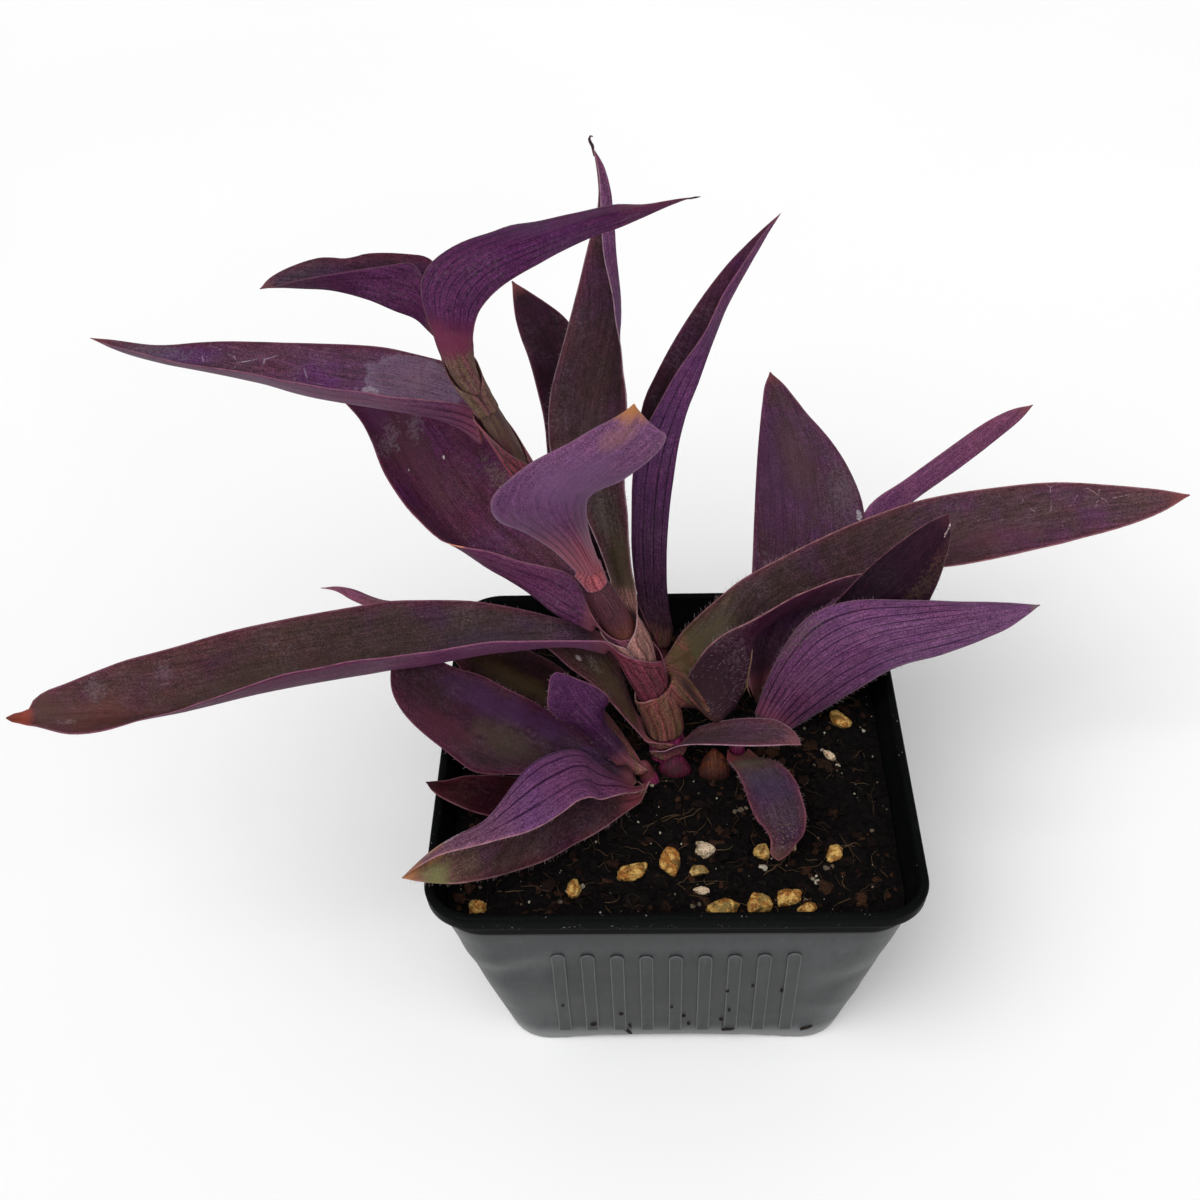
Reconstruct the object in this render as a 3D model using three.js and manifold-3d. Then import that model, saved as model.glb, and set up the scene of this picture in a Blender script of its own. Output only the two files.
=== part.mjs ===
// Potted tradescantia: a squat square nursery pot, the potting mix in it, and one young plant
// whose main shoot leans to the left, with short basal shoots around its foot.
// Millimetres, +Z up, the pot's axis on Z, the pot's foot on z = 0 and its front face towards -Y.
import * as THREE from "three";
import { mergeVertices } from "three/addons/utils/BufferGeometryUtils.js";
import Module from "manifold-3d";

// ---------------------------------------------------------------- dimensions
const RIM_SIDE = 102; // outer width across the rim
const POT_HEIGHT = 58;
const BASE_SIDE = 75; // outer width at the foot
const BODY_TOP_SIDE = 98.8; // outer width just under the lip
const LIP_HEIGHT = 3.8; // the lip is the folded band around the rim
const LIP_TAPER = 0.5;
const WALL = 1.1;
const RIM_CORNER = 10.5; // corner radii in plan
const BASE_CORNER = 9.5;
const FLOOR_TOP = 1.4;
const ARCH_HALF_WIDTH = 26; // a shallow arch is pressed into the foot in the middle of each side
const ARCH_RISE = 2;
const ARCH_DEPTH = 11; // how far each arch runs in under the floor
const ARCH_SKIN = 1.1;
const DRAIN_DIAMETER = 7;
const DRAIN_OFFSET = 19;
const RIB_COUNT = 9; // upright ribs pressed into each side
const RIB_PITCH = 6.1;
const RIB_WIDTH = 2.9;
const RIB_HEIGHT = 0.5;
const RIB_FROM = 5.5; // heights of the ribs' lower and upper ends
const RIB_TO = 41.5;
const GAP = 0.35; // clearance between pieces that touch
const SOIL_LEVEL = 49.7; // mean height of the potting mix, 8 mm under the rim
const SOIL_BUMP = 0.4;
const LEAF_THICKNESS = 0.9; // at the keel; the margins are half as thick
const MARGIN_SHARE = 0.5;
const CHANNEL_POWER = 1.35; // 1 is a sharp V across the blade, 2 a round gutter
const ACROSS = 7; // points across a blade

// Shoots: [x, y, z, radius] along the axis, from inside the mix upwards.
const SHOOTS = {
  stem_main: [[-0.8, 3.8, 43.4, 3.5], [-1, 3.4, 50.8, 3.5], [-1.6, 3.7, 59.2, 3.35], [-3.6, 4.2, 67, 3.15], [-5.7, 4.5, 74.6, 3], [-7.8, 4.8, 80.5, 2.75], [-10.9, 4.6, 86.8, 2.5], [-15.2, 4.6, 97.3, 2.45], [-22.4, 4.7, 113.5, 2.4], [-29.3, 2.8, 128.9, 2.35], [-34.3, 0.8, 142.5, 2.3], [-38.6, -0.3, 153.9, 2.2], [-39.4, -0.1, 157.4, 1.7]],
  stem_back: [[-1, 30, 38, 2.2], [-1.4, 30.6, 50, 2.2], [-2.4, 32.4, 57, 1.7], [-2.7, 32.9, 59.5, 1.3]],
  stem_right: [[24, 17.1, 38, 1.8], [24.1, 17.3, 50, 1.8], [24.2, 17.5, 52.2, 1.2]],
  stem_left: [[-4.5, -5, 38, 2], [-4.9, -5.2, 50, 2], [-6.8, -5.2, 55.5, 1.5]],
  stem_front: [[14.5, 2.5, 40, 2], [14.6, 2.4, 50, 2], [14.8, 2.2, 54, 1.4]],
};

// Leaves. A leaf of a shoot starts as a closed sheath around it: mouth is the distance along the
// shoot, dip is how far the sheath's front sinks below its sides, wrap the half angles in degrees of
// its lower, middle and upper ring. A basal leaf starts as an open foot beside its shoot. The rails
// then follow the blade from base to tip: [left margin xyz, keel xyz, right margin xyz].
const LEAVES = {
  leaf_top_right: {
    sheath: { stem: "stem_main", mouth: 121, length: 1.8, radius: 2.75, dip: 0, wrap: [150, 148, 100] },
    rails: [
      [-35.7, -2.7, 162.1, -39.8, -3.8, 163.7, -43.6, -1.2, 163.5],
      [-33.9, -0.2, 166.2, -39.7, -2, 169.3, -45.1, 2, 169],
      [-29.4, 4.2, 168.7, -35.2, 2.1, 173.2, -40.9, 7.3, 173.2],
      [-23.5, 8.9, 170, -28.3, 6.1, 174.4, -33.1, 11.8, 174.7],
      [-17.1, 17.6, 169.1, -20.8, 14.4, 173.1, -24.5, 19.6, 173],
      [-9.9, 26.3, 167.7, -12.7, 23.7, 171.3, -15.1, 28, 171],
      [-2.2, 35.1, 166.9, -3.6, 33.1, 169, -4.8, 35.8, 168.2],
      [6.3, 43.4, 165.7, 6.3, 43.4, 165.7, 6.3, 43.4, 165.7],
    ],
  },
  leaf_top_left: {
    sheath: { stem: "stem_main", mouth: 116.5, length: 3.2, radius: 3.0, dip: 1.5, wrap: [150, 148, 100] },
    rails: [
      [-44.3, 8.6, 160, -44.5, 11.6, 153.2, -44.2, 18.7, 156.4],
      [-45.7, 15.3, 161.1, -47.6, 14.3, 154.4, -44.2, 21, 160.5],
      [-48.2, 19.3, 164.5, -51.9, 16.6, 155.5, -46.6, 25.4, 163],
      [-53.2, 19.8, 164.3, -56.8, 18.7, 156.7, -53.1, 26.5, 163.3],
      [-59.1, 19.5, 163.7, -62.1, 20.8, 157.4, -60.2, 27.4, 162.6],
      [-65.5, 20.2, 162.5, -67.9, 23.2, 157.6, -67.4, 29.2, 161.4],
      [-72.8, 23.3, 159.4, -74.2, 25.5, 156.9, -74.6, 29.1, 159.4],
      [-80.8, 27.7, 155.5, -80.8, 27.7, 155.5, -80.8, 27.7, 155.5],
    ],
  },
  leaf_long_left_high: {
    sheath: { stem: "stem_main", mouth: 97.1, length: 5.5, radius: 3.3, dip: 2.0, wrap: [150, 148, 100] },
    rails: [
      [-38.1, 3.7, 142.4, -37.3, 5.4, 133, -37.8, 13.4, 137.9],
      [-45.4, 1.7, 145.4, -44.3, 7.5, 136.9, -42.6, 16.8, 144],
      [-54.7, 1.3, 147.1, -54.4, 9.1, 138.7, -52.7, 18.7, 146.2],
      [-65.1, 2.6, 147.6, -65.6, 11, 139.9, -64.2, 20.8, 146.7],
      [-76.2, 5.9, 148.3, -77.3, 13.8, 141.8, -76.6, 22.5, 146.3],
      [-88.3, 9.7, 148.5, -89.6, 16.3, 143.5, -89.4, 23.4, 146.1],
      [-101.1, 14.6, 148.4, -102.4, 18.9, 145, -102.4, 23, 146],
      [-115.3, 22.8, 147.9, -115.3, 22.8, 147.9, -115.3, 22.8, 147.9],
    ],
  },
  leaf_front_upright: {
    sheath: { stem: "stem_main", mouth: 55.6, length: 3.5, radius: 3.35, dip: 0, wrap: [150, 148, 100] },
    rails: [
      [-14.3, 1.7, 104.7, -15.9, -0.8, 105.9, -19.5, 0.7, 104.5],
      [-15.9, 3.3, 109.1, -17.6, -3.4, 113.1, -23.8, 0, 110.6],
      [-17, 1.6, 117.5, -20.4, -6.6, 121.1, -29.7, -3.3, 118],
      [-14.2, -5.1, 128.4, -22.5, -10.7, 130.4, -34.7, -8.7, 128],
      [-8.5, -12.9, 137.6, -19.2, -13.9, 138.5, -29, -12.2, 137.8],
      [-3.4, -16.2, 144.2, -14, -16.5, 144.4, -21.7, -14.3, 144.3],
      [-2.5, -16.7, 150, -9.3, -17.7, 149.7, -14.2, -14.5, 149.1],
      [-6.9, -17, 155.7, -6.9, -17, 155.7, -6.9, -17, 155.7],
    ],
  },
  leaf_broad_left: {
    sheath: { stem: "stem_main", mouth: 45.9, length: 2.8, radius: 3.45, dip: 1.5, wrap: [150, 148, 100] },
    rails: [
      [-17, 4.3, 91, -17, 4.9, 84.9, -16.9, 11, 92.3],
      [-20.5, 6.2, 99.3, -24.8, 6, 88.5, -20.8, 14.7, 99],
      [-30, 5.2, 103.7, -32.7, 9, 94.6, -26.1, 19.3, 106.8],
      [-40.5, 5.6, 107.1, -41.8, 12.3, 100, -32.5, 24.5, 114.5],
      [-50.8, 8.8, 110.6, -49.1, 18, 107.3, -39.1, 30.6, 122.2],
      [-58.3, 16.3, 116.9, -55.5, 24.5, 115.5, -48.4, 35.5, 128.6],
      [-64, 26.9, 123.6, -62.9, 31.7, 123.2, -60.8, 38, 130.8],
      [-73.8, 37.9, 128.1, -73.8, 37.9, 128.1, -73.8, 37.9, 128.1],
    ],
  },
  leaf_tall: {
    sheath: { stem: "stem_main", mouth: 41.6, length: 2.6, radius: 3.9, dip: 0, wrap: [125, 105, 60] },
    rails: [
      [-12.8, 13.4, 92.1, -11.5, 16.7, 88.8, -7.6, 13.6, 90.6],
      [-16.2, 18.8, 100.3, -13.6, 23, 96.6, -8.7, 19, 99],
      [-22.1, 25.5, 109.3, -15.5, 29.5, 107.1, -9.6, 24.7, 109.9],
      [-25.9, 36.3, 117.3, -15.1, 38.7, 117.1, -9.1, 33.3, 119.9],
      [-23.6, 48.8, 126.2, -12.2, 49.6, 126.7, -10, 44.3, 129.3],
      [-19.6, 60.9, 135.9, -10.2, 61.7, 136.5, -12.1, 57.1, 138.4],
      [-15.6, 73.9, 146, -11.1, 75.8, 146.4, -14, 72.7, 147.2],
      [-16.3, 91.1, 155.5, -16, 91.1, 155.6, -16, 91.1, 155.6],
    ],
  },
  leaf_back_left: {
    foot: { stem: "stem_back", height: 55.0, radius: 2.9, wrap: 60, rise: 0.8 },
    rails: [
      [-8.8, 30.3, 63.1, -6.6, 33.7, 60.6, -4.5, 30.8, 63.4],
      [-14.5, 32.6, 70.8, -11.4, 37.3, 68.1, -8.2, 33.9, 72.5],
      [-19.4, 36.6, 80.4, -15.4, 42.4, 77.7, -11.2, 38.8, 83],
      [-23.6, 42.5, 90.3, -18.8, 48.6, 88, -13.8, 45.7, 93.2],
      [-27.5, 49.9, 99.9, -22, 55.4, 98.5, -15.8, 54.2, 103.2],
      [-29.3, 59, 109.5, -23.7, 62.7, 109.5, -17.4, 63.9, 113.3],
      [-33.2, 68.6, 119, -27.8, 70.1, 120.2, -23.2, 72.5, 122.9],
      [-35.3, 77.1, 129.9, -35.3, 77.1, 129.9, -35.3, 77.1, 129.9],
    ],
  },
  leaf_back_right: {
    foot: { stem: "stem_back", height: 57.0, radius: 2.4, wrap: 70, rise: 0.8 },
    rails: [
      [-3.5, 35.3, 61.4, 0.7, 32.3, 62.6, -5.8, 32.9, 65.1],
      [-5, 41.3, 71.1, -0.1, 36.8, 72.9, -8.2, 37.4, 75.5],
      [-6, 48.8, 83, 0.3, 43.8, 84.2, -8.4, 43.7, 87.7],
      [-6.5, 57.6, 94.9, 2.4, 53.5, 94.6, -7, 52.6, 99.4],
      [-3.7, 67.9, 106.9, 6.1, 65.7, 104, -0.2, 64, 107.7],
      [4.6, 80.7, 115.9, 11.7, 78.8, 113.3, 9, 75.3, 116.1],
      [15.1, 94.8, 123.8, 19.4, 92.9, 122, 17.7, 89.8, 124.3],
      [28.8, 108.3, 130.3, 28.8, 108.3, 130.3, 28.8, 108.3, 130.3],
    ],
  },
  leaf_right_upright: {
    foot: { stem: "stem_right", height: 52.0, radius: 2.9, wrap: 42, rise: 0.8 },
    rails: [
      [19.9, 17.4, 60.4, 23.2, 22.9, 55.9, 25.4, 18.2, 61.1],
      [19.1, 22.9, 65.4, 24.4, 28.9, 60.8, 29.1, 24.1, 66.2],
      [18.7, 31.6, 70.1, 28.3, 36.3, 66, 37, 32.5, 69.3],
      [19.7, 42.5, 74.1, 32.3, 44.8, 71.8, 45.4, 43.6, 72.6],
      [20.8, 54.2, 78.7, 33.4, 54.4, 78.2, 47, 55.4, 78.8],
      [21.7, 64.2, 85.3, 32.5, 64.5, 85.2, 42.7, 65.9, 86.4],
      [23, 74.2, 92.6, 29.5, 74.7, 92.1, 34.5, 73.6, 94.2],
      [25.8, 85.4, 99.3, 25.8, 85.4, 99.3, 25.8, 85.4, 99.3],
    ],
  },
  leaf_right_narrow: {
    foot: { stem: "stem_right", height: 51.2, radius: 3.0, wrap: 22, rise: 0.3 },
    rails: [
      [27.7, 22.1, 52.4, 27.7, 19.5, 54, 26.4, 19.6, 57.2],
      [32.9, 33.4, 53.7, 33.1, 28.7, 56.6, 31.2, 26.8, 62],
      [39.4, 45.8, 57, 39.8, 39.6, 60.4, 37.1, 37.1, 67],
      [46.2, 56.5, 63.4, 47, 49.9, 66.3, 43.3, 48.2, 73],
      [53.3, 64.8, 72, 54.8, 58.5, 73.8, 50, 58.7, 79.9],
      [65.1, 70.3, 78.4, 66.3, 65.3, 79.5, 62.7, 66.8, 83.9],
      [77.4, 75.6, 85, 78.4, 72, 85.2, 75.3, 74.5, 89],
      [89.7, 79.5, 92.3, 89.7, 79.5, 92.3, 89.7, 79.5, 92.3],
    ],
  },
  leaf_long_right: {
    sheath: { stem: "stem_main", mouth: 23.1, length: 7.8, radius: 4.65, dip: 5.5, wrap: [150, 148, 94] },
    rails: [
      [3.4, 20.6, 72.1, 11.2, 3.8, 59.2, 4.4, 9.3, 71.8],
      [13.3, 25.7, 79.4, 17.4, 13.6, 65.5, 14.7, 15, 77.1],
      [28.1, 35.1, 82.3, 26.6, 25.7, 70.9, 27.6, 21.3, 80.6],
      [44.6, 44.4, 84, 44, 34.4, 71.9, 44.3, 28.3, 81.2],
      [63, 52, 85.1, 61.7, 43.9, 75.8, 63.3, 34.3, 78.3],
      [83, 56.9, 84.6, 81.6, 50.3, 77.8, 83.5, 41.9, 76.4],
      [103.2, 57.6, 83.9, 102.2, 53, 79.9, 103.9, 48.2, 77.2],
      [123, 54.7, 82.5, 123, 54.7, 82.5, 123, 54.7, 82.5],
    ],
  },
  leaf_right_dark: {
    foot: { stem: "stem_right", height: 51.6, radius: 2.9, wrap: 32, rise: 0.4 },
    rails: [
      [28, 16.3, 53.5, 25.7, 14.7, 55.6, 23.8, 17, 54.4],
      [32.5, 18.7, 57.9, 29, 16.4, 61.1, 26.3, 19.7, 59.9],
      [38.5, 19.6, 63, 33.5, 17.9, 67.1, 29.9, 22.3, 66.4],
      [46, 18.7, 67.7, 39.4, 18.7, 73, 34.9, 23.8, 73.4],
      [53.5, 17.9, 73.5, 45.6, 19.4, 79, 40.5, 24.5, 80.8],
      [57.9, 20.1, 81.2, 51.5, 21, 85.1, 46.3, 25.1, 88],
      [60.7, 23.8, 89.4, 56.9, 23.4, 91.6, 52.9, 25.7, 94.4],
      [60.7, 26.8, 98.8, 60.7, 26.8, 98.8, 60.7, 26.8, 98.8],
    ],
  },
  leaf_right_purple: {
    foot: { stem: "stem_right", height: 51.2, radius: 4.1, wrap: 50, rise: 0.8 },
    rails: [
      [29.2, 11.1, 51.5, 24.8, 10, 55.6, 21.2, 13.9, 54.8],
      [34.5, 10.3, 56.7, 28.5, 10.1, 63.3, 23.4, 15.5, 63.8],
      [40.8, 9.9, 62.5, 34.2, 10.3, 70.8, 27.7, 17.7, 73.4],
      [47.7, 9.5, 68.3, 41.6, 10.1, 76.8, 35.7, 18.4, 80.4],
      [55.8, 10.1, 71.4, 50.4, 10.7, 79.5, 46.3, 18, 82],
      [64.5, 11.6, 73.4, 60.2, 12.2, 80.2, 57.6, 18.1, 81.4],
      [73.1, 13.9, 76.3, 70.3, 14.1, 80.5, 69.3, 18.1, 80.8],
      [81.4, 18.4, 79.5, 81.4, 18.4, 79.5, 81.4, 18.4, 79.5],
    ],
  },
  leaf_low_right_small: {
    foot: { stem: "stem_main", height: 51.8, radius: 4.5, wrap: 92, rise: 0.8 },
    rails: [
      [3.4, 2.7, 55.3, 1.1, -0.2, 55, -1.3, -3.4, 57.2],
      [5.8, 3.8, 57.1, 3.9, -0.2, 56.9, 1.6, -4.9, 60.2],
      [9.2, 3.9, 58.6, 7.3, -0.7, 58.7, 5.4, -6.6, 62.3],
      [13.2, 3.3, 60.2, 11.3, -1.5, 60.1, 9.4, -7.8, 63.3],
      [17.4, 2.1, 61.7, 15.4, -2.4, 61.3, 13.7, -8.4, 63.5],
      [21.6, 0.4, 63, 19.7, -3.4, 62.3, 18.2, -8.5, 63.5],
      [25.5, -2.3, 63.1, 24, -4.6, 63, 22.9, -8.1, 63.2],
      [27.8, -6.8, 62.3, 27.8, -7, 62.1, 27.8, -7.1, 62],
    ],
  },
  leaf_low_front_small: {
    foot: { stem: "stem_front", height: 52.0, radius: 2.4, wrap: 70, rise: 0.8 },
    rails: [
      [19.3, -3.1, 54.7, 15.4, -4.1, 55.1, 12.1, -3.5, 54.2],
      [21.9, -8.1, 58.5, 17, -10, 58.6, 13.6, -9.1, 57.1],
      [24.5, -13.7, 61.1, 18.6, -16, 61.1, 14.7, -15.2, 59],
      [26.2, -19.3, 61.9, 20, -21.2, 62.4, 15.5, -20.7, 60.1],
      [27, -25, 62, 21.2, -26.2, 63, 16.5, -26, 60.8],
      [27, -28.7, 59.6, 22.1, -29.2, 61.1, 18.7, -28.9, 59.5],
      [24.9, -30.3, 55.9, 22.5, -30.6, 57.2, 19.9, -30.4, 56],
      [21.6, -32.3, 53.5, 21.6, -32.3, 53.5, 21.6, -32.3, 53.5],
    ],
  },
  leaf_long_left: {
    sheath: { stem: "stem_main", mouth: 34.7, length: 8.6, radius: 4.3, dip: 3.0, wrap: [150, 148, 100] },
    rails: [
      [-14.5, 0.6, 85.8, -14.3, 5.2, 78.4, -15.3, 10.6, 79.6],
      [-28, -2.4, 88.6, -28, 4.9, 80.8, -28.8, 11.5, 84.7],
      [-44.1, -5.7, 90.3, -44.6, 1.7, 80.4, -45.6, 10.9, 89.1],
      [-61.4, -8.9, 90, -62.4, -1.5, 80, -63.9, 8.2, 91.2],
      [-79.8, -10.9, 89.5, -81, -4.6, 80, -82.9, 4.5, 91.1],
      [-98.1, -15.1, 85.8, -99.5, -9.7, 78.5, -101.6, -1.3, 89],
      [-116.8, -19.7, 80.9, -118.4, -13.9, 79.3, -119.7, -9, 84.9],
      [-137.7, -16.7, 81.7, -137.7, -16.7, 81.7, -137.7, -16.7, 81.7],
    ],
  },
  leaf_low_left_back: {
    foot: { stem: "stem_left", height: 51.0, radius: 3.6, wrap: 22, rise: 0.3 },
    rails: [
      [-16.8, 1.9, 55, -15.2, 4.5, 56.9, -14.1, 9, 56.6],
      [-23.5, 4.2, 57.8, -21.3, 7.4, 60.3, -19.4, 13.3, 60.5],
      [-31.7, 7, 61.3, -29.1, 10.7, 64.2, -26.6, 17.5, 64.9],
      [-40.8, 9.7, 64.8, -37.8, 13.7, 68, -35.7, 20.5, 68.8],
      [-48.7, 13.9, 69.8, -47.1, 16.9, 71.9, -45.7, 22.8, 72.5],
      [-57.3, 18.6, 75, -56.8, 20.3, 75.9, -56.3, 25, 75.8],
      [-67.8, 22.2, 78.1, -67.5, 23.4, 78.7, -67.5, 26, 78],
      [-78.8, 26.1, 80.7, -78.8, 26.1, 80.7, -78.8, 26.1, 80.7],
    ],
  },
  leaf_low_left_inner: {
    foot: { stem: "stem_main", height: 54.6, radius: 4.25, wrap: 96, rise: 1.0 },
    rails: [
      [-5.9, -1.2, 58.1, -6.8, 1.1, 60, -7.7, 3.6, 62.1],
      [-8.8, -0.4, 62.1, -9.2, 3, 63.3, -9.3, 6.6, 65],
      [-12.3, 1.2, 66.2, -12.1, 5.3, 67.2, -11.1, 9.9, 69],
      [-16.2, 3.5, 70, -15.7, 7.7, 71, -13.8, 12.7, 73.3],
      [-21.2, 5.8, 72.9, -20.1, 9.9, 74.5, -19.1, 14.1, 76.5],
      [-26, 8.4, 76.1, -25.4, 11.6, 77.4, -25.2, 14.6, 78.4],
      [-31.5, 10.7, 78.9, -31.5, 12.7, 79.3, -31.8, 14.7, 79.7],
      [-38, 12.9, 80, -38, 13, 80.2, -38, 12.9, 80],
    ],
  },
  leaf_low_left_short: {
    foot: { stem: "stem_left", height: 54.3, radius: 2.4, wrap: 80, rise: 0.6 },
    rails: [
      [-8.8, -5.1, 57, -9.9, -6.9, 57.9, -12.1, -6.4, 56],
      [-10.4, -3.1, 58.7, -11.6, -6.4, 60.3, -14.4, -5.2, 57.6],
      [-12.7, -2, 61.7, -13.7, -5.8, 63, -17, -4, 60.1],
      [-14.6, -1.4, 65.8, -16.1, -5.1, 65.8, -19.9, -3.3, 63.2],
      [-13.4, -0.9, 70.4, -18.6, -4.2, 68.5, -23.3, -3.6, 66.4],
      [-16.4, -0.5, 74, -20.9, -3.1, 71.5, -26.6, -3.6, 70.2],
      [-20.5, 0, 75.9, -22.8, -1.7, 74.6, -26.5, -2, 74.4],
      [-24.7, 0, 77.8, -24.7, 0, 77.8, -24.7, 0, 77.8],
    ],
  },
  leaf_low_left_broad: {
    foot: { stem: "stem_left", height: 51.6, radius: 3.0, wrap: 40, rise: 0.6 },
    rails: [
      [-9.3, -9.1, 51.4, -9.1, -5.2, 52.4, -8.9, -2.5, 54.5],
      [-16.6, -10.9, 55.5, -14.7, -4.4, 55.3, -14.3, -1.1, 57],
      [-25.6, -11.5, 57.8, -21.9, -4, 58.4, -20.7, 0.3, 60.7],
      [-35.5, -11.4, 58.4, -29.5, -3.8, 62, -27.2, 1.5, 65.5],
      [-45.2, -9.9, 59.6, -37.2, -3.1, 66.3, -34.4, 2, 70.3],
      [-53.9, -5.3, 64.8, -45, -0.8, 70, -41.9, 3.9, 73.9],
      [-60.6, 0, 71.9, -52.7, 2.3, 74.1, -50.1, 5.4, 76.7],
      [-58.3, 6.9, 80, -58.3, 6.9, 80, -58.3, 6.9, 80],
    ],
  },
  leaf_low_front_left: {
    foot: { stem: "stem_left", height: 51.9, radius: 3.0, wrap: 32, rise: 0.5 },
    rails: [
      [-7.4, -14.5, 52.1, -8.7, -12.7, 55.9, -6.4, -16.4, 58.3],
      [-12.4, -18.6, 51.5, -14.4, -10.6, 58.9, -11.6, -21.4, 62.4],
      [-19.7, -23.6, 50.6, -20.9, -7, 62.3, -18.3, -26.2, 66.8],
      [-25, -30, 53.1, -28.7, -14.6, 66.2, -25.4, -33.8, 67.4],
      [-31.4, -35.6, 55.3, -34.1, -26, 68.3, -32.2, -39.4, 69.2],
      [-38.6, -42.1, 59.8, -39.4, -35.7, 68.9, -39.4, -42.2, 69.5],
      [-46.2, -45.2, 62.1, -47.2, -40.8, 68, -46.9, -44.3, 69.1],
      [-54.5, -44.4, 63, -54.5, -44.4, 63, -54.5, -44.4, 63],
    ],
  },
  leaf_low_left_dark: {
    foot: { stem: "stem_left", height: 51.75, radius: 4.8, wrap: 12, rise: 0.0 },
    rails: [
      [-14.9, -13.4, 51, -15.1, -11.6, 50.9, -15.3, -9.6, 51.2],
      [-19.2, -14.8, 51.3, -19.3, -12.2, 51.3, -19.5, -9.5, 51.9],
      [-24.4, -16.6, 52, -24.3, -13.2, 52.3, -24.5, -9.5, 53],
      [-30, -18.5, 53, -29.7, -14.3, 53.6, -29.8, -9.5, 54.5],
      [-35.8, -20.4, 54.5, -35.2, -15.4, 55.4, -35.4, -9.9, 56.4],
      [-41.6, -21.9, 57.6, -40.7, -17.5, 58.8, -40.9, -12.4, 59.3],
      [-47.4, -20.9, 60.1, -46.4, -17.6, 60.9, -46.6, -15, 61],
      [-52.6, -16.4, 61.5, -52.6, -16.4, 61.5, -52.6, -16.4, 61.5],
    ],
  },
};

// Pumice and perlite grains lying in the mix: [x, y, length, width, height, turn in degrees].
const GRAINS = [
  [-40.4, -41.6, 4.0, 3.4, 3.0, 20],
  [-20.9, -37.3, 4.2, 3.2, 3.0, 70],
  [-8.9, -32.5, 6.6, 4.0, 3.4, 5],
  [-0.5, -29.6, 6.4, 4.2, 3.6, 80],
  [6.3, -26.6, 4.4, 3.8, 3.2, 30],
  [5.2, -32.2, 4.0, 3.6, 3.0, 110],
  [5.5, -37.6, 4.2, 3.6, 3.2, 45],
  [9.9, -42.2, 6.2, 4.2, 3.6, 8],
  [16.9, -41.5, 5.4, 4.2, 3.4, 170],
  [23.0, -39.6, 5.2, 4.4, 3.6, 25],
  [27.0, -43.2, 2.8, 2.6, 2.4, 60],
  [18.6, -27.2, 4.0, 3.6, 3.0, 15],
  [24.0, -25.4, 3.6, 3.2, 2.8, 100],
  [33.7, -28.2, 4.0, 3.4, 3.0, 50],
  [38.8, 12.7, 5.0, 4.6, 3.8, 40],
  [35.6, 0.8, 3.6, 3.2, 2.8, 75],
];

// Young buds breaking through the mix: [x, y, foot z, length, radius, lean x, lean y].
const BUDS = {
  bud_front_pink: [0.6, -4.3, 48.6, 6.4, 2.2, 8, 10],
  bud_front_brown: [9.4, -4.4, 48.6, 6.6, 2.2, -6, 16],
};

// ---------------------------------------------------------------- materials
const paint = (colour, roughness, metalness = 0) =>
  new THREE.MeshStandardMaterial({ color: colour, roughness, metalness });
const MATERIALS = {
  pot: paint(0x2f2f30, 0.55),
  soil: paint(0x231c18, 0.95),
  shoot: paint(0x6d4038, 0.6),
  bud: paint(0x9a3a55, 0.6),
  grain: paint(0xcdb47c, 0.9),
  upper: paint(0x4a3a30, 0.6), // olive brown upper faces
  under: paint(0x6a3a70, 0.6), // purple undersides
};
const UNDERSIDE_SHOWN = [
  "leaf_top_right",
  "leaf_front_upright",
  "leaf_right_dark",
  "leaf_right_purple",
  "leaf_low_left_short",
];

// ---------------------------------------------------------------- booleans
const wasm = await Module();
wasm.setup();

function solidOf(geometry) {
  const bare = geometry.index ? geometry.toNonIndexed() : geometry.clone();
  const merged = mergeVertices(
    new THREE.BufferGeometry().setAttribute("position", bare.getAttribute("position")),
    1e-3,
  );
  return new wasm.Manifold(
    new wasm.Mesh({
      numProp: 3,
      vertProperties: merged.attributes.position.array,
      triVerts: new Uint32Array(merged.index.array),
    }),
  );
}

function geometryOf(solid) {
  const mesh = solid.getMesh();
  const n = mesh.numProp;
  const positions = new Float32Array(mesh.numVert * 3);
  for (let i = 0; i < mesh.numVert; i++)
    positions.set(mesh.vertProperties.subarray(i * n, i * n + 3), i * 3);
  const geometry = new THREE.BufferGeometry();
  geometry.setAttribute("position", new THREE.BufferAttribute(positions, 3));
  geometry.setIndex(new THREE.BufferAttribute(mesh.triVerts, 1));
  geometry.computeVertexNormals();
  return geometry;
}

function indexed(points, faces) {
  const geometry = new THREE.BufferGeometry();
  geometry.setAttribute(
    "position",
    new THREE.BufferAttribute(new Float32Array(points.flatMap((p) => [p.x, p.y, p.z])), 3),
  );
  geometry.setIndex(faces);
  geometry.computeVertexNormals();
  return geometry;
}

// ---------------------------------------------------------------- lofted squares
const CORNER_STEPS = 5;
function roundedSquare(side, corner, z) {
  const c = side / 2 - corner;
  const loop = [];
  for (let q = 0; q < 4; q++) {
    const cx = q === 0 || q === 3 ? c : -c;
    const cy = q < 2 ? c : -c;
    for (let i = 0; i < CORNER_STEPS; i++) {
      const a = (q + i / (CORNER_STEPS - 1)) * (Math.PI / 2);
      loop.push(new THREE.Vector3(cx + corner * Math.cos(a), cy + corner * Math.sin(a), z));
    }
  }
  return loop;
}

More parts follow.
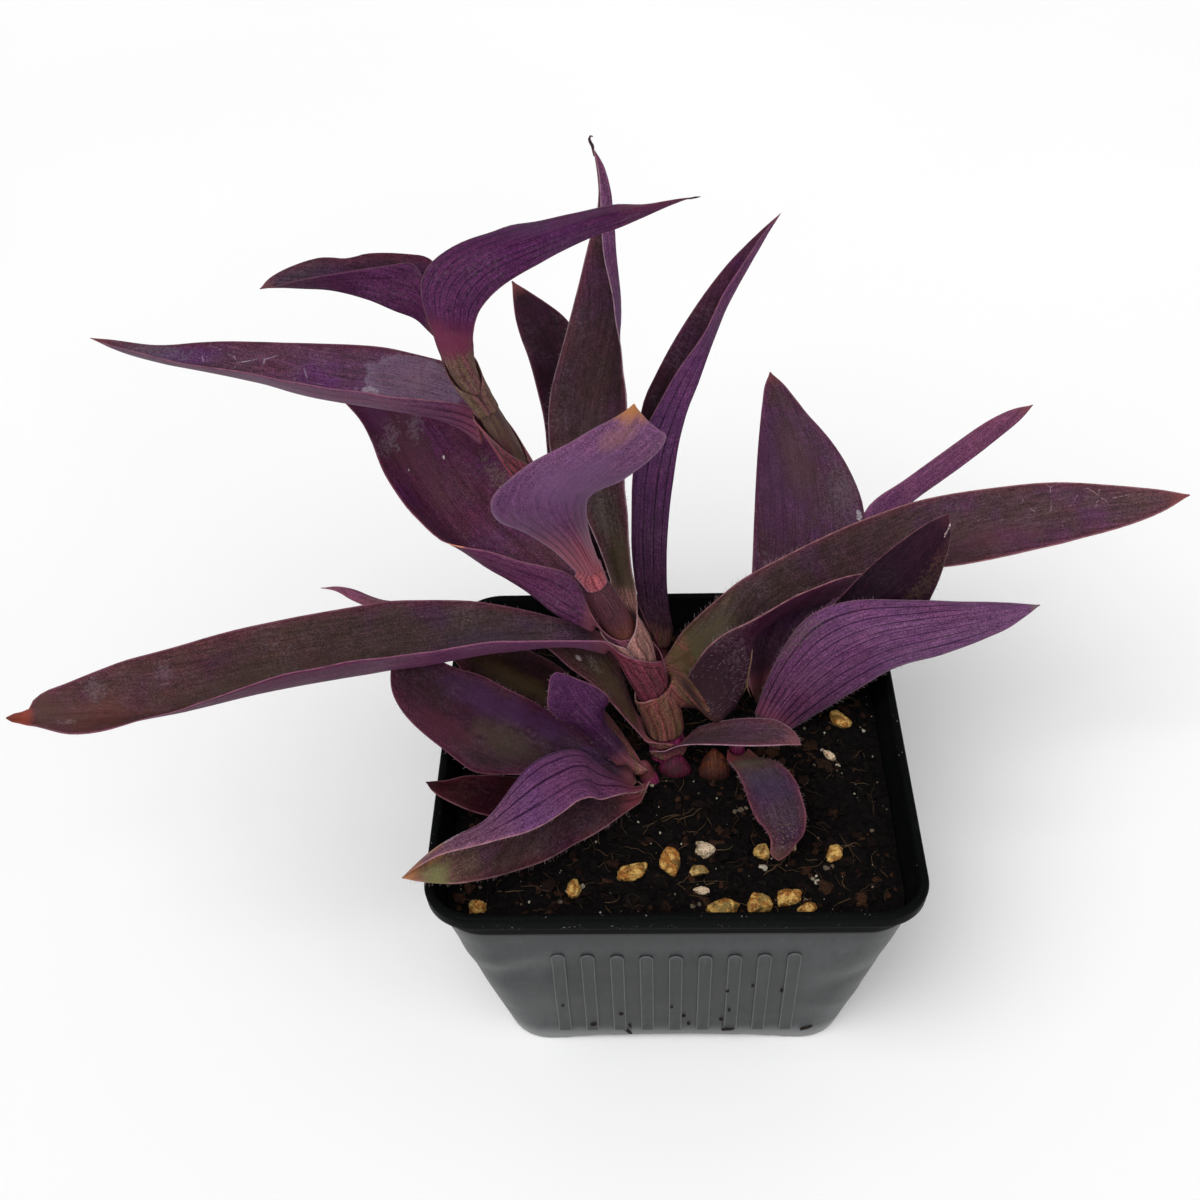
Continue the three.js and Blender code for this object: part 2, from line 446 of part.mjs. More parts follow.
// Joins the loops in order into one closed skin, with a flat cap on the first and the last.
function loft(loops) {
  const n = loops[0].length;
  const points = loops.flat();
  const faces = [];
  for (let k = 0; k + 1 < loops.length; k++)
    for (let i = 0; i < n; i++) {
      const a = k * n + i;
      const b = k * n + ((i + 1) % n);
      faces.push(a, b, b + n, a, b + n, a + n);
    }
  const cap = (loop, offset, flip) => {
    const centre = points.length;
    points.push(new THREE.Vector3(0, 0, loop[0].z));
    for (let i = 0; i < n; i++) {
      const a = offset + i;
      const b = offset + ((i + 1) % n);
      faces.push(...(flip ? [centre, b, a] : [centre, a, b]));
    }
  };
  cap(loops[0], 0, true);
  cap(loops[loops.length - 1], (loops.length - 1) * n, false);
  return indexed(points, faces);
}

const sideAt = (z) =>
  BASE_SIDE + ((BODY_TOP_SIDE - BASE_SIDE) * z) / (POT_HEIGHT - LIP_HEIGHT);
const innerSideAt = (z) => sideAt(z) - 2 * WALL;
const INNER_RIM_SIDE = RIM_SIDE - 4;

const outerLoops = () => [
  roundedSquare(BASE_SIDE - 1, BASE_CORNER, 0),
  roundedSquare(sideAt(0.8), BASE_CORNER, 0.8),
  roundedSquare(BODY_TOP_SIDE, RIM_CORNER - 0.6, POT_HEIGHT - LIP_HEIGHT),
  roundedSquare(RIM_SIDE - LIP_TAPER, RIM_CORNER, POT_HEIGHT - LIP_HEIGHT),
  roundedSquare(RIM_SIDE, RIM_CORNER, POT_HEIGHT - 0.5),
  roundedSquare(RIM_SIDE - 0.8, RIM_CORNER - 0.3, POT_HEIGHT),
];

// The arch in the middle of one side, grown by extra in every direction.
function archUnder(side, extra) {
  const long = 16;
  const arch = new THREE.CylinderGeometry(1, 1, long + extra, 24);
  arch.scale(ARCH_HALF_WIDTH + extra, 1, ARCH_RISE + extra);
  arch.translate(0, -(BASE_SIDE / 2 - ARCH_DEPTH) - (long - extra) / 2, 0);
  arch.rotateZ((side * Math.PI) / 2);
  return arch;
}

function makePot() {
  const lip = POT_HEIGHT - LIP_HEIGHT;
  const shell = loft([
    ...outerLoops(),
    roundedSquare(INNER_RIM_SIDE + 0.6, RIM_CORNER - 1.6, POT_HEIGHT),
    roundedSquare(INNER_RIM_SIDE, RIM_CORNER - 1.8, POT_HEIGHT - 0.5),
    roundedSquare(innerSideAt(lip), RIM_CORNER - 1.8, lip),
    roundedSquare(innerSideAt(FLOOR_TOP), BASE_CORNER - 1, FLOOR_TOP),
  ]);
  let pot = solidOf(shell);
  // upright ribs with round tops on all four sides
  const r = RIB_WIDTH / 2;
  const outline = new THREE.Shape();
  const slope = Math.atan((BODY_TOP_SIDE - BASE_SIDE) / 2 / lip);
  const length = (RIB_TO - RIB_FROM) / Math.cos(slope);
  outline.moveTo(-r, 0);
  outline.lineTo(r, 0);
  outline.lineTo(r, length - r);
  outline.absarc(0, length - r, r, 0, Math.PI, false);
  outline.lineTo(-r, 0);
  for (let side = 0; side < 4; side++)
    for (let k = 0; k < RIB_COUNT; k++) {
      const rib = new THREE.ExtrudeGeometry(outline, {
        depth: RIB_HEIGHT + 0.6,
        bevelEnabled: false,
        curveSegments: 3,
      });
      // the outline stands in X-Z, thickness along -Y, then leans with the wall
      rib.translate(0, 0, -0.6);
      rib.rotateX(Math.PI / 2);
      rib.rotateX(slope);
      rib.translate((k - (RIB_COUNT - 1) / 2) * RIB_PITCH, -sideAt(RIB_FROM) / 2, RIB_FROM);
      rib.rotateZ((side * Math.PI) / 2);
      pot = pot.add(solidOf(rib));
    }
  // arches under the four sides, each with its own skin standing up from the floor
  for (let side = 0; side < 4; side++) {
    pot = pot.add(solidOf(archUnder(side, ARCH_SKIN)).intersect(solidOf(loft(outerLoops()))));
    pot = pot.subtract(solidOf(archUnder(side, 0)));
  }
  // drain holes, one towards each corner
  const holes = [];
  for (const sx of [-1, 1]) for (const sy of [-1, 1]) holes.push([sx * DRAIN_OFFSET, sy * DRAIN_OFFSET]);
  for (const [x, y] of holes) {
    const drill = new THREE.CylinderGeometry(DRAIN_DIAMETER / 2, DRAIN_DIAMETER / 2, 12, 14);
    drill.rotateX(Math.PI / 2);
    drill.translate(x, y, 0);
    pot = pot.subtract(solidOf(drill));
  }
  return pot;
}

// ---------------------------------------------------------------- shoots
const curves = {};
const radii = {};
for (const [name, points] of Object.entries(SHOOTS)) {
  curves[name] = new THREE.CatmullRomCurve3(
    points.map((p) => new THREE.Vector3(p[0], p[1], p[2])),
    false,
    "centripetal",
  );
  curves[name].arcLengthDivisions = 400;
  // radius against distance along the shoot
  const stations = points.map((p, i) => curves[name].getLengths(400)[Math.round((i / (points.length - 1)) * 400)]);
  radii[name] = (s) => {
    let i = 0;
    while (i + 2 < stations.length && s > stations[i + 1]) i++;
    const t = THREE.MathUtils.clamp((s - stations[i]) / (stations[i + 1] - stations[i]), 0, 1);
    return points[i][3] + (points[i + 1][3] - points[i][3]) * t;
  };
}
const lengthOf = (name) => curves[name].getLength();
const pointAt = (name, s) =>
  curves[name].getPointAt(THREE.MathUtils.clamp(s / lengthOf(name), 0, 1));
function axisAt(name, s) {
  const total = lengthOf(name);
  return pointAt(name, Math.min(s + 0.5, total))
    .sub(pointAt(name, Math.max(s - 0.5, 0)))
    .normalize();
}

const TUBE_SIDES = 8;
function tube(name, extra = 0) {
  const total = lengthOf(name);
  const rings = Math.max(3, Math.round(total / 8) + 1);
  const points = [];
  const faces = [];
  for (let k = 0; k < rings; k++) {
    const s = (total * k) / (rings - 1);
    const axis = axisAt(name, s);
    const e1 = new THREE.Vector3(0, -1, 0).addScaledVector(axis, axis.y).normalize();
    const e2 = new THREE.Vector3().crossVectors(axis, e1);
    const centre = pointAt(name, s);
    for (let i = 0; i < TUBE_SIDES; i++) {
      const a = (i / TUBE_SIDES) * 2 * Math.PI;
      points.push(
        centre
          .clone()
          .addScaledVector(e1, (radii[name](s) + extra) * Math.cos(a))
          .addScaledVector(e2, (radii[name](s) + extra) * Math.sin(a)),
      );
    }
  }
  for (let k = 0; k + 1 < rings; k++)
    for (let i = 0; i < TUBE_SIDES; i++) {
      const a = k * TUBE_SIDES + i;
      const b = k * TUBE_SIDES + ((i + 1) % TUBE_SIDES);
      faces.push(a, b, b + TUBE_SIDES, a, b + TUBE_SIDES, a + TUBE_SIDES);
    }
  const axis0 = axisAt(name, 0);
  const low = points.length;
  points.push(pointAt(name, 0).addScaledVector(axis0, -extra));
  const high = points.length;
  points.push(pointAt(name, total));
  for (let i = 0; i < TUBE_SIDES; i++) {
    const j = (i + 1) % TUBE_SIDES;
    faces.push(low, j, i);
    faces.push(high, (rings - 1) * TUBE_SIDES + i, (rings - 1) * TUBE_SIDES + j);
  }
  return indexed(points, faces);
}

// ---------------------------------------------------------------- leaves
const ACROSS_U = Array.from({ length: ACROSS }, (_, j) => -1 + (2 * j) / (ACROSS - 1));

// A row of points around a shoot; toward is the side on which the blade leaves it.
function ring(shoot, s, toward, radius, halfAngle, drop = () => 0, rise = () => 0) {
  return ACROSS_U.map((u) => {
    const here = s - drop(u);
    const centre = pointAt(shoot, here);
    const axis = axisAt(shoot, here);
    const e1 = toward.clone().addScaledVector(axis, -toward.dot(axis)).normalize();
    const e2 = new THREE.Vector3().crossVectors(axis, e1);
    const a = THREE.MathUtils.degToRad(halfAngle) * u;
    return centre
      .addScaledVector(e1, radius * Math.cos(a))
      .addScaledVector(e2, -radius * Math.sin(a))
      .addScaledVector(axis, rise(u));
  });
}

// Moves a point out so that it stays clear of the shoot's surface.
function pushedOut(shoot, point, clear) {
  const total = lengthOf(shoot);
  let best = Infinity;
  let at = 0;
  for (let i = 0; i <= 600; i++) {
    const d = pointAt(shoot, (total * i) / 600).distanceTo(point);
    if (d < best) [best, at] = [d, (total * i) / 600];
  }
  const need = radii[shoot](at) + clear;
  if (best >= need) return point;
  const centre = pointAt(shoot, at);
  return centre.clone().addScaledVector(point.clone().sub(centre), need / best);
}

function bladeRows(rails) {
  return rails.map((r) => {
    const left = new THREE.Vector3(r[0], r[1], r[2]);
    const keel = new THREE.Vector3(r[3], r[4], r[5]);
    const right = new THREE.Vector3(r[6], r[7], r[8]);
    return ACROSS_U.map((u) =>
      keel.clone().lerp(u < 0 ? left : right, Math.abs(u) ** CHANNEL_POWER),
    );
  });
}

function leafRows(leaf) {
  const blade = bladeRows(leaf.rails);
  const keel = blade[0][(ACROSS - 1) / 2];
  const rows = [];
  if (leaf.sheath) {
    const { stem, mouth, length, radius, dip, wrap } = leaf.sheath;
    const toward = keel.clone().sub(pointAt(stem, mouth));
    const drop = (share) => (u) => dip * share * (1 - Math.abs(u));
    rows.push(ring(stem, mouth - length, toward, radius, wrap[0]));
    rows.push(ring(stem, mouth - 0.3 * length, toward, radius + 0.05, wrap[1], drop(0.6)));
    rows.push(ring(stem, mouth + 1, toward, radius + 0.5, wrap[2], drop(1)));
    rows.push(
      rows[2].map((p, j) => pushedOut(stem, p.clone().lerp(blade[0][j], 0.4), 1.25)),
    );
  }
  if (leaf.foot) {
    const { stem, height, radius, wrap, rise } = leaf.foot;
    const total = lengthOf(stem);
    let s = 0;
    while (s < total && pointAt(stem, s).z < height) s += 0.05;
    const toward = keel.clone().sub(pointAt(stem, s));
    rows.push(ring(stem, s, toward, radius, wrap, () => 0, (u) => rise * u * u));
  }
  return rows.concat(blade);
}

// Gives the sheet its thickness and closes it along the margins, the base and the tip.
function leafGeometry(leaf) {
  const rows = leafRows(leaf);
  const n = rows.length;
  const m = ACROSS;
  const before = rows[n - 2];
  const across = before[m - 1].clone().sub(before[0]).normalize();
  const tip = rows[n - 1].reduce((a, p) => a.add(p), new THREE.Vector3()).divideScalar(m);
  rows[n - 1] = ACROSS_U.map((u) => tip.clone().addScaledVector(across, 0.5 * u));
  const halfAt = (j) => (LEAF_THICKNESS / 2) * (MARGIN_SHARE + (1 - MARGIN_SHARE) * (1 - ACROSS_U[j] ** 2));
  // Where the channel closes up, the sheet is thinner, so that its two halves stay apart.
  const share = rows.map((row, i) => {
    let k = 1;
    for (let j = 0; j < (m - 1) / 2; j++)
      k = Math.min(k, (0.42 * row[j].distanceTo(row[m - 1 - j])) / halfAt(j));
    return Math.max(0.3, k) * (i === n - 1 ? 0.5 : 1);
  });
  const top = [];
  const bottom = [];
  for (let i = 0; i < n; i++)
    for (let j = 0; j < m; j++) {
      const du = rows[i][Math.min(j + 1, m - 1)].clone().sub(rows[i][Math.max(j - 1, 0)]);
      const dv = rows[Math.min(i + 1, n - 1)][j].clone().sub(rows[Math.max(i - 1, 0)][j]);
      const normal = new THREE.Vector3().crossVectors(dv, du).normalize();
      const half = halfAt(j) * share[i];
      top.push(rows[i][j].clone().addScaledVector(normal, half));
      bottom.push(rows[i][j].clone().addScaledVector(normal, -half));
    }
  const o = n * m;
  const faces = [];
  const quad = (a, b, c, d) => faces.push(a, c, b, a, d, c);
  for (let i = 0; i + 1 < n; i++)
    for (let j = 0; j + 1 < m; j++) {
      const a = i * m + j;
      const [b, c, d] = [a + 1, a + m + 1, a + m];
      quad(a, b, c, d);
      quad(o + a, o + d, o + c, o + b);
    }
  for (let i = 0; i + 1 < n; i++) {
    const a = i * m;
    const d = a + m;
    quad(a, d, o + d, o + a);
    const b = i * m + m - 1;
    const c = b + m;
    quad(b, o + b, o + c, c);
  }
  for (let j = 0; j + 1 < m; j++) {
    quad(j, o + j, o + j + 1, j + 1);
    const d = (n - 1) * m + j;
    quad(d, d + 1, o + d + 1, o + d);
  }
  return indexed(top.concat(bottom), faces);
}

// ---------------------------------------------------------------- grains and buds
const wobble = (n) => Math.sin(n * 12.9898) * 0.5 + Math.sin(n * 4.1414 + 1.3) * 0.5;

function grain(index, extra = 0) {
  const [x, y, length, width, height, turn] = GRAINS[index];
  const g = mergeVertices(
    new THREE.BufferGeometry().setAttribute(
      "position",
      new THREE.IcosahedronGeometry(1, 0).getAttribute("position"),
    ),
    1e-3,
  );
  const p = g.attributes.position;
  for (let i = 0; i < p.count; i++) {
    const k = 1 + 0.14 * wobble(index * 17 + i * 3);
    p.setXYZ(i, p.getX(i) * k, p.getY(i) * k, p.getZ(i) * k);
  }
  g.scale(length / 2 + extra, width / 2 + extra, height / 2 + extra);
  g.rotateX(0.3 * wobble(index + 5));
  g.rotateZ(THREE.MathUtils.degToRad(turn));
  g.translate(x, y, SOIL_LEVEL + 0.75);
  g.computeVertexNormals();
  return g;
}

function bud(name, extra = 0) {
  const [x, y, z, length, radius, leanX, leanY] = BUDS[name];
  const shape = [0, 0.75, 1, 0.8, 0.4, 0];
  const at = [0, 0.12, 0.38, 0.65, 0.88, 1];
  const profile = shape.map(
    (r, i) =>
      new THREE.Vector2(
        r === 0 ? 0 : r * radius + extra,
        at[i] * length + (i === 0 ? -extra : i === shape.length - 1 ? extra : 0),
      ),
  );
  const g = new THREE.LatheGeometry(profile, 9);
  g.rotateX(Math.PI / 2);
  g.rotateY(THREE.MathUtils.degToRad(leanX));
  g.rotateX(THREE.MathUtils.degToRad(leanY));
  g.translate(x, y, z);
  return g;
}

// ---------------------------------------------------------------- potting mix
const soilHeight = (x, y) =>
  SOIL_LEVEL +
  SOIL_BUMP *
    (0.45 * Math.sin(x * 0.21 + 1.1) * Math.cos(y * 0.17 - 0.4) +
      0.35 * Math.sin(x * 0.47 - y * 0.39 + 2.2) +
      0.2 * Math.cos(x * 0.83 + y * 0.71));

function makeSoil() {
  const margin = 2 * GAP;
  const block = loft([
    roundedSquare(innerSideAt(FLOOR_TOP + GAP) - margin, BASE_CORNER - 1, FLOOR_TOP + GAP),
    roundedSquare(innerSideAt(53) - margin, RIM_CORNER - 1.8, 53),
  ]);
  // a bumpy slab whose top is the surface of the mix
  const cells = 12;
  const half = RIM_SIDE / 2;
  const points = [];
  const faces = [];
  const at = (i, j, k) => k * (cells + 1) ** 2 + i * (cells + 1) + j;
  for (const level of ["top", "bottom"])
    for (let i = 0; i <= cells; i++)
      for (let j = 0; j <= cells; j++) {
        const x = -half + (2 * half * i) / cells;
        const y = -half + (2 * half * j) / cells;
        points.push(new THREE.Vector3(x, y, level === "top" ? soilHeight(x, y) : 0));
      }
  for (let i = 0; i < cells; i++)
    for (let j = 0; j < cells; j++) {
      faces.push(at(i, j, 0), at(i + 1, j, 0), at(i + 1, j + 1, 0));
      faces.push(at(i, j, 0), at(i + 1, j + 1, 0), at(i, j + 1, 0));
      faces.push(at(i, j, 1), at(i + 1, j + 1, 1), at(i + 1, j, 1));
      faces.push(at(i, j, 1), at(i, j + 1, 1), at(i + 1, j + 1, 1));
    }
  for (let i = 0; i < cells; i++) {
    const wall = (a, b) => {
      faces.push(a[0], a[1], b[1], a[0], b[1], b[0]);
    };
    wall([at(i, 0, 0), at(i, 0, 1)], [at(i + 1, 0, 0), at(i + 1, 0, 1)]);
    wall([at(i + 1, cells, 0), at(i + 1, cells, 1)], [at(i, cells, 0), at(i, cells, 1)]);
    wall([at(0, i + 1, 0), at(0, i + 1, 1)], [at(0, i, 0), at(0, i, 1)]);
    wall([at(cells, i, 0), at(cells, i, 1)], [at(cells, i + 1, 0), at(cells, i + 1, 1)]);
  }
  let soil = solidOf(block).intersect(solidOf(indexed(points, faces)));
  for (let side = 0; side < 4; side++)
    soil = soil.subtract(solidOf(archUnder(side, ARCH_SKIN + GAP)));
  for (const name of Object.keys(SHOOTS)) soil = soil.subtract(solidOf(tube(name, GAP)));
  for (const name of Object.keys(BUDS)) soil = soil.subtract(solidOf(bud(name, GAP)));
  GRAINS.forEach((_, i) => {
    soil = soil.subtract(solidOf(grain(i, GAP)));
  });
  return soil;
}

// ---------------------------------------------------------------- assembly
const plant = new THREE.Group();
function add(name, geometry, material) {
  const mesh = new THREE.Mesh(geometry, material);
  mesh.name = name;
  plant.add(mesh);
}

add("pot", geometryOf(makePot()), MATERIALS.pot);
add("potting_mix", geometryOf(makeSoil()), MATERIALS.soil);
for (const name of Object.keys(SHOOTS)) add(name, tube(name), MATERIALS.shoot);
for (const [name, leaf] of Object.entries(LEAVES))
  add(
    name,
    leafGeometry(leaf),
    UNDERSIDE_SHOWN.includes(name) ? MATERIALS.under : MATERIALS.upper,
  );
for (const name of Object.keys(BUDS)) add(name, bud(name), MATERIALS.bud);
GRAINS.forEach((_, i) =>
  add("grain_" + String(i + 1).padStart(2, "0"), grain(i), MATERIALS.grain),
);

export default plant;
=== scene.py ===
"""Potted tradescantia: leaves, shoots, potting mix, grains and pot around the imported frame.

All coordinates in the tables are millimetres in the row frame; meshes are written in metres.
"""

import math

import bpy
import numpy as np
from mathutils import Matrix, Vector
from mathutils.geometry import tessellate_polygon


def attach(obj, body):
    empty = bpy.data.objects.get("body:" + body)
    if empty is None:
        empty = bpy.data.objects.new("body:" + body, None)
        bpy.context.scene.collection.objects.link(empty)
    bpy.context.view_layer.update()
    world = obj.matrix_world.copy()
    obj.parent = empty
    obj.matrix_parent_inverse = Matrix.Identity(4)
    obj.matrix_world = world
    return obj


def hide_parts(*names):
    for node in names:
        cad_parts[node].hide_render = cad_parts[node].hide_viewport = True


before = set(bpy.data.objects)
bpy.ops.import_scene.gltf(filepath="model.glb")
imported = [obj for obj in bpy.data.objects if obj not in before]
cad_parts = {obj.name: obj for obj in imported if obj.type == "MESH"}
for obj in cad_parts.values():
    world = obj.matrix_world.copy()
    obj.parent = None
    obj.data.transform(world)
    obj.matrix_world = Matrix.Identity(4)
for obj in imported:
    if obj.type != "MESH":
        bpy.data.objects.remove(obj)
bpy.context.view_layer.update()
LEAVES = {
    "leaf_top_right": {
        "sheath": ("stem_main", 121, 1.8, 2.75, 0, (150, 148, 100)),
        "rails": (
            (-35.72, -2.35, 161.87, -39.85, -3.83, 163.74, -43.63, -0.88, 163.38),
            (-35.3, -1.98, 163.74, -39.98, -3.66, 165.98, -44.3, -0.35, 165.56),
            (-34.56, -1, 165.43, -39.94, -2.79, 168.2, -44.85, 0.95, 167.81),
            (-33.35, 0.45, 166.63, -39.25, -1.35, 170, -44.86, 2.85, 169.75),
            (-31.92, 1.9, 167.59, -38.01, 0.07, 171.48, -43.83, 4.74, 171.42),
            (-30.31, 3.29, 168.4, -36.3, 1.37, 172.65, -42.01, 6.38, 172.7),
            (-28.58, 4.6, 169.07, -34.3, 2.53, 173.53, -39.83, 7.79, 173.66),
            (-26.5, 6.06, 169.68, -31.88, 3.71, 174.19, -37.09, 9.25, 174.45),
            (-24.63, 7.63, 169.96, -29.66, 5.04, 174.42, -34.64, 10.7, 174.74),
            (-22.52, 10.02, 169.97, -27.13, 7.17, 174.33, -31.78, 12.83, 174.58),
            (-20.39, 12.87, 169.71, -24.64, 9.84, 173.96, -28.9, 15.38, 174.08),
            (-18.22, 15.99, 169.3, -22.13, 12.84, 173.41, -25.97, 18.17, 173.36),
            (-16.28, 18.76, 168.87, -19.89, 15.58, 172.87, -23.38, 20.7, 172.69),
            (-13.98, 21.78, 168.39, -17.28, 18.69, 172.27, -20.35, 23.52, 171.96),
            (-11.59, 24.52, 167.96, -14.61, 21.62, 171.74, -17.27, 26.16, 171.35),
            (-9.18, 27.2, 167.6, -11.86, 24.51, 171.15, -14.14, 28.81, 170.84),
            (-6.76, 29.94, 167.31, -9.05, 27.43, 170.45, -10.96, 31.4, 170.2),
            (-4.32, 32.71, 167.07, -6.18, 30.43, 169.69, -7.69, 33.74, 169.23),
            (-1.84, 35.46, 166.84, -3.25, 33.53, 168.91, -4.34, 36.01, 168.16),
            (1, 38.52, 166.61, 0.11, 37.1, 167.95, -0.54, 38.69, 167.18),
            (3.61, 41.08, 166.29, 3.18, 40.25, 166.92, 2.87, 41.14, 166.52),
            (6.34, 43.38, 165.74, 6.34, 43.38, 165.74, 6.34, 43.38, 165.74),
        ),
    },
    "leaf_top_left": {
        "sheath": ("stem_main", 116.5, 3.2, 3.0, 1.5, (150, 148, 100)),
        "rails": (
            (-44.16, 7.33, 160.66, -44.47, 11.56, 153.18, -44.28, 19.38, 156.05),
            (-44.69, 10.24, 160.72, -45.57, 12.57, 153.57, -44.28, 19.79, 157.75),
            (-45.29, 13.17, 161.09, -46.91, 13.67, 154.04, -44.26, 20.56, 159.52),
            (-45.93, 15.42, 161.81, -48.17, 14.73, 154.62, -44.26, 21.7, 160.84),
            (-46.56, 17.09, 162.76, -49.54, 15.58, 155.05, -44.56, 23.08, 161.8),
            (-47.46, 18.44, 163.91, -51.06, 16.26, 155.34, -45.73, 24.64, 162.61),
            (-48.78, 19.39, 164.77, -52.61, 16.88, 155.62, -47.43, 25.62, 163.06),
            (-50.48, 19.72, 164.76, -54.33, 17.63, 156.03, -49.62, 25.96, 163.23),
            (-52.12, 19.77, 164.51, -55.82, 18.3, 156.42, -51.73, 26.16, 163.37),
            (-54.1, 19.74, 164.2, -57.54, 19.05, 156.82, -54.16, 26.49, 163.38),
            (-56.1, 19.69, 163.94, -59.31, 19.76, 157.12, -56.6, 26.78, 163.27),
            (-58.05, 19.61, 163.77, -61.13, 20.47, 157.35, -59.02, 27.14, 162.91),
            (-59.8, 19.52, 163.62, -62.74, 21.12, 157.5, -61.03, 27.46, 162.2),
            (-61.86, 19.55, 163.34, -64.61, 21.91, 157.63, -63.32, 28.02, 161.6),
            (-63.97, 19.8, 162.9, -66.51, 22.68, 157.65, -65.72, 28.83, 161.45),
            (-66.15, 20.33, 162.29, -68.45, 23.38, 157.52, -68.09, 29.38, 161.2),
            (-68.4, 21.13, 161.49, -70.43, 24.09, 157.32, -70.4, 29.48, 160.63),
            (-70.73, 22.19, 160.49, -72.42, 24.83, 157.11, -72.66, 29.35, 159.98),
            (-73.1, 23.42, 159.28, -74.43, 25.61, 156.88, -74.86, 29.08, 159.28),
            (-75.84, 24.96, 157.79, -76.71, 26.43, 156.48, -77.24, 28.65, 158.32),
            (-78.33, 26.41, 156.55, -78.76, 27.11, 156.02, -79.19, 28.21, 157.14),
            (-80.82, 27.75, 155.45, -80.82, 27.75, 155.45, -80.82, 27.75, 155.45),
        ),
    },
    "leaf_long_left_high": {
        "sheath": ("stem_main", 97.1, 5.5, 3.3, 2.0, (150, 148, 100)),
        "rails": (
            (-38.01, 3.3, 142.61, -37.31, 5.36, 133.01, -37.87, 13.71, 137.68),
            (-40.55, 2.7, 143.89, -39.55, 6.23, 134.67, -39.35, 14.81, 140.06),
            (-43.58, 2, 144.94, -42.53, 7.07, 136.19, -41.34, 16.15, 142.59),
            (-46.68, 1.52, 145.7, -45.72, 7.79, 137.29, -44.03, 17.2, 144.33),
            (-49.8, 1.31, 146.32, -49.08, 8.32, 137.97, -47.36, 17.79, 145.19),
            (-52.94, 1.3, 146.8, -52.51, 8.81, 138.47, -50.8, 18.43, 145.85),
            (-56.12, 1.46, 147.14, -55.96, 9.35, 138.9, -54.28, 19.11, 146.35),
            (-59.8, 1.81, 147.37, -59.93, 10.01, 139.34, -58.34, 19.87, 146.67),
            (-63.05, 2.28, 147.48, -63.41, 10.62, 139.69, -61.94, 20.45, 146.73),
            (-66.78, 3.07, 147.67, -67.4, 11.39, 140.13, -66.09, 21.06, 146.65),
            (-70.52, 4.13, 147.96, -71.38, 12.24, 140.64, -70.27, 21.64, 146.52),
            (-74.29, 5.3, 148.24, -75.3, 13.23, 141.34, -74.46, 22.18, 146.39),
            (-77.64, 6.32, 148.39, -78.73, 14.11, 142, -78.13, 22.58, 146.3),
            (-81.52, 7.48, 148.47, -82.7, 14.96, 142.61, -82.31, 22.96, 146.23),
            (-85.44, 8.71, 148.49, -86.72, 15.77, 143.14, -86.48, 23.25, 146.18),
            (-89.41, 10.04, 148.48, -90.76, 16.55, 143.62, -90.63, 23.38, 146.11),
            (-93.44, 11.51, 148.46, -94.82, 17.33, 144.07, -94.76, 23.34, 146),
            (-97.52, 13.12, 148.41, -98.89, 18.14, 144.53, -98.86, 23.17, 145.93),
            (-101.67, 14.94, 148.33, -102.94, 19.03, 145.09, -102.9, 22.99, 146.04),
            (-106.45, 17.31, 148.2, -107.47, 20.19, 145.87, -107.38, 23.01, 146.66),
            (-110.8, 19.83, 148.06, -111.41, 21.41, 146.77, -111.32, 23.02, 147.35),
            (-115.25, 22.84, 147.91, -115.25, 22.84, 147.91, -115.25, 22.84, 147.91),
        ),
    },
    "leaf_front_upright": {
        "sheath": ("stem_main", 55.6, 3.5, 3.35, 0, (150, 148, 100)),
        "rails": (
            (-14.25, 1.48, 104.85, -15.92, -0.77, 105.9, -19.6, 2.37, 103.2),
            (-14.9, 2.29, 106.18, -16.48, -1.77, 108.53, -21.03, 1.65, 105.83),
            (-15.54, 2.91, 108.05, -17.2, -2.84, 111.46, -22.75, 0.76, 108.8),
            (-16.07, 3.12, 110.26, -17.99, -3.82, 114.24, -24.56, -0.2, 111.66),
            (-16.49, 2.89, 112.81, -18.85, -4.8, 116.93, -26.47, -1.37, 114.36),
            (-16.83, 2.16, 115.73, -19.8, -5.9, 119.6, -28.5, -2.85, 116.96),
            (-16.86, 0.93, 119.03, -20.77, -7.17, 122.33, -30.55, -4.58, 119.63),
            (-16.35, -0.98, 123.12, -21.67, -8.7, 125.6, -32.77, -6.7, 122.84),
            (-15.28, -3.26, 126.41, -22.25, -9.98, 128.56, -34.22, -8.24, 126.05),
            (-13.23, -6.2, 129.81, -22.24, -11.31, 131.84, -34.29, -9.47, 130.07),
            (-11.27, -9, 133.03, -21.3, -12.42, 134.85, -32.55, -10.64, 133.48),
            (-9.41, -11.43, 135.98, -20, -13.43, 137.36, -30.2, -11.64, 136.34),
            (-7.84, -13.27, 138.39, -18.61, -14.29, 139.26, -28.21, -12.32, 138.65),
            (-6.09, -14.92, 140.87, -16.87, -15.21, 141.26, -25.89, -13.02, 140.97),
            (-4.43, -15.81, 142.89, -15.2, -16.01, 143.15, -23.44, -13.66, 142.91),
            (-2.96, -16.34, 144.83, -13.55, -16.69, 144.9, -20.95, -14.16, 144.6),
            (-1.63, -16.53, 146.91, -11.96, -17.22, 146.56, -18.53, -14.44, 146.21),
            (-1.21, -16.65, 148.82, -10.49, -17.57, 148.23, -16.22, -14.58, 147.86),
            (-2.67, -16.61, 150.17, -9.13, -17.74, 149.97, -13.89, -14.78, 149.5),
            (-4.38, -16.34, 151.74, -7.96, -17.73, 151.98, -11.22, -15.3, 151.33),
            (-5.68, -16.36, 153.49, -7.29, -17.48, 153.83, -8.97, -16, 153.29),
            (-6.87, -17.03, 155.73, -6.87, -17.03, 155.73, -6.87, -17.03, 155.73),
        ),
    },
    "leaf_broad_left": {
        "sheath": ("stem_main", 45.9, 2.8, 3.45, 1.5, (150, 148, 100)),
        "rails": (
            (-17.06, 4.88, 90.47, -17.02, 4.88, 84.86, -16.88, 10.96, 92.28),
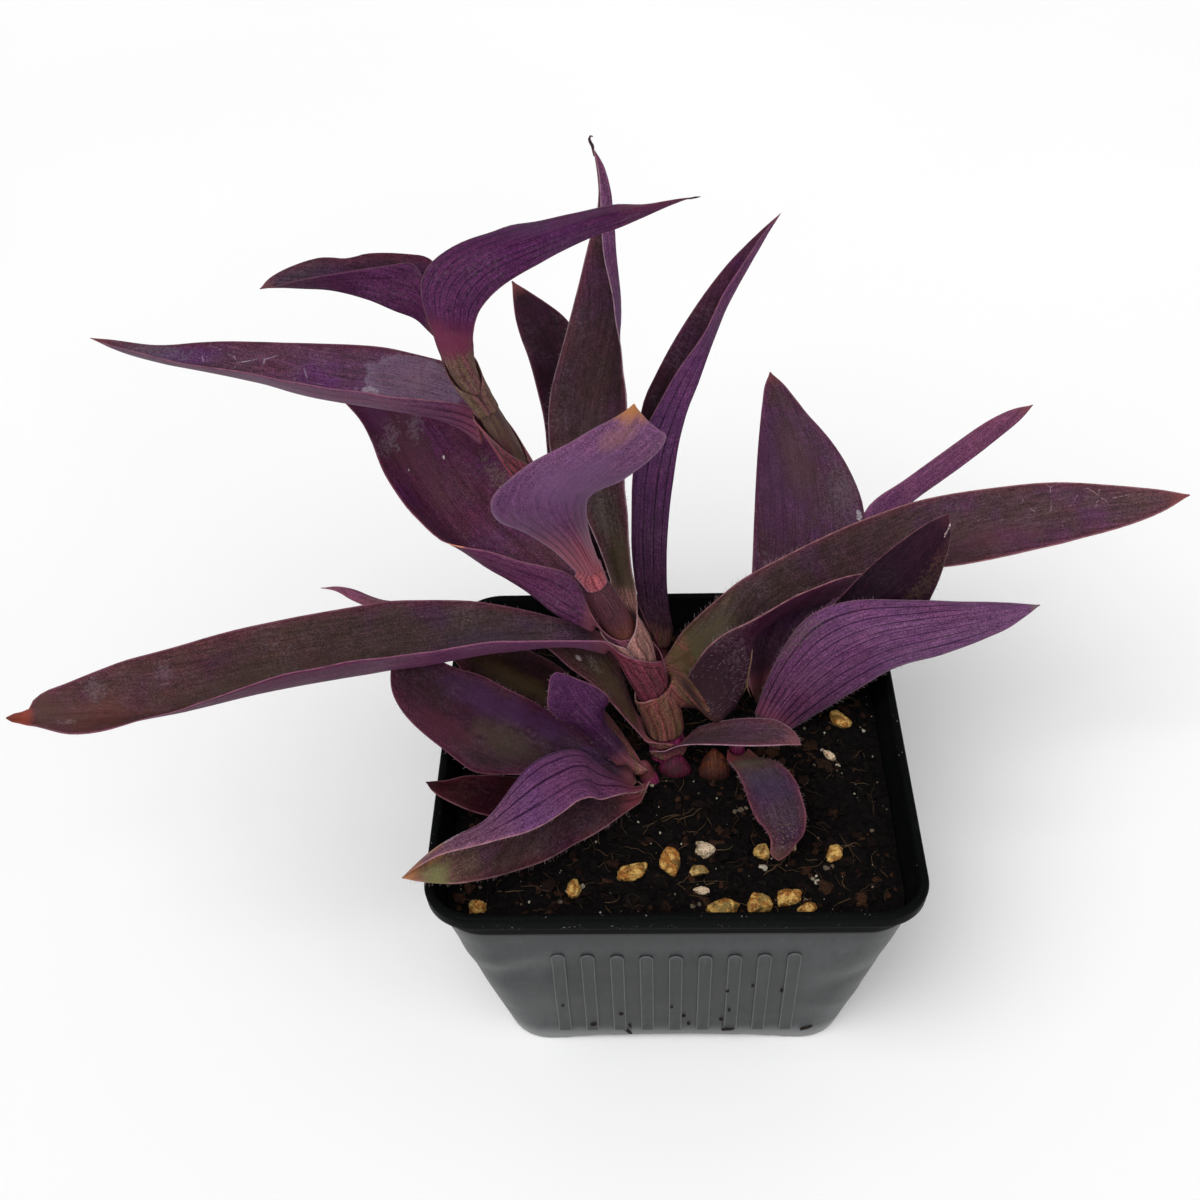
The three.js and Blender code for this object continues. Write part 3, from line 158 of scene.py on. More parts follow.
            (-18.08, 5.25, 93.75, -19.77, 5.21, 86.13, -18.28, 12.25, 94.67),
            (-19.46, 5.83, 97.38, -22.96, 5.66, 87.61, -19.91, 13.81, 97.43),
            (-21.7, 6.03, 100.16, -25.89, 6.39, 89.33, -21.54, 15.4, 100.14),
            (-24.86, 5.6, 101.88, -28.45, 7.48, 91.49, -23.25, 16.94, 102.81),
            (-28.18, 5.14, 103.24, -31.12, 8.49, 93.53, -25.07, 18.45, 105.41),
            (-31.44, 4.88, 104.43, -33.97, 9.38, 95.34, -26.99, 19.96, 107.94),
            (-35.13, 4.98, 105.76, -37.33, 10.39, 97.21, -29.25, 21.75, 110.72),
            (-38.38, 5.31, 106.72, -40.15, 11.51, 98.92, -31.23, 23.43, 113.08),
            (-42.21, 5.68, 107.33, -43.07, 13.12, 101.06, -33.45, 25.48, 115.72),
            (-45.89, 6.45, 108.1, -45.67, 14.98, 103.45, -35.62, 27.58, 118.38),
            (-49.23, 8.04, 109.62, -47.96, 16.97, 106, -37.91, 29.61, 120.97),
            (-51.86, 9.75, 111.15, -49.82, 18.8, 108.32, -40.09, 31.31, 123.15),
            (-54.58, 12.03, 113.11, -51.91, 20.9, 110.99, -42.83, 33.12, 125.49),
            (-56.9, 14.57, 115.24, -53.98, 23.01, 113.66, -45.95, 34.6, 127.44),
            (-58.87, 17.37, 117.5, -56.08, 25.13, 116.31, -49.48, 35.76, 129),
            (-60.65, 20.44, 119.76, -58.25, 27.33, 118.86, -53.25, 36.72, 130.1),
            (-62.31, 23.76, 121.95, -60.63, 29.61, 121.23, -57.22, 37.53, 130.75),
            (-64.33, 27.18, 123.92, -63.25, 31.93, 123.44, -61.3, 38.01, 130.77),
            (-67.37, 30.96, 125.69, -66.6, 34.32, 125.47, -65.95, 38.5, 130.55),
            (-70.53, 34.35, 126.94, -70.01, 36.23, 126.92, -69.93, 38.62, 129.84),
            (-73.76, 37.94, 128.09, -73.76, 37.94, 128.09, -73.76, 37.94, 128.09),
        ),
    },
    "leaf_tall": {
        "sheath": ("stem_main", 41.6, 2.6, 3.9, 0, (125, 105, 60)),
        "rails": (
            (-12.81, 12.45, 92.86, -11.55, 16.65, 88.76, -7.58, 12.86, 91.14),
            (-13.9, 14.91, 95.32, -12.32, 19.13, 91.31, -8.28, 15.26, 93.66),
            (-15.31, 17.47, 98.39, -13.18, 21.64, 94.6, -8.63, 17.66, 96.99),
            (-16.9, 19.85, 101.52, -13.95, 23.87, 98.11, -8.85, 19.76, 100.57),
            (-18.65, 22.21, 104.6, -14.59, 26.02, 101.69, -9.12, 21.72, 104.22),
            (-20.72, 24.65, 107.48, -15.18, 28.25, 105.22, -9.47, 23.73, 107.82),
            (-23.27, 27.3, 110.07, -15.6, 30.72, 108.58, -9.58, 25.97, 111.24),
            (-25.37, 30.76, 112.86, -15.62, 33.86, 112.21, -9.42, 28.85, 114.92),
            (-25.85, 34.23, 115.43, -15.34, 36.82, 115.27, -9.24, 31.59, 117.99),
            (-25.93, 38.51, 118.5, -14.81, 40.35, 118.63, -9.07, 34.94, 121.38),
            (-25.38, 42.8, 121.49, -13.89, 44, 121.87, -9.2, 38.49, 124.64),
            (-24.22, 46.87, 124.56, -12.78, 47.73, 125.05, -9.69, 42.21, 127.81),
            (-23.05, 50.21, 127.35, -11.77, 51.03, 127.82, -10.18, 45.6, 130.52),
            (-21.75, 54.06, 130.56, -10.62, 54.85, 131, -10.78, 49.62, 133.56),
            (-20.49, 58.04, 133.73, -10.22, 58.82, 134.2, -11.51, 53.88, 136.48),
            (-19.23, 62.19, 136.85, -10.29, 62.99, 137.4, -12.47, 58.42, 139.26),
            (-18.08, 66.48, 139.95, -10.49, 67.32, 140.55, -13.49, 63.23, 141.93),
            (-16.87, 70.66, 143.13, -10.82, 71.8, 143.66, -13.92, 68.36, 144.6),
            (-15.49, 75.02, 146.07, -11.18, 76.43, 146.73, -14.08, 73.63, 147.41),
            (-14.83, 80.37, 149.31, -11.93, 81.78, 150.15, -14.35, 79.71, 150.67),
            (-15.19, 85.51, 152.35, -13.4, 86.54, 153.04, -15.01, 85.33, 153.32),
            (-16.04, 91.07, 155.55, -16.04, 91.07, 155.55, -16.04, 91.07, 155.55),
        ),
    },
    "leaf_back_left": {
        "foot": ("stem_back", 55.0, 2.9, 60, 0.8),
        "rails": (
            (-8.75, 30.01, 63.36, -6.56, 33.67, 60.56, -4.53, 30.87, 63.32),
            (-10.91, 30.81, 65.98, -8.38, 34.92, 63.2, -5.9, 31.82, 66.63),
            (-13.24, 31.84, 69.07, -10.32, 36.43, 66.32, -7.37, 33.06, 70.39),
            (-15.29, 33, 72.19, -12.02, 38.02, 69.46, -8.65, 34.46, 74.06),
            (-17.04, 34.3, 75.35, -13.47, 39.68, 72.65, -9.75, 36.03, 77.62),
            (-18.58, 35.78, 78.55, -14.73, 41.44, 75.88, -10.72, 37.76, 81.1),
            (-19.97, 37.42, 81.76, -15.86, 43.28, 79.12, -11.61, 39.66, 84.47),
            (-21.46, 39.44, 85.36, -17.07, 45.45, 82.81, -12.54, 42.03, 88.19),
            (-22.77, 41.32, 88.39, -18.13, 47.39, 85.99, -13.34, 44.25, 91.33),
            (-24.38, 43.59, 91.74, -19.37, 49.64, 89.55, -14.25, 46.95, 94.79),
            (-25.95, 46, 95, -20.57, 51.91, 93.11, -15.06, 49.79, 98.16),
            (-27.13, 48.57, 98.22, -21.56, 54.21, 96.66, -15.63, 52.75, 101.5),
            (-27.65, 50.96, 101.03, -22.16, 56.27, 99.8, -15.96, 55.43, 104.4),
            (-27.96, 53.87, 104.24, -22.65, 58.66, 103.39, -16.36, 58.55, 107.68),
            (-28.61, 56.83, 107.36, -23.2, 61.06, 106.97, -16.93, 61.69, 110.96),
            (-29.6, 59.84, 110.42, -23.99, 63.45, 110.5, -17.74, 64.83, 114.23),
            (-30.64, 62.89, 113.44, -25.02, 65.83, 113.98, -18.93, 67.81, 117.39),
            (-31.82, 65.91, 116.45, -26.33, 68.15, 117.34, -20.94, 70.57, 120.44),
            (-33.35, 68.82, 119.44, -28.11, 70.38, 120.55, -23.71, 72.67, 123.17),
            (-34.61, 71.82, 123.01, -30.49, 72.82, 124.03, -27.71, 74.35, 125.76),
            (-35.09, 74.39, 126.41, -32.78, 74.96, 126.99, -31.47, 75.72, 127.87),
            (-35.27, 77.06, 129.85, -35.27, 77.06, 129.85, -35.27, 77.06, 129.85),
        ),
    },
    "leaf_back_right": {
        "foot": ("stem_back", 57.0, 2.4, 70, 0.8),
        "rails": (
            (-3.49, 35.78, 60.97, 0.73, 32.27, 62.61, -5.72, 32.28, 65.63),
            (-4.15, 37.7, 64.48, 0.1, 33.73, 66.31, -6.96, 34.11, 69.06),
            (-4.75, 40.05, 68.61, -0.14, 35.62, 70.53, -7.84, 36.19, 73.12),
            (-5.22, 42.43, 72.74, -0.12, 37.7, 74.59, -8.35, 38.34, 77.21),
            (-5.59, 44.83, 76.85, -0.06, 39.95, 78.48, -8.56, 40.53, 81.28),
            (-5.85, 47.31, 80.86, 0.11, 42.39, 82.21, -8.49, 42.72, 85.31),
            (-6.03, 49.89, 84.75, 0.47, 45.01, 85.77, -8.35, 44.98, 89.31),
            (-6.25, 52.92, 89.06, 1.13, 48.26, 89.62, -8.16, 47.83, 93.7),
            (-6.46, 55.73, 92.72, 1.92, 51.39, 92.75, -7.66, 50.7, 97.25),
            (-6.53, 59.14, 96.86, 2.85, 55.28, 96.14, -6.24, 54.3, 100.8),
            (-6.25, 62.62, 101.05, 3.83, 59.41, 99.4, -3.93, 58.04, 103.66),
            (-4.89, 66.1, 105.02, 5.16, 63.62, 102.48, -1.48, 61.87, 106.39),
            (-2.78, 69.41, 108, 6.84, 67.27, 105.06, 0.8, 65.14, 108.9),
            (-0.25, 73.54, 111.04, 8.75, 71.45, 108.07, 3.67, 68.77, 111.72),
            (2.49, 77.71, 113.94, 10.45, 75.73, 111.15, 6.84, 72.44, 114.35),
            (5.46, 81.93, 116.72, 12.33, 80.09, 114.14, 9.66, 76.5, 117.02),
            (8.61, 86.25, 119.36, 14.48, 84.52, 117.02, 12.1, 81.02, 119.78),
            (11.99, 90.86, 121.74, 16.97, 88.99, 119.75, 14.94, 85.74, 122.24),
            (15.66, 95.6, 123.87, 19.77, 93.5, 122.33, 18.08, 90.72, 124.46),
            (20.19, 100.7, 126.09, 22.94, 98.71, 125.22, 21.54, 96.82, 126.89),
            (24.4, 104.83, 128.13, 25.8, 103.47, 127.78, 24.84, 102.53, 128.81),
            (28.78, 108.3, 130.29, 28.78, 108.3, 130.29, 28.78, 108.3, 130.29),
        ),
    },
    "leaf_right_upright": {
        "foot": ("stem_right", 52.0, 2.9, 42, 0.8),
        "rails": (
            (19.88, 17, 60.77, 23.15, 22.86, 55.92, 25.4, 17.89, 61.41),
            (19.57, 18.91, 62.53, 23.54, 24.99, 57.65, 26.58, 19.97, 63.34),
            (19.27, 21.34, 64.43, 24.06, 27.48, 59.62, 28.13, 22.52, 65.26),
            (19.04, 24.01, 66.15, 24.74, 29.97, 61.53, 30.05, 25.19, 66.79),
            (18.86, 26.88, 67.73, 25.9, 32.43, 63.34, 32.56, 27.92, 67.94),
            (18.75, 29.93, 69.19, 27.41, 34.89, 65.08, 35.41, 30.77, 68.87),
            (18.82, 33.12, 70.56, 28.93, 37.4, 66.83, 38.22, 33.81, 69.77),
            (19.16, 36.94, 72.03, 30.37, 40.37, 68.87, 41.17, 37.57, 70.91),
            (19.53, 40.38, 73.28, 31.56, 43.07, 70.68, 43.78, 41.05, 72.03),
            (19.9, 44.36, 74.72, 32.71, 46.24, 72.77, 46.12, 45.15, 73.5),
            (20.25, 48.33, 76.21, 33.29, 49.45, 74.91, 46.95, 49.33, 75.31),
            (20.58, 52.22, 77.82, 33.37, 52.72, 77.11, 47.04, 53.46, 77.54),
            (20.86, 55.38, 79.45, 33.32, 55.6, 79.07, 46.77, 56.68, 79.77),
            (21.14, 58.64, 81.59, 33.17, 58.88, 81.32, 45.64, 60.16, 82.3),
            (21.43, 61.88, 83.77, 32.85, 62.17, 83.59, 44.02, 63.53, 84.73),
            (21.76, 65.14, 85.96, 32.35, 65.46, 85.85, 42.05, 66.77, 87.07),
            (22.13, 68.42, 88.15, 31.67, 68.72, 88.07, 39.73, 69.55, 89.52),
            (22.57, 71.68, 90.38, 30.59, 71.93, 90.24, 37.05, 71.97, 91.91),
            (23.04, 74.71, 92.78, 29.31, 75.14, 92.39, 34.21, 74.4, 94.17),
            (23.62, 78.16, 95.47, 28, 78.8, 94.85, 31.36, 77.69, 96.68),
            (24.26, 81.58, 97.64, 26.87, 82.08, 97.06, 28.79, 81.22, 98.43),
            (25.77, 85.4, 99.28, 25.77, 85.4, 99.28, 25.77, 85.4, 99.28),
        ),
    },
    "leaf_right_narrow": {
        "foot": ("stem_right", 51.2, 3.0, 22, 0.3),
        "rails": (
            (27.71, 22.47, 52.05, 27.74, 19.52, 54, 26.38, 19.26, 57.48),
            (29.54, 26.38, 52.52, 29.61, 22.78, 54.87, 28.09, 21.83, 59.11),
            (31.68, 30.84, 53.24, 31.82, 26.55, 55.97, 30.07, 24.94, 60.96),
            (33.84, 35.14, 54.15, 34.04, 30.26, 57.16, 32.05, 28.18, 62.74),
            (36, 39.31, 55.25, 36.29, 33.91, 58.44, 34.02, 31.54, 64.47),
            (38.18, 43.4, 56.45, 38.56, 37.59, 59.74, 36.01, 35.09, 66.1),
            (40.37, 47.4, 57.79, 40.86, 41.25, 61.08, 38, 38.79, 67.65),
            (42.83, 51.57, 59.7, 43.47, 45.14, 62.9, 40.25, 42.9, 69.6),
            (44.91, 54.7, 61.85, 45.68, 48.12, 64.9, 42.14, 46.21, 71.62),
            (47.13, 58, 64.72, 48.1, 51.32, 67.49, 44.1, 49.99, 74.25),
            (49.34, 61.08, 67.76, 50.56, 54.38, 70.15, 46.05, 53.75, 76.9),
            (51.87, 63.73, 70.58, 53.27, 57.18, 72.65, 48.48, 57.12, 79.06),
            (54.71, 65.59, 72.67, 56.07, 59.36, 74.56, 51.54, 59.61, 80.35),
            (58.59, 67.41, 74.77, 59.73, 61.66, 76.5, 55.79, 62.24, 81.53),
            (62.45, 69.15, 76.88, 63.53, 63.85, 78.29, 59.87, 64.94, 82.84),
            (66.27, 70.83, 79.02, 67.42, 65.94, 79.98, 63.86, 67.62, 84.27),
            (70.09, 72.43, 81.17, 71.33, 68.01, 81.67, 67.86, 70.2, 85.77),
            (73.92, 73.97, 83.33, 75.15, 70.14, 83.49, 71.86, 72.68, 87.37),
            (77.75, 75.45, 85.49, 78.9, 72.3, 85.39, 75.88, 74.99, 89.02),
            (81.97, 77.11, 88.03, 83.14, 74.7, 87.54, 80.57, 77.19, 90.71),
            (85.71, 78.5, 90.28, 86.64, 76.98, 89.7, 84.99, 78.65, 91.87),
            (89.69, 79.53, 92.28, 89.69, 79.53, 92.28, 89.69, 79.53, 92.28),
        ),
    },
    "leaf_long_right": {
        "sheath": ("stem_main", 23.1, 7.8, 4.65, 5.5, (150, 148, 94)),
        "rails": (
            (3.41, 20.78, 71.87, 11.16, 3.8, 59.2, 4.41, 9.31, 71.85),
            (6.81, 22.37, 74.75, 14.45, 6.72, 61.01, 7.79, 12.21, 73.51),
            (10.96, 24.26, 77.85, 16.7, 10.9, 63.77, 11.99, 14.45, 75.76),
            (15.32, 27.09, 80.03, 17.68, 15.65, 66.78, 16.48, 16.07, 77.16),
            (20.33, 30.26, 81.22, 19.46, 20.38, 69.44, 20.54, 17.84, 78.62),
            (25.36, 33.36, 81.95, 23.68, 23.99, 70.61, 24.96, 19.94, 80.11),
            (30.34, 36.39, 82.6, 28.96, 26.9, 71.07, 29.79, 22.06, 81.18),
            (36.14, 39.79, 83.27, 35.16, 30, 71.35, 35.58, 24.59, 81.79),
            (41.33, 42.7, 83.74, 40.63, 32.71, 71.63, 40.88, 26.8, 81.72),
            (47.38, 45.85, 84.18, 46.74, 35.95, 72.36, 47.14, 28.97, 80.84),
            (53.54, 48.68, 84.68, 52.67, 39.25, 73.66, 53.55, 31.01, 79.72),
            (59.81, 51.03, 84.99, 58.65, 42.35, 75.1, 60, 33.18, 78.71),
            (65.41, 52.8, 84.98, 64.01, 44.86, 76.16, 65.71, 35.27, 77.88),
            (71.92, 54.56, 84.84, 70.39, 47.21, 76.89, 72.28, 37.83, 77.09),
            (78.43, 55.99, 84.69, 76.95, 49.12, 77.45, 78.86, 40.36, 76.55),
            (84.89, 57.04, 84.71, 83.54, 50.6, 78.04, 85.41, 42.65, 76.31),
            (91.27, 57.51, 84.75, 90.05, 51.64, 78.73, 91.89, 44.6, 76.41),
            (97.59, 57.47, 84.52, 96.55, 52.43, 79.4, 98.29, 46.41, 76.79),
            (103.88, 57.16, 84.11, 103.05, 53.07, 79.99, 104.63, 48.21, 77.44),
            (110.89, 56.61, 83.66, 110.36, 53.58, 80.55, 111.64, 50.25, 78.58),
            (117.04, 55.87, 83.21, 116.78, 54.02, 81.25, 117.54, 52.26, 80.17),
            (123.04, 54.7, 82.5, 123.04, 54.7, 82.5, 123.04, 54.7, 82.5),
        ),
    },
    "leaf_right_dark": {
        "foot": ("stem_right", 51.6, 2.9, 32, 0.4),
        "rails": (
            (28.04, 16.31, 53.45, 25.69, 14.7, 55.61, 23.81, 17.13, 54.25),
            (29.56, 17.28, 55.03, 26.79, 15.34, 57.58, 24.63, 18.12, 56.21),
            (31.4, 18.21, 56.88, 28.14, 16.02, 59.81, 25.66, 19.2, 58.49),
            (33.32, 18.91, 58.69, 29.56, 16.64, 61.97, 26.78, 20.18, 60.74),
            (35.3, 19.36, 60.44, 31.06, 17.19, 64.05, 27.96, 21.06, 62.98),
            (37.34, 19.58, 62.11, 32.61, 17.67, 66.06, 29.21, 21.84, 65.2),
            (39.5, 19.57, 63.66, 34.25, 18.07, 67.98, 30.53, 22.51, 67.4),
            (42.16, 19.3, 65.32, 36.29, 18.42, 70.07, 32.21, 23.12, 69.88),
            (44.53, 18.94, 66.78, 38.18, 18.62, 71.85, 33.82, 23.51, 72.04),
            (47.18, 18.51, 68.54, 40.34, 18.82, 73.89, 35.75, 23.84, 74.52),
            (49.74, 18.17, 70.44, 42.44, 19.03, 75.95, 37.67, 24.09, 77.02),
            (52.26, 17.97, 72.41, 44.51, 19.28, 77.98, 39.54, 24.33, 79.53),
            (54.13, 18.01, 74.24, 46.31, 19.56, 79.71, 41.13, 24.56, 81.7),
            (55.74, 18.52, 76.66, 48.3, 20, 81.66, 42.98, 24.84, 84.11),
            (57.04, 19.42, 79.34, 50.2, 20.55, 83.64, 44.9, 25.09, 86.39),
            (58.2, 20.42, 81.97, 52.02, 21.19, 85.67, 46.91, 25.28, 88.57),
            (59.26, 21.5, 84.55, 53.77, 21.89, 87.72, 48.98, 25.46, 90.66),
            (60.12, 22.66, 87.14, 55.46, 22.65, 89.78, 51.09, 25.65, 92.63),
            (60.8, 23.85, 89.77, 57.14, 23.47, 91.84, 53.23, 25.91, 94.52),
            (61.32, 25.15, 92.83, 58.77, 24.51, 94.21, 55.74, 26.25, 96.4),
            (61.26, 26.13, 95.7, 59.85, 25.6, 96.44, 58.13, 26.58, 97.71),
            (60.67, 26.84, 98.76, 60.67, 26.84, 98.76, 60.67, 26.84, 98.76),
        ),
    },
    "leaf_right_purple": {
        "foot": ("stem_right", 51.2, 4.1, 50, 0.8),
        "rails": (
            (29.24, 11.27, 51.27, 24.82, 10.05, 55.58, 21.26, 14.39, 54.33),
            (31.06, 10.93, 53.25, 26.04, 10.04, 58.41, 22.06, 14.75, 57.7),
            (33.23, 10.53, 55.44, 27.57, 10.04, 61.56, 22.94, 15.25, 61.54),
            (35.39, 10.2, 57.55, 29.24, 10.09, 64.5, 23.93, 15.83, 65.2),
            (37.52, 9.99, 59.59, 31.06, 10.16, 67.18, 25.23, 16.46, 68.6),
            (39.64, 9.89, 61.52, 33.04, 10.26, 69.58, 26.76, 17.18, 71.78),
            (41.78, 9.81, 63.36, 35.18, 10.35, 71.77, 28.5, 17.89, 74.73),
            (44.23, 9.66, 65.46, 37.74, 10.28, 74.06, 31.07, 18.31, 77.57),
            (46.38, 9.53, 67.24, 40.06, 10.14, 75.83, 33.82, 18.34, 79.49),
            (48.89, 9.46, 69.02, 42.87, 10.06, 77.53, 37.22, 18.19, 81.03),
            (51.53, 9.54, 70.32, 45.8, 10.16, 78.72, 40.77, 18.04, 81.86),
            (54.32, 9.87, 71.12, 48.85, 10.5, 79.33, 44.42, 18.06, 82.05),
            (56.84, 10.24, 71.64, 51.59, 10.88, 79.6, 47.64, 18.06, 81.88),
            (59.72, 10.68, 72.21, 54.76, 11.32, 79.84, 51.33, 18.07, 81.66),
            (62.56, 11.18, 72.85, 57.94, 11.8, 80.04, 55.02, 18.12, 81.48),
            (65.34, 11.77, 73.6, 61.12, 12.31, 80.2, 58.7, 18.16, 81.32),
            (68.09, 12.43, 74.46, 64.31, 12.85, 80.34, 62.38, 18.16, 81.19),
            (70.79, 13.15, 75.42, 67.51, 13.46, 80.48, 66.04, 18.09, 81.06),
            (73.45, 14.06, 76.37, 70.75, 14.3, 80.51, 69.73, 18.08, 80.83),
            (76.41, 15.44, 77.4, 74.5, 15.59, 80.31, 73.92, 18.22, 80.4),
            (78.96, 16.86, 78.38, 77.91, 16.94, 79.96, 77.66, 18.35, 79.95),
            (81.37, 18.37, 79.54, 81.37, 18.37, 79.54, 81.37, 18.37, 79.54),
        ),
    },
    "leaf_low_right_small": {
        "foot": ("stem_main", 51.8, 4.5, 92, 0.8),
        "rails": (
            (3.42, 2.77, 55.21, 1.09, -0.18, 54.95, -1.35, -3.66, 57.48),
            (4.22, 3.22, 55.9, 2.05, -0.17, 55.68, -0.32, -4.12, 58.58),
            (5.19, 3.62, 56.64, 3.19, -0.18, 56.49, 0.9, -4.67, 59.7),
            (6.23, 3.85, 57.28, 4.34, -0.25, 57.23, 2.14, -5.23, 60.61),
            (7.35, 3.93, 57.84, 5.5, -0.38, 57.87, 3.4, -5.78, 61.34),
            (8.55, 3.92, 58.36, 6.68, -0.57, 58.41, 4.67, -6.3, 61.93),
            (9.8, 3.82, 58.86, 7.88, -0.8, 58.9, 5.94, -6.79, 62.39),
            (11.23, 3.62, 59.4, 9.27, -1.07, 59.42, 7.39, -7.27, 62.8),
            (12.45, 3.4, 59.88, 10.5, -1.31, 59.84, 8.66, -7.62, 63.07),
            (13.86, 3.1, 60.43, 11.91, -1.6, 60.28, 10.1, -7.94, 63.31),
            (15.26, 2.75, 60.96, 13.31, -1.91, 60.69, 11.55, -8.19, 63.45),
            (16.66, 2.33, 61.46, 14.71, -2.23, 61.07, 13, -8.38, 63.52),
            (17.88, 1.91, 61.85, 15.92, -2.5, 61.4, 14.27, -8.49, 63.55),
            (19.28, 1.39, 62.28, 17.31, -2.82, 61.75, 15.73, -8.55, 63.55),
            (20.67, 0.84, 62.68, 18.7, -3.14, 62.1, 17.19, -8.55, 63.53),
            (22.02, 0.26, 63.06, 20.07, -3.46, 62.42, 18.65, -8.51, 63.46),
            (23.32, -0.48, 63.25, 21.44, -3.79, 62.71, 20.12, -8.42, 63.36),
            (24.53, -1.42, 63.23, 22.82, -4.2, 62.9, 21.6, -8.27, 63.24),
            (25.63, -2.48, 63.11, 24.18, -4.7, 62.94, 23.08, -8.04, 63.11),
            (26.69, -3.86, 62.86, 25.59, -5.34, 62.88, 24.75, -7.73, 62.89),
            (27.34, -5.25, 62.6, 26.72, -6.08, 62.61, 26.25, -7.43, 62.53),
            (27.76, -6.97, 62.14, 27.76, -6.97, 62.14, 27.76, -6.97, 62.14),
        ),
    },
    "leaf_low_front_small": {
        "foot": ("stem_front", 52.0, 2.4, 70, 0.8),
        "rails": (
            (19.28, -3, 54.56, 15.38, -4.06, 55.12, 12.16, -3.3, 54.06),
            (20.23, -4.79, 56.05, 15.97, -6.21, 56.41, 12.74, -5.37, 55.21),
            (21.28, -6.87, 57.67, 16.62, -8.64, 57.82, 13.31, -7.76, 56.44),
            (22.29, -8.94, 59.01, 17.21, -10.94, 59.06, 13.77, -10.08, 57.47),
            (23.25, -10.93, 60.06, 17.76, -13.08, 60.06, 14.18, -12.26, 58.29),
            (24.08, -12.76, 60.82, 18.29, -15, 60.8, 14.55, -14.23, 58.86),
            (24.82, -14.48, 61.28, 18.8, -16.71, 61.3, 14.88, -16, 59.24),
            (25.53, -16.48, 61.61, 19.33, -18.6, 61.79, 15.18, -17.97, 59.61),
            (25.97, -18.24, 61.83, 19.78, -20.21, 62.17, 15.4, -19.68, 59.9),
            (26.3, -20.24, 62, 20.26, -22.01, 62.53, 15.67, -21.58, 60.2),
            (26.55, -22.21, 62.05, 20.68, -23.74, 62.8, 15.99, -23.41, 60.45),
            (26.81, -24.08, 62.02, 21.05, -25.38, 62.95, 16.35, -25.13, 60.64),
            (27.06, -25.59, 61.89, 21.35, -26.7, 62.96, 16.72, -26.52, 60.72),
            (27.19, -27, 61.38, 21.67, -27.91, 62.6, 17.29, -27.72, 60.54),
            (27.12, -28.05, 60.44, 21.96, -28.72, 61.82, 18.07, -28.49, 60.01),
            (26.99, -28.82, 59.24, 22.23, -29.29, 60.73, 18.86, -29, 59.21),
            (26.55, -29.37, 58.02, 22.46, -29.72, 59.48, 19.48, -29.45, 58.19),
            (25.67, -29.86, 56.88, 22.57, -30.14, 58.21, 19.88, -29.97, 57.07),
            (24.78, -30.46, 55.85, 22.47, -30.65, 57.04, 19.89, -30.64, 56.01),
            (23.83, -31.25, 54.79, 22.21, -31.29, 55.81, 19.81, -31.42, 54.97),
            (22.85, -31.83, 54.03, 21.93, -31.81, 54.67, 20.38, -31.92, 54.19),
            (21.61, -32.28, 53.5, 21.61, -32.28, 53.5, 21.61, -32.28, 53.5),
        ),
    },
    "leaf_long_left": {
        "sheath": ("stem_main", 34.7, 8.6, 4.3, 3.0, (150, 148, 100)),
        "rails": (
            (-14.43, 0.05, 86.36, -14.31, 5.19, 78.44, -15.28, 11.36, 78.96),
            (-19.2, -0.83, 87.28, -19.06, 5.43, 79.71, -19.89, 11.7, 81.31),
            (-24.74, -1.87, 88.2, -24.71, 5.17, 80.53, -25.5, 11.64, 83.45),
            (-30.24, -2.86, 89.01, -30.36, 4.4, 80.73, -31.14, 11.54, 85.42),
            (-35.72, -3.84, 89.67, -35.96, 3.39, 80.63, -36.78, 11.36, 87.21),
            (-41.15, -4.89, 90.07, -41.54, 2.33, 80.47, -42.45, 11.01, 88.68),
            (-46.55, -6.05, 90.17, -47.08, 1.2, 80.23, -48.16, 10.31, 89.64),
            (-52.7, -7.31, 90.12, -53.39, -0.05, 79.98, -54.67, 9.41, 90.46),
            (-58.08, -8.31, 90.01, -58.94, -0.96, 79.95, -60.35, 8.59, 91.01),
            (-64.26, -9.24, 89.92, -65.27, -2.25, 79.46, -66.81, 7.21, 90.83),
            (-70.48, -10.2, 89.42, -71.59, -3.45, 79.17, -73.26, 5.86, 90.59),
            (-76.69, -11.11, 88.81, -77.86, -4.66, 78.93, -79.66, 4.53, 90.26),
            (-82.04, -12.06, 87.95, -83.28, -5.79, 78.71, -85.17, 3.27, 89.89),
            (-88.03, -13.46, 86.53, -89.36, -7.22, 78.46, -91.36, 1.7, 89.51),
            (-93.93, -14.95, 85.21, -95.32, -8.87, 78.17, -97.42, -0.13, 88.98),
            (-99.81, -16.31, 84.04, -101.23, -10.54, 78.0, -103.3, -2.21, 88.43),
            (-105.69, -17.52, 83.02, -107.14, -12.13, 78.02, -108.97, -3.98, 87.93),
            (-111.58, -18.67, 81.96, -113.11, -13.18, 78.6, -114.59, -5.68, 87.41),
            (-117.68, -19.53, 80.69, -119.12, -14.01, 79.41, -120.38, -7.9, 86.42),
            (-124.91, -19.48, 80.18, -125.84, -15.08, 80.1, -127.12, -10.67, 85.16),
            (-128.09, -18.89, 80.49, -128.81, -15.5, 80.49, -129.81, -11.73, 84.73),
            (-131.28, -18.31, 80.8, -131.77, -15.91, 80.88, -132.51, -13.51, 83.59),
            (-133.14, -18.32, 81.1, -133.34, -16.12, 81.1, -133.34, -14.82, 82.4),
            (-134.42, -18.0, 81.25, -134.42, -16.3, 81.15, -134.42, -15.3, 82.2),
            (-136.15, -17.7, 81.45, -136.15, -16.5, 81.4, -136.15, -15.8, 82.15),
            (-137.67, -16.69, 81.7, -137.67, -16.69, 81.7, -137.67, -16.69, 81.7),
        ),
    },
    "leaf_low_left_back": {
        "foot": ("stem_left", 51.0, 3.6, 22, 0.3),
        "rails": (
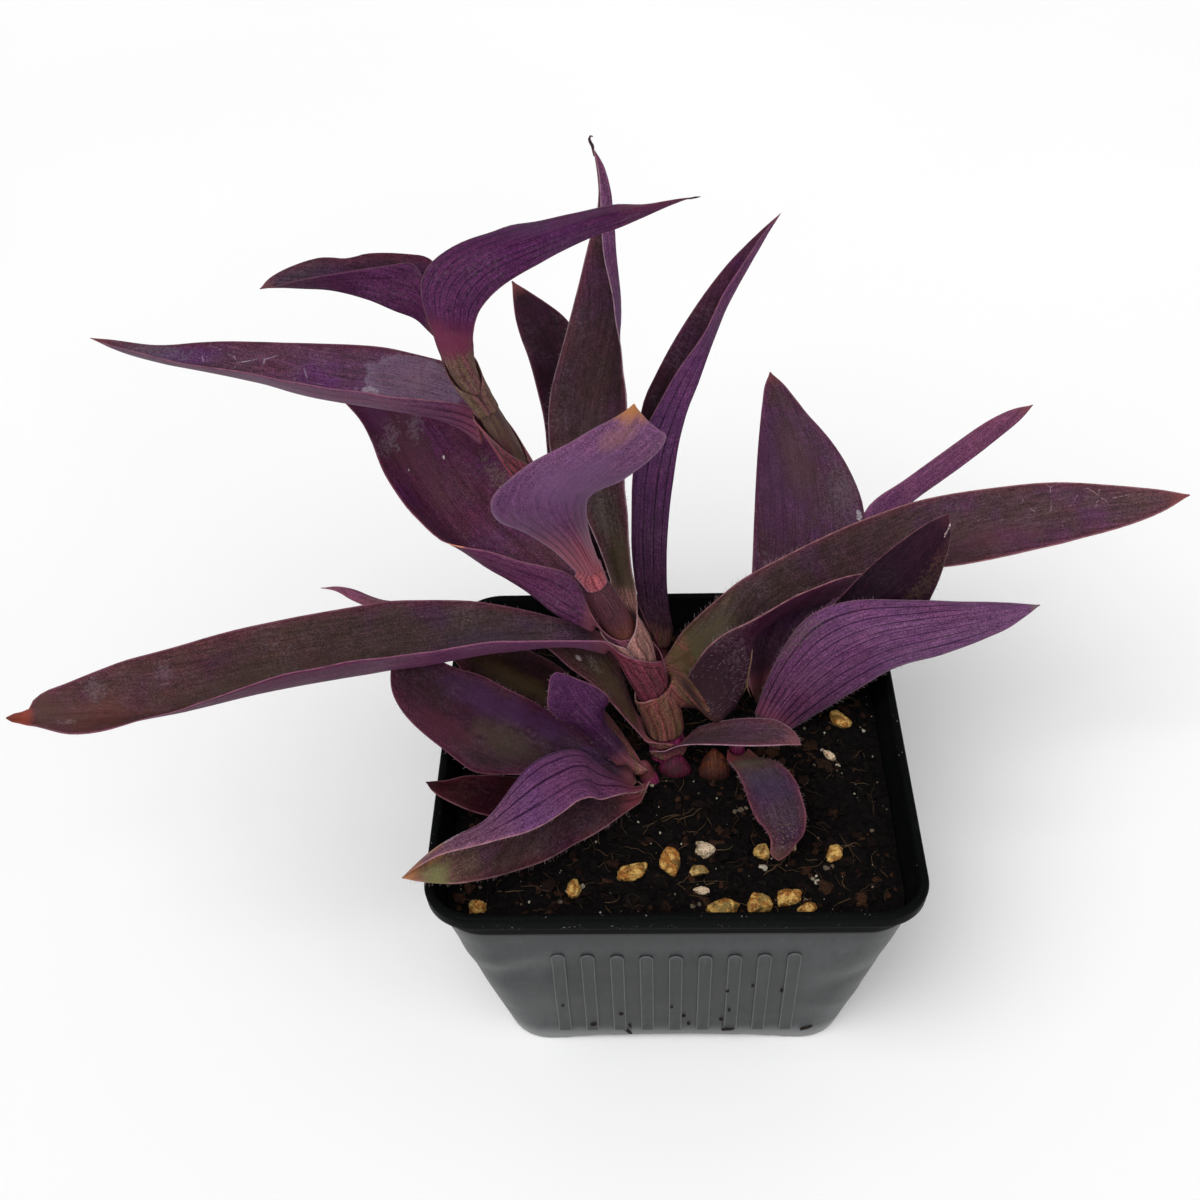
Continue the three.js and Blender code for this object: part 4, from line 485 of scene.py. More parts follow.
            (-16.82, 1.82, 55.04, -15.22, 4.47, 56.92, -14.08, 9.28, 56.26),
            (-19.19, 2.63, 56.01, -17.36, 5.52, 58.12, -15.94, 10.73, 57.69),
            (-21.93, 3.6, 57.17, -19.87, 6.73, 59.5, -18.1, 12.42, 59.39),
            (-24.66, 4.59, 58.35, -22.42, 7.9, 60.86, -20.32, 14.04, 61.1),
            (-27.41, 5.55, 59.52, -25, 9.02, 62.19, -22.65, 15.52, 62.7),
            (-30.19, 6.48, 60.65, -27.62, 10.09, 63.47, -25.15, 16.8, 64.15),
            (-32.99, 7.36, 61.75, -30.29, 11.1, 64.71, -27.84, 17.93, 65.5),
            (-36.22, 8.34, 62.98, -33.39, 12.2, 66.09, -31.05, 19.08, 66.95),
            (-39.05, 9.19, 64.06, -36.11, 13.15, 67.28, -33.9, 19.98, 68.15),
            (-42.37, 10.13, 65.26, -39.23, 14.21, 68.63, -37.21, 20.9, 69.43),
            (-45.49, 11.19, 66.57, -42.38, 15.25, 69.95, -40.59, 21.72, 70.64),
            (-47.66, 12.94, 68.65, -45.52, 16.3, 71.26, -43.98, 22.49, 71.83),
            (-49.59, 14.57, 70.55, -48.25, 17.27, 72.43, -46.95, 23.15, 72.85),
            (-52.19, 16.2, 72.41, -51.37, 18.41, 73.77, -50.37, 23.87, 73.96),
            (-55.12, 17.64, 73.96, -54.53, 19.54, 75.02, -53.83, 24.54, 75.02),
            (-58.21, 19, 75.34, -57.75, 20.65, 76.18, -57.32, 25.13, 75.98),
            (-61.36, 20.35, 76.65, -61.05, 21.68, 77.19, -60.9, 25.42, 76.61),
            (-64.66, 21.5, 77.63, -64.46, 22.57, 78, -64.51, 25.58, 77.14),
            (-68.2, 22.37, 78.21, -67.88, 23.51, 78.8, -67.94, 26.1, 78.19),
            (-71.97, 23.74, 79.22, -71.66, 24.73, 79.86, -71.76, 26.71, 79.59),
            (-75.17, 25.24, 80.37, -75.13, 25.57, 80.47, -75.25, 26.81, 80.5),
            (-78.76, 26.12, 80.7, -78.76, 26.12, 80.7, -78.76, 26.12, 80.7),
        ),
    },
    "leaf_low_left_inner": {
        "foot": ("stem_main", 54.6, 4.25, 96, 1.0),
        "rails": (
            (-5.87, -1.33, 58.25, -6.8, 1.15, 59.96, -7.71, 3.86, 61.87),
            (-6.79, -1.02, 59.69, -7.63, 1.79, 61.13, -8.34, 4.84, 62.91),
            (-8.01, -0.66, 61.22, -8.59, 2.55, 62.49, -8.99, 5.97, 64.18),
            (-9.26, -0.23, 62.68, -9.57, 3.31, 63.83, -9.56, 7.09, 65.53),
            (-10.45, 0.28, 64.09, -10.54, 4.08, 65.17, -10.13, 8.16, 66.9),
            (-11.63, 0.87, 65.44, -11.53, 4.85, 66.48, -10.76, 9.21, 68.31),
            (-12.81, 1.52, 66.73, -12.56, 5.6, 67.75, -11.42, 10.26, 69.78),
            (-14.19, 2.31, 68.12, -13.82, 6.45, 69.14, -12.26, 11.39, 71.42),
            (-15.43, 3.04, 69.26, -14.96, 7.2, 70.32, -13.14, 12.22, 72.68),
            (-16.92, 3.88, 70.45, -16.34, 8.04, 71.61, -14.45, 12.95, 73.9),
            (-18.54, 4.65, 71.49, -17.78, 8.82, 72.82, -16.16, 13.55, 75.01),
            (-20.27, 5.36, 72.43, -19.32, 9.53, 73.94, -18.09, 14.01, 75.99),
            (-21.76, 6.02, 73.25, -20.74, 10.11, 74.88, -19.8, 14.28, 76.7),
            (-23.37, 6.85, 74.29, -22.43, 10.72, 75.87, -21.75, 14.47, 77.37),
            (-24.92, 7.74, 75.38, -24.18, 11.26, 76.76, -23.76, 14.6, 77.96),
            (-26.5, 8.61, 76.44, -25.99, 11.74, 77.58, -25.81, 14.67, 78.47),
            (-28.17, 9.39, 77.38, -27.86, 12.19, 78.34, -27.87, 14.7, 78.93),
            (-29.94, 10.13, 78.23, -29.77, 12.52, 78.96, -29.93, 14.71, 79.38),
            (-31.79, 10.82, 78.96, -31.72, 12.73, 79.39, -32, 14.67, 79.82),
            (-33.95, 11.54, 79.55, -33.95, 12.9, 79.77, -34.28, 14.49, 80.26),
            (-35.95, 12.19, 79.88, -35.98, 12.99, 80.03, -36.21, 13.98, 80.38),
            (-38.04, 13.02, 80.17, -38.04, 13.02, 80.17, -38.04, 13.02, 80.17),
        ),
    },
    "leaf_low_left_short": {
        "foot": ("stem_left", 54.3, 2.4, 80, 0.6),
        "rails": (
            (-8.83, -5.32, 57.15, -9.89, -6.91, 57.93, -12.11, -6.3, 55.91),
            (-9.34, -4.47, 57.63, -10.49, -6.74, 58.76, -12.93, -5.93, 56.45),
            (-9.98, -3.62, 58.31, -11.18, -6.54, 59.71, -13.86, -5.47, 57.14),
            (-10.68, -2.94, 59.13, -11.89, -6.34, 60.65, -14.74, -4.99, 57.91),
            (-11.4, -2.43, 60.07, -12.6, -6.13, 61.58, -15.62, -4.57, 58.73),
            (-12.19, -2.07, 61.09, -13.31, -5.92, 62.49, -16.49, -4.19, 59.6),
            (-13.06, -1.81, 62.18, -14.03, -5.7, 63.38, -17.34, -3.82, 60.51),
            (-13.98, -1.6, 63.53, -14.86, -5.45, 64.38, -18.33, -3.45, 61.6),
            (-14.46, -1.44, 64.87, -15.59, -5.22, 65.24, -19.25, -3.29, 62.55),
            (-14.65, -1.22, 66.57, -16.43, -4.94, 66.2, -20.37, -3.27, 63.65),
            (-14.45, -1.05, 68.21, -17.3, -4.66, 67.13, -21.53, -3.33, 64.73),
            (-13.59, -0.96, 69.67, -18.17, -4.38, 68.04, -22.74, -3.45, 65.8),
            (-13.65, -0.82, 70.99, -18.92, -4.12, 68.84, -23.77, -3.56, 66.75),
            (-14.47, -0.69, 72.34, -19.7, -3.79, 69.78, -24.85, -3.64, 67.9),
            (-15.57, -0.61, 73.43, -20.42, -3.41, 70.75, -25.87, -3.61, 69.15),
            (-16.79, -0.51, 74.31, -21.08, -2.99, 71.75, -26.67, -3.42, 70.5),
            (-18.04, -0.39, 75, -21.7, -2.54, 72.76, -26.77, -3.08, 71.91),
            (-19.34, -0.23, 75.54, -22.32, -2.09, 73.77, -26.61, -2.56, 73.32),
            (-20.63, -0.01, 76.05, -22.92, -1.61, 74.76, -26.45, -1.87, 74.61),
            (-22.08, 0.24, 76.65, -23.57, -1.06, 75.87, -26.24, -1.05, 76.01),
            (-23.38, 0.27, 77.21, -24.15, -0.55, 76.85, -25.81, -0.45, 77.05),
            (-24.71, -0.02, 77.82, -24.71, -0.02, 77.82, -24.71, -0.02, 77.82),
        ),
    },
    "leaf_low_left_broad": {
        "foot": ("stem_left", 51.6, 3.0, 40, 0.6),
        "rails": (
            (-9.33, -9.02, 51.35, -9.06, -5.25, 52.37, -8.92, -2.42, 54.41),
            (-11.88, -9.76, 53.02, -11.04, -4.92, 53.44, -10.71, -1.83, 55.44),
            (-14.86, -10.45, 54.64, -13.38, -4.6, 54.63, -12.92, -1.34, 56.48),
            (-17.86, -10.94, 55.89, -15.73, -4.34, 55.76, -15.22, -0.99, 57.44),
            (-20.87, -11.25, 56.83, -18.13, -4.15, 56.82, -17.41, -0.56, 58.59),
            (-23.9, -11.42, 57.48, -20.55, -4.03, 57.82, -19.51, -0.05, 59.91),
            (-26.94, -11.47, 57.87, -22.98, -3.93, 58.82, -21.55, 0.47, 61.33),
            (-30.43, -11.45, 58.13, -25.71, -3.82, 60.06, -23.81, 1.04, 63.08),
            (-33.5, -11.41, 58.29, -28.08, -3.77, 61.24, -25.85, 1.35, 64.62),
            (-37.08, -11.36, 58.4, -30.74, -3.74, 62.67, -28.25, 1.55, 66.33),
            (-40.56, -11.24, 58.48, -33.36, -3.62, 64.14, -30.64, 1.75, 68.03),
            (-43.72, -10.6, 59.03, -35.93, -3.34, 65.6, -33.09, 1.96, 69.55),
            (-46.27, -9.26, 60.29, -38.15, -2.91, 66.79, -35.28, 2.22, 70.71),
            (-49.13, -7.58, 61.91, -40.69, -2.19, 68.01, -37.74, 2.79, 71.95),
            (-51.94, -6.25, 63.59, -43.24, -1.37, 69.14, -40.15, 3.52, 73.18),
            (-54.62, -4.87, 65.4, -45.78, -0.52, 70.3, -42.7, 4.01, 74.13),
            (-57.11, -3.34, 67.38, -48.24, 0.38, 71.52, -45.39, 4.33, 74.86),
            (-59.19, -1.61, 69.61, -50.62, 1.38, 72.85, -47.97, 4.78, 75.75),
            (-60.59, 0.26, 72.23, -52.92, 2.49, 74.31, -50.44, 5.44, 76.89),
            (-60.84, 2.47, 75.48, -55.18, 3.89, 76.13, -53.18, 6.23, 78.27),
            (-60.2, 4.62, 78.1, -56.87, 5.32, 77.96, -55.65, 6.83, 79.4),
            (-58.32, 6.91, 79.97, -58.32, 6.91, 79.97, -58.32, 6.91, 79.97),
        ),
    },
    "leaf_low_front_left": {
        "foot": ("stem_left", 51.9, 3.0, 32, 0.5),
        "rails": (
            (-7.38, -14.5, 52.12, -8.72, -12.73, 55.89, -6.4, -16.35, 58.31),
            (-9.02, -15.83, 52.03, -10.71, -12.07, 56.96, -8.02, -18.46, 59.72),
            (-11.21, -17.53, 51.65, -13.01, -11.13, 58.17, -10.21, -20.39, 61.53),
            (-13.12, -19.58, 51.82, -15.3, -10.11, 59.36, -12.74, -22.25, 62.58),
            (-14.99, -21.62, 52.06, -17.48, -8.47, 60.51, -15.23, -23.98, 63.5),
            (-17.72, -22.89, 51.07, -19.65, -7.17, 61.64, -17.06, -25.33, 65.71),
            (-20.39, -24.57, 51.04, -22.01, -7.8, 62.79, -19.45, -27.24, 66.73),
            (-22.21, -26.87, 51.99, -24.96, -10.21, 64.2, -22.08, -29.94, 66.76),
            (-23.92, -28.8, 52.65, -27.38, -12.85, 65.43, -24.12, -32.34, 67.14),
            (-25.77, -31, 53.53, -29.72, -16.4, 66.67, -26.47, -34.92, 67.61),
            (-27.88, -33, 54.28, -31.7, -20.31, 67.59, -28.74, -37, 68.28),
            (-30.23, -34.78, 54.97, -33.34, -24.05, 68.09, -31.01, -38.64, 68.95),
            (-32.31, -36.32, 55.69, -34.64, -27.3, 68.36, -33.03, -39.8, 69.33),
            (-34.66, -38.41, 57.01, -36.16, -30.88, 68.62, -35.38, -40.81, 69.49),
            (-36.95, -40.68, 58.7, -37.87, -34.01, 68.82, -37.75, -41.65, 69.5),
            (-39.27, -42.55, 60.12, -40.1, -36.21, 68.95, -40.13, -42.39, 69.5),
            (-41.66, -43.82, 60.94, -42.63, -37.97, 68.97, -42.54, -43.07, 69.5),
            (-44.09, -44.74, 61.57, -45.07, -39.59, 68.64, -44.9, -43.79, 69.46),
            (-46.56, -45.19, 62.13, -47.46, -40.95, 67.8, -47.22, -44.33, 68.9),
            (-49.39, -45.3, 62.61, -50.1, -42.21, 66.37, -49.82, -44.62, 67.31),
            (-51.92, -45.06, 62.89, -52.35, -43.27, 64.77, -52.16, -44.55, 65.3),
            (-54.49, -44.39, 63, -54.49, -44.39, 63, -54.49, -44.39, 63),
        ),
    },
    "leaf_low_left_dark": {
        "foot": ("stem_left", 51.75, 4.8, 12, 0.0),
        "rails": (
            (-14.93, -13.42, 51.02, -15.12, -11.58, 50.94, -15.35, -9.63, 51.17),
            (-16.44, -13.91, 51.08, -16.59, -11.79, 51.04, -16.8, -9.56, 51.4),
            (-18.2, -14.5, 51.19, -18.29, -12.05, 51.21, -18.49, -9.5, 51.7),
            (-19.95, -15.1, 51.36, -19.99, -12.34, 51.44, -20.17, -9.47, 52.04),
            (-21.71, -15.71, 51.57, -21.68, -12.65, 51.72, -21.86, -9.45, 52.41),
            (-23.46, -16.31, 51.82, -23.36, -12.99, 52.05, -23.53, -9.46, 52.81),
            (-25.2, -16.91, 52.11, -25.04, -13.34, 52.43, -25.2, -9.48, 53.24),
            (-27.19, -17.58, 52.47, -26.95, -13.77, 52.9, -27.11, -9.48, 53.76),
            (-28.92, -18.15, 52.82, -28.61, -14.13, 53.34, -28.76, -9.47, 54.23),
            (-30.91, -18.8, 53.24, -30.51, -14.51, 53.87, -30.65, -9.48, 54.8),
            (-32.89, -19.46, 53.69, -32.41, -14.85, 54.42, -32.54, -9.54, 55.39),
            (-34.85, -20.09, 54.18, -34.29, -15.2, 55.02, -34.42, -9.73, 56.02),
            (-36.54, -20.72, 54.8, -35.9, -15.67, 55.75, -36.04, -10.11, 56.71),
            (-38.44, -21.33, 55.73, -37.69, -16.39, 56.81, -37.87, -10.79, 57.65),
            (-40.32, -21.67, 56.79, -39.46, -17.07, 57.97, -39.68, -11.72, 58.64),
            (-42.16, -21.89, 57.87, -41.22, -17.57, 59.09, -41.47, -12.68, 59.57),
            (-43.99, -21.84, 58.83, -43, -17.83, 60, -43.28, -13.51, 60.32),
            (-45.81, -21.44, 59.58, -44.82, -17.8, 60.58, -45.08, -14.23, 60.78),
            (-47.67, -20.77, 60.17, -46.68, -17.54, 60.92, -46.84, -15.14, 61.05),
            (-49.75, -19.72, 60.74, -48.78, -17.19, 61.23, -48.86, -15.91, 61.29),
            (-51.34, -18.4, 61.16, -50.67, -16.84, 61.42, -50.73, -16.1, 61.44),
            (-52.59, -16.42, 61.5, -52.59, -16.42, 61.5, -52.59, -16.42, 61.5),
        ),
    },
}
SHOOTS = {
    "stem_main": ((-0.8, 3.8, 43.4, 3.5), (-1, 3.4, 50.8, 3.5), (-1.6, 3.7, 59.2, 3.35), (-3.6, 4.2, 67, 3.15), (-5.7, 4.5, 74.6, 3), (-7.8, 4.8, 80.5, 2.75), (-10.9, 4.6, 86.8, 2.5), (-15.2, 4.6, 97.3, 2.45), (-22.4, 4.7, 113.5, 2.4), (-29.3, 2.8, 128.9, 2.35), (-34.3, 0.8, 142.5, 2.3), (-38.6, -0.3, 153.9, 2.2), (-39.4, -0.1, 157.4, 1.7)),
    "stem_back": ((-1, 30, 38, 2.2), (-1.4, 30.6, 50, 2.2), (-2.4, 32.4, 57, 1.7), (-2.7, 32.9, 59.5, 1.3)),
    "stem_right": ((24, 17.1, 38, 1.8), (24.1, 17.3, 50, 1.8), (24.2, 17.5, 52.2, 1.2)),
    "stem_left": ((-4.5, -5, 38, 2), (-4.9, -5.2, 50, 2), (-6.8, -5.2, 55.5, 1.5)),
    "stem_front": ((14.5, 2.5, 40, 2), (14.6, 2.4, 50, 2), (14.8, 2.2, 54, 1.4)),
}

# ---------------------------------------------------------------- curves and noise
def hermite(xs, ys, x):
    """Smooth curve through ys at xs, read at x. ys has one row for each x."""
    xs, ys, x = np.asarray(xs, float), np.asarray(ys, float), np.asarray(x, float)
    slope = np.gradient(ys, xs, axis=0)
    i = np.clip(np.searchsorted(xs, x, side="right") - 1, 0, len(xs) - 2)
    h = xs[i + 1] - xs[i]
    s = (x - xs[i]) / h
    if ys.ndim > 1:
        h, s = h[:, None], s[:, None]
    return (
        ys[i] * (1 + 2 * s) * (1 - s) ** 2
        + slope[i] * h * s * (1 - s) ** 2
        + ys[i + 1] * s * s * (3 - 2 * s)
        + slope[i + 1] * h * s * s * (s - 1)
    )


def smoothstep(a, b, x):
    t = np.clip((np.asarray(x, float) - a) / (b - a), 0, 1)
    return t * t * (3 - 2 * t)


class Noise:
    """Smooth random numbers from -1 to 1 over a plane or a space, the same in every run."""

    def __init__(self, seed, size=64):
        self.size = size
        self.grid = np.random.default_rng(seed).uniform(-1, 1, (size, size, size)).astype(np.float32)

    def __call__(self, x, y, z=0.0):
        x, y, z = np.broadcast_arrays(
            np.asarray(x, float), np.asarray(y, float), np.asarray(z, float)
        )
        out = 0.0
        cell = [np.floor(v).astype(int) for v in (x, y, z)]
        part = [v - c for v, c in zip((x, y, z), cell)]
        part = [p * p * (3 - 2 * p) for p in part]
        for i in (0, 1):
            for j in (0, 1):
                for k in (0, 1):
                    w = (
                        (part[0] if i else 1 - part[0])
                        * (part[1] if j else 1 - part[1])
                        * (part[2] if k else 1 - part[2])
                    )
                    out = out + w * self.grid[
                        (cell[0] + i) % self.size,
                        (cell[1] + j) % self.size,
                        (cell[2] + k) % self.size,
                    ]
        return out

    def layers(self, x, y, z=0.0, octaves=4, gain=0.5):
        total, weight, scale = 0.0, 1.0, 1.0
        for o in range(octaves):
            total = total + weight * self(
                np.asarray(x) * scale + 7.3 * o, np.asarray(y) * scale + 3.1 * o, np.asarray(z) * scale + 5.7 * o
            )
            weight *= gain
            scale *= 2.03
        return total


noise = Noise(11, 48)


class Shoot:
    """The axis of a shoot, measured along its length in mm."""

    def __init__(self, rows):
        rows = np.array(rows, float)
        self.at = np.r_[0, np.cumsum(np.linalg.norm(np.diff(rows[:, :3], axis=0), axis=1))]
        self.rows = rows
        self.length = self.at[-1]
        self.fine = np.linspace(0, self.length, 500)
        self.path = self.point(self.fine)
        self.wide = self.radius(self.fine)

    def point(self, s):
        one = np.isscalar(s)
        p = hermite(self.at, self.rows[:, :3], np.clip(np.atleast_1d(s), 0, self.length))
        return p[0] if one else p

    def radius(self, s):
        return np.interp(s, self.at, self.rows[:, 3])

    def axis(self, s):
        a = self.point(min(s + 0.5, self.length)) - self.point(max(s - 0.5, 0.0))
        return a / np.linalg.norm(a)

    def clear(self, p, gap):
        """p, moved out so that it stays clear of the shoot."""
        d = np.linalg.norm(self.path - p, axis=1)
        i = int(np.argmin(d))
        need = self.wide[i] + gap
        if d[i] >= need or d[i] < 1e-6:
            return p
        return self.path[i] + (p - self.path[i]) * (need / d[i])


shoots = {name: Shoot(rows) for name, rows in SHOOTS.items()}
# the visible thickness of the main shoot along its length
MAIN_RADII = np.array([(0, 3.9), (12, 3.95), (13.6, 3.7), (15, 3.3), (22, 3.0), (26, 2.5), (33, 2.3), (37, 2.6), (40, 2.95), (44, 3.05), (47, 3.15), (50, 3.15), (53, 3.0), (55.5, 2.75), (57.5, 2.1), (62, 2.2), (86, 2.2), (96, 2.25), (104, 2.2), (108, 2.05), (114, 1.8), (118, 1.6), (121.6, 1.2)])
shoots["stem_main"].radius = lambda s: np.interp(s, MAIN_RADII[:, 0], MAIN_RADII[:, 1])
shoots["stem_main"].wide = shoots["stem_main"].radius(shoots["stem_main"].fine)

# Sheaths of the main shoot's leaves: rows of (mm along the shoot, half angle that the sheet wraps, radius),
# from the joint where the leaf grows to the mouth where its margins part.
SHEATHS = {
    "leaf_top_right": [(112, 179, 2.05), (115, 179, 2.15), (117, 178, 2.25), (118.5, 150, 2.4), (119.6, 115, 2.65)],
    "leaf_top_left": [(107, 179, 2.3), (110, 179, 2.36), (112.5, 170, 2.45), (114, 130, 2.6), (115.5, 100, 2.85)],
    "leaf_long_left_high": [(86, 179, 2.42), (90, 179, 2.5), (93, 174, 2.54), (95, 150, 2.55), (97.5, 128, 2.58), (100, 108, 2.64), (102.5, 90, 2.75), (104.6, 76, 2.9), (106.6, 64, 3.1)],
    "leaf_front_upright": [(57.2, 179, 2.42), (58.6, 179, 2.5), (59.9, 165, 2.62), (61.0, 125, 2.8), (61.8, 98, 3.0)],
    "leaf_broad_left": [(38, 179, 3.35), (40, 179, 3.4), (42, 176, 3.45), (42.9, 130, 3.5), (43.6, 95, 3.6), (45.2, 66, 3.8), (47.2, 46, 3.95)],
    "leaf_tall": [(30.5, 179, 2.7), (33.5, 179, 3.0), (36.5, 179, 3.6), (39, 179, 3.95), (42, 179, 4.1), (43.2, 160, 4.15), (44.2, 130, 4.2), (45.4, 108, 4.3)],
    "leaf_long_left": [(23, 179, 3.3), (26, 179, 3.65), (29.5, 179, 4.1), (33.2, 174, 4.4), (35.0, 138, 4.45), (37.4, 110, 4.5), (39.4, 88, 4.55), (41, 74, 4.6)],
    "leaf_long_right": [(13.5, 179, 4.0), (17, 179, 4.2), (21, 179, 4.4), (24.0, 178, 4.5), (24.8, 160, 4.55), (25.6, 122, 4.6), (26.4, 96, 4.7), (27.2, 78, 4.8)],
}

# Where a leaf's foot is drawn a little aside: rows counted from the blade's start between which the shift
# comes and goes, the share across over which it comes, the shift in mm, and how far to stay off the shoot.
PULLS = {
    "leaf_long_right": ((-9, -4, -4, 4), (0.1, 0.9), (-0.8, 0.2, -7.0), 1.3),
    "leaf_right_purple": ((-99, -98, 0, 22), (-3, -2), (-1.8, -1.3, -0.8), 0),
    "leaf_right_upright": ((-99, -98, 2, 16), (-3, -2), (-1.9, -1.0, -1.6), 0),
}

# ---------------------------------------------------------------- leaves
ACROSS = 25  # points across a leaf
CHANNEL = 1.35
THICK = 0.46


def ring(shoot, s, toward, radius, half, us, dip=0.0, rise=0.0):
    """A row of points round a shoot; toward is the side on which the blade leaves it."""
    out = []
    for u in us:
        here = s - dip * (1 - abs(u))
        centre, axis = shoot.point(here), shoot.axis(here)
        e1 = toward - axis * (toward @ axis)
        e1 /= np.linalg.norm(e1)
        e2 = np.cross(axis, e1)
        a = math.radians(half) * u
        out.append(centre + radius * (math.cos(a) * e1 - math.sin(a) * e2) + axis * rise * u * u)
    return np.array(out)


def leaf_rows(name):
    """Rows of points across the leaf from foot to tip, and how many of them belong to its sheath or foot."""
    leaf = LEAVES[name]
    us = np.linspace(-1, 1, ACROSS)
    rails = np.array(leaf["rails"], float)
    keel = rails[:, 3:6]
    run = np.r_[0, np.cumsum(np.linalg.norm(np.diff(keel, axis=0), axis=1))]
    steps = 54
    x = np.linspace(0, 1, steps)
    x = run[-1] * (x - 0.06 * np.sin(2 * np.pi * x))
    fine = hermite(run, rails, x)
    fine[-1] = np.tile(fine[-1, 3:6], 3)
    left, mid, right = fine[:, :3], fine[:, 3:6], fine[:, 6:]
    blade = np.zeros((steps, ACROSS, 3))
    for j, u in enumerate(us):
        side = left if u < 0 else right
        blade[:, j] = mid + (side - mid) * abs(u) ** CHANNEL
    # the halves bow outwards a little and the keel is rounded
    opening = (left + right) / 2 - mid
    depth = np.linalg.norm(opening, axis=1)
    half = (np.linalg.norm(left - mid, axis=1) + np.linalg.norm(right - mid, axis=1)) / 2
    inward = opening / np.maximum(depth, 1e-6)[:, None]
    share = smoothstep(0.08, 0.5, depth / np.maximum(half, 1e-6)) * smoothstep(0, 0.12, x / run[-1]) * (1 - smoothstep(0.9, 1, x / run[-1]))
    bow = leaf.get("bow", 0.05)
    for j, u in enumerate(us):
        out = -bow * half * np.sin(np.pi * min(1.0, abs(u))) + 0.45 * np.exp(-((u / 0.16) ** 2)) * np.minimum(1, half / 6)
        blade[:, j] += inward * (share * out)[:, None]
    rows, base = [], 0
    if "sheath" in leaf:
        stem, mouth = leaf["sheath"][:2]
        shoot = shoots[stem]
        toward = blade[0, ACROSS // 2] - shoot.point(mouth)
        keys = np.array(SHEATHS[name], float)
        steps = max(10, int((keys[-1, 0] - keys[0, 0]) / 0.6))
        for s in np.linspace(keys[0, 0], keys[-1, 0], steps):
            w = np.interp(s, keys[:, 0], keys[:, 1])
            r = np.interp(s, keys[:, 0], keys[:, 2])
            rows.append(ring(shoot, float(s), toward, r, w, us))
        a, b = rows[-1], blade[0]
        ta = (rows[-1] - rows[-2]) / np.linalg.norm(rows[-1] - rows[-2], axis=1, keepdims=True)
        tb = (blade[1] - blade[0]) / np.linalg.norm(blade[1] - blade[0], axis=1, keepdims=True)
        gap = np.linalg.norm(b - a, axis=1, keepdims=True)
        for s in np.linspace(0, 1, 9)[1:-1]:
            row = (
                a * (1 + 2 * s) * (1 - s) ** 2
                + ta * gap * 0.7 * s * (1 - s) ** 2
                + b * s * s * (3 - 2 * s)
                + tb * gap * 0.7 * s * s * (s - 1)
            )
            rows.append(np.array([shoot.clear(p, 0.75) for p in row]))
        base = len(rows)
    if "foot" in leaf:
        stem, height, radius, wrap, rise = leaf["foot"]
        shoot = shoots[stem]
        s0 = shoot.fine[int(np.argmin(abs(shoot.path[:, 2] - height)))]
        toward = blade[0, ACROSS // 2] - shoot.point(s0)
        a = ring(shoot, s0, toward, radius, wrap, us, rise=rise)
        b = blade[0]
        gap = np.linalg.norm(b - a, axis=1, keepdims=True)
        ta = np.tile(shoot.axis(s0), (ACROSS, 1)) * 0.5 + 0.5 * (b - a) / np.maximum(gap, 1e-6)
        tb = (blade[1] - blade[0]) / np.linalg.norm(blade[1] - blade[0], axis=1, keepdims=True)
        for s in np.linspace(0, 1, 8)[:-1]:
            rows.append(
                a * (1 + 2 * s) * (1 - s) ** 2
                + ta * gap * 0.6 * s * (1 - s) ** 2
                + b * s * s * (3 - 2 * s)
                + tb * gap * 0.6 * s * s * (s - 1)
            )
        base = len(rows)
    grid = np.concatenate([np.array(rows).reshape(-1, ACROSS, 3), blade]) if rows else blade
    if name in PULLS:
        (r0, r1, r2, r3), (u0, u1), shift, gap = PULLS[name]
        row = np.arange(len(grid)) - base
        w = (smoothstep(r0, r1, row) * (1 - smoothstep(r2, r3, row)))[:, None] * smoothstep(u0, u1, us)[None]
        grid = grid + w[..., None] * np.array(shift)
        if gap:
            for i, j in zip(*np.nonzero(w > 0.01)):
                near = shoot.clear(grid[i, j], gap)
                grid[i, j] += (near - grid[i, j]) * min(1.0, 4 * w[i, j])
    return grid, base


def row_normals(grid):
    du = np.gradient(grid, axis=1)
    dv = np.gradient(grid, axis=0)
    n = np.cross(dv, du)
    size = np.linalg.norm(n, axis=2, keepdims=True)
    bad = size[..., 0] < 1e-9
    n = n / np.maximum(size, 1e-9)
    for i in range(1, len(n)):
        n[i][bad[i]] = n[i - 1][bad[i]]
    return n


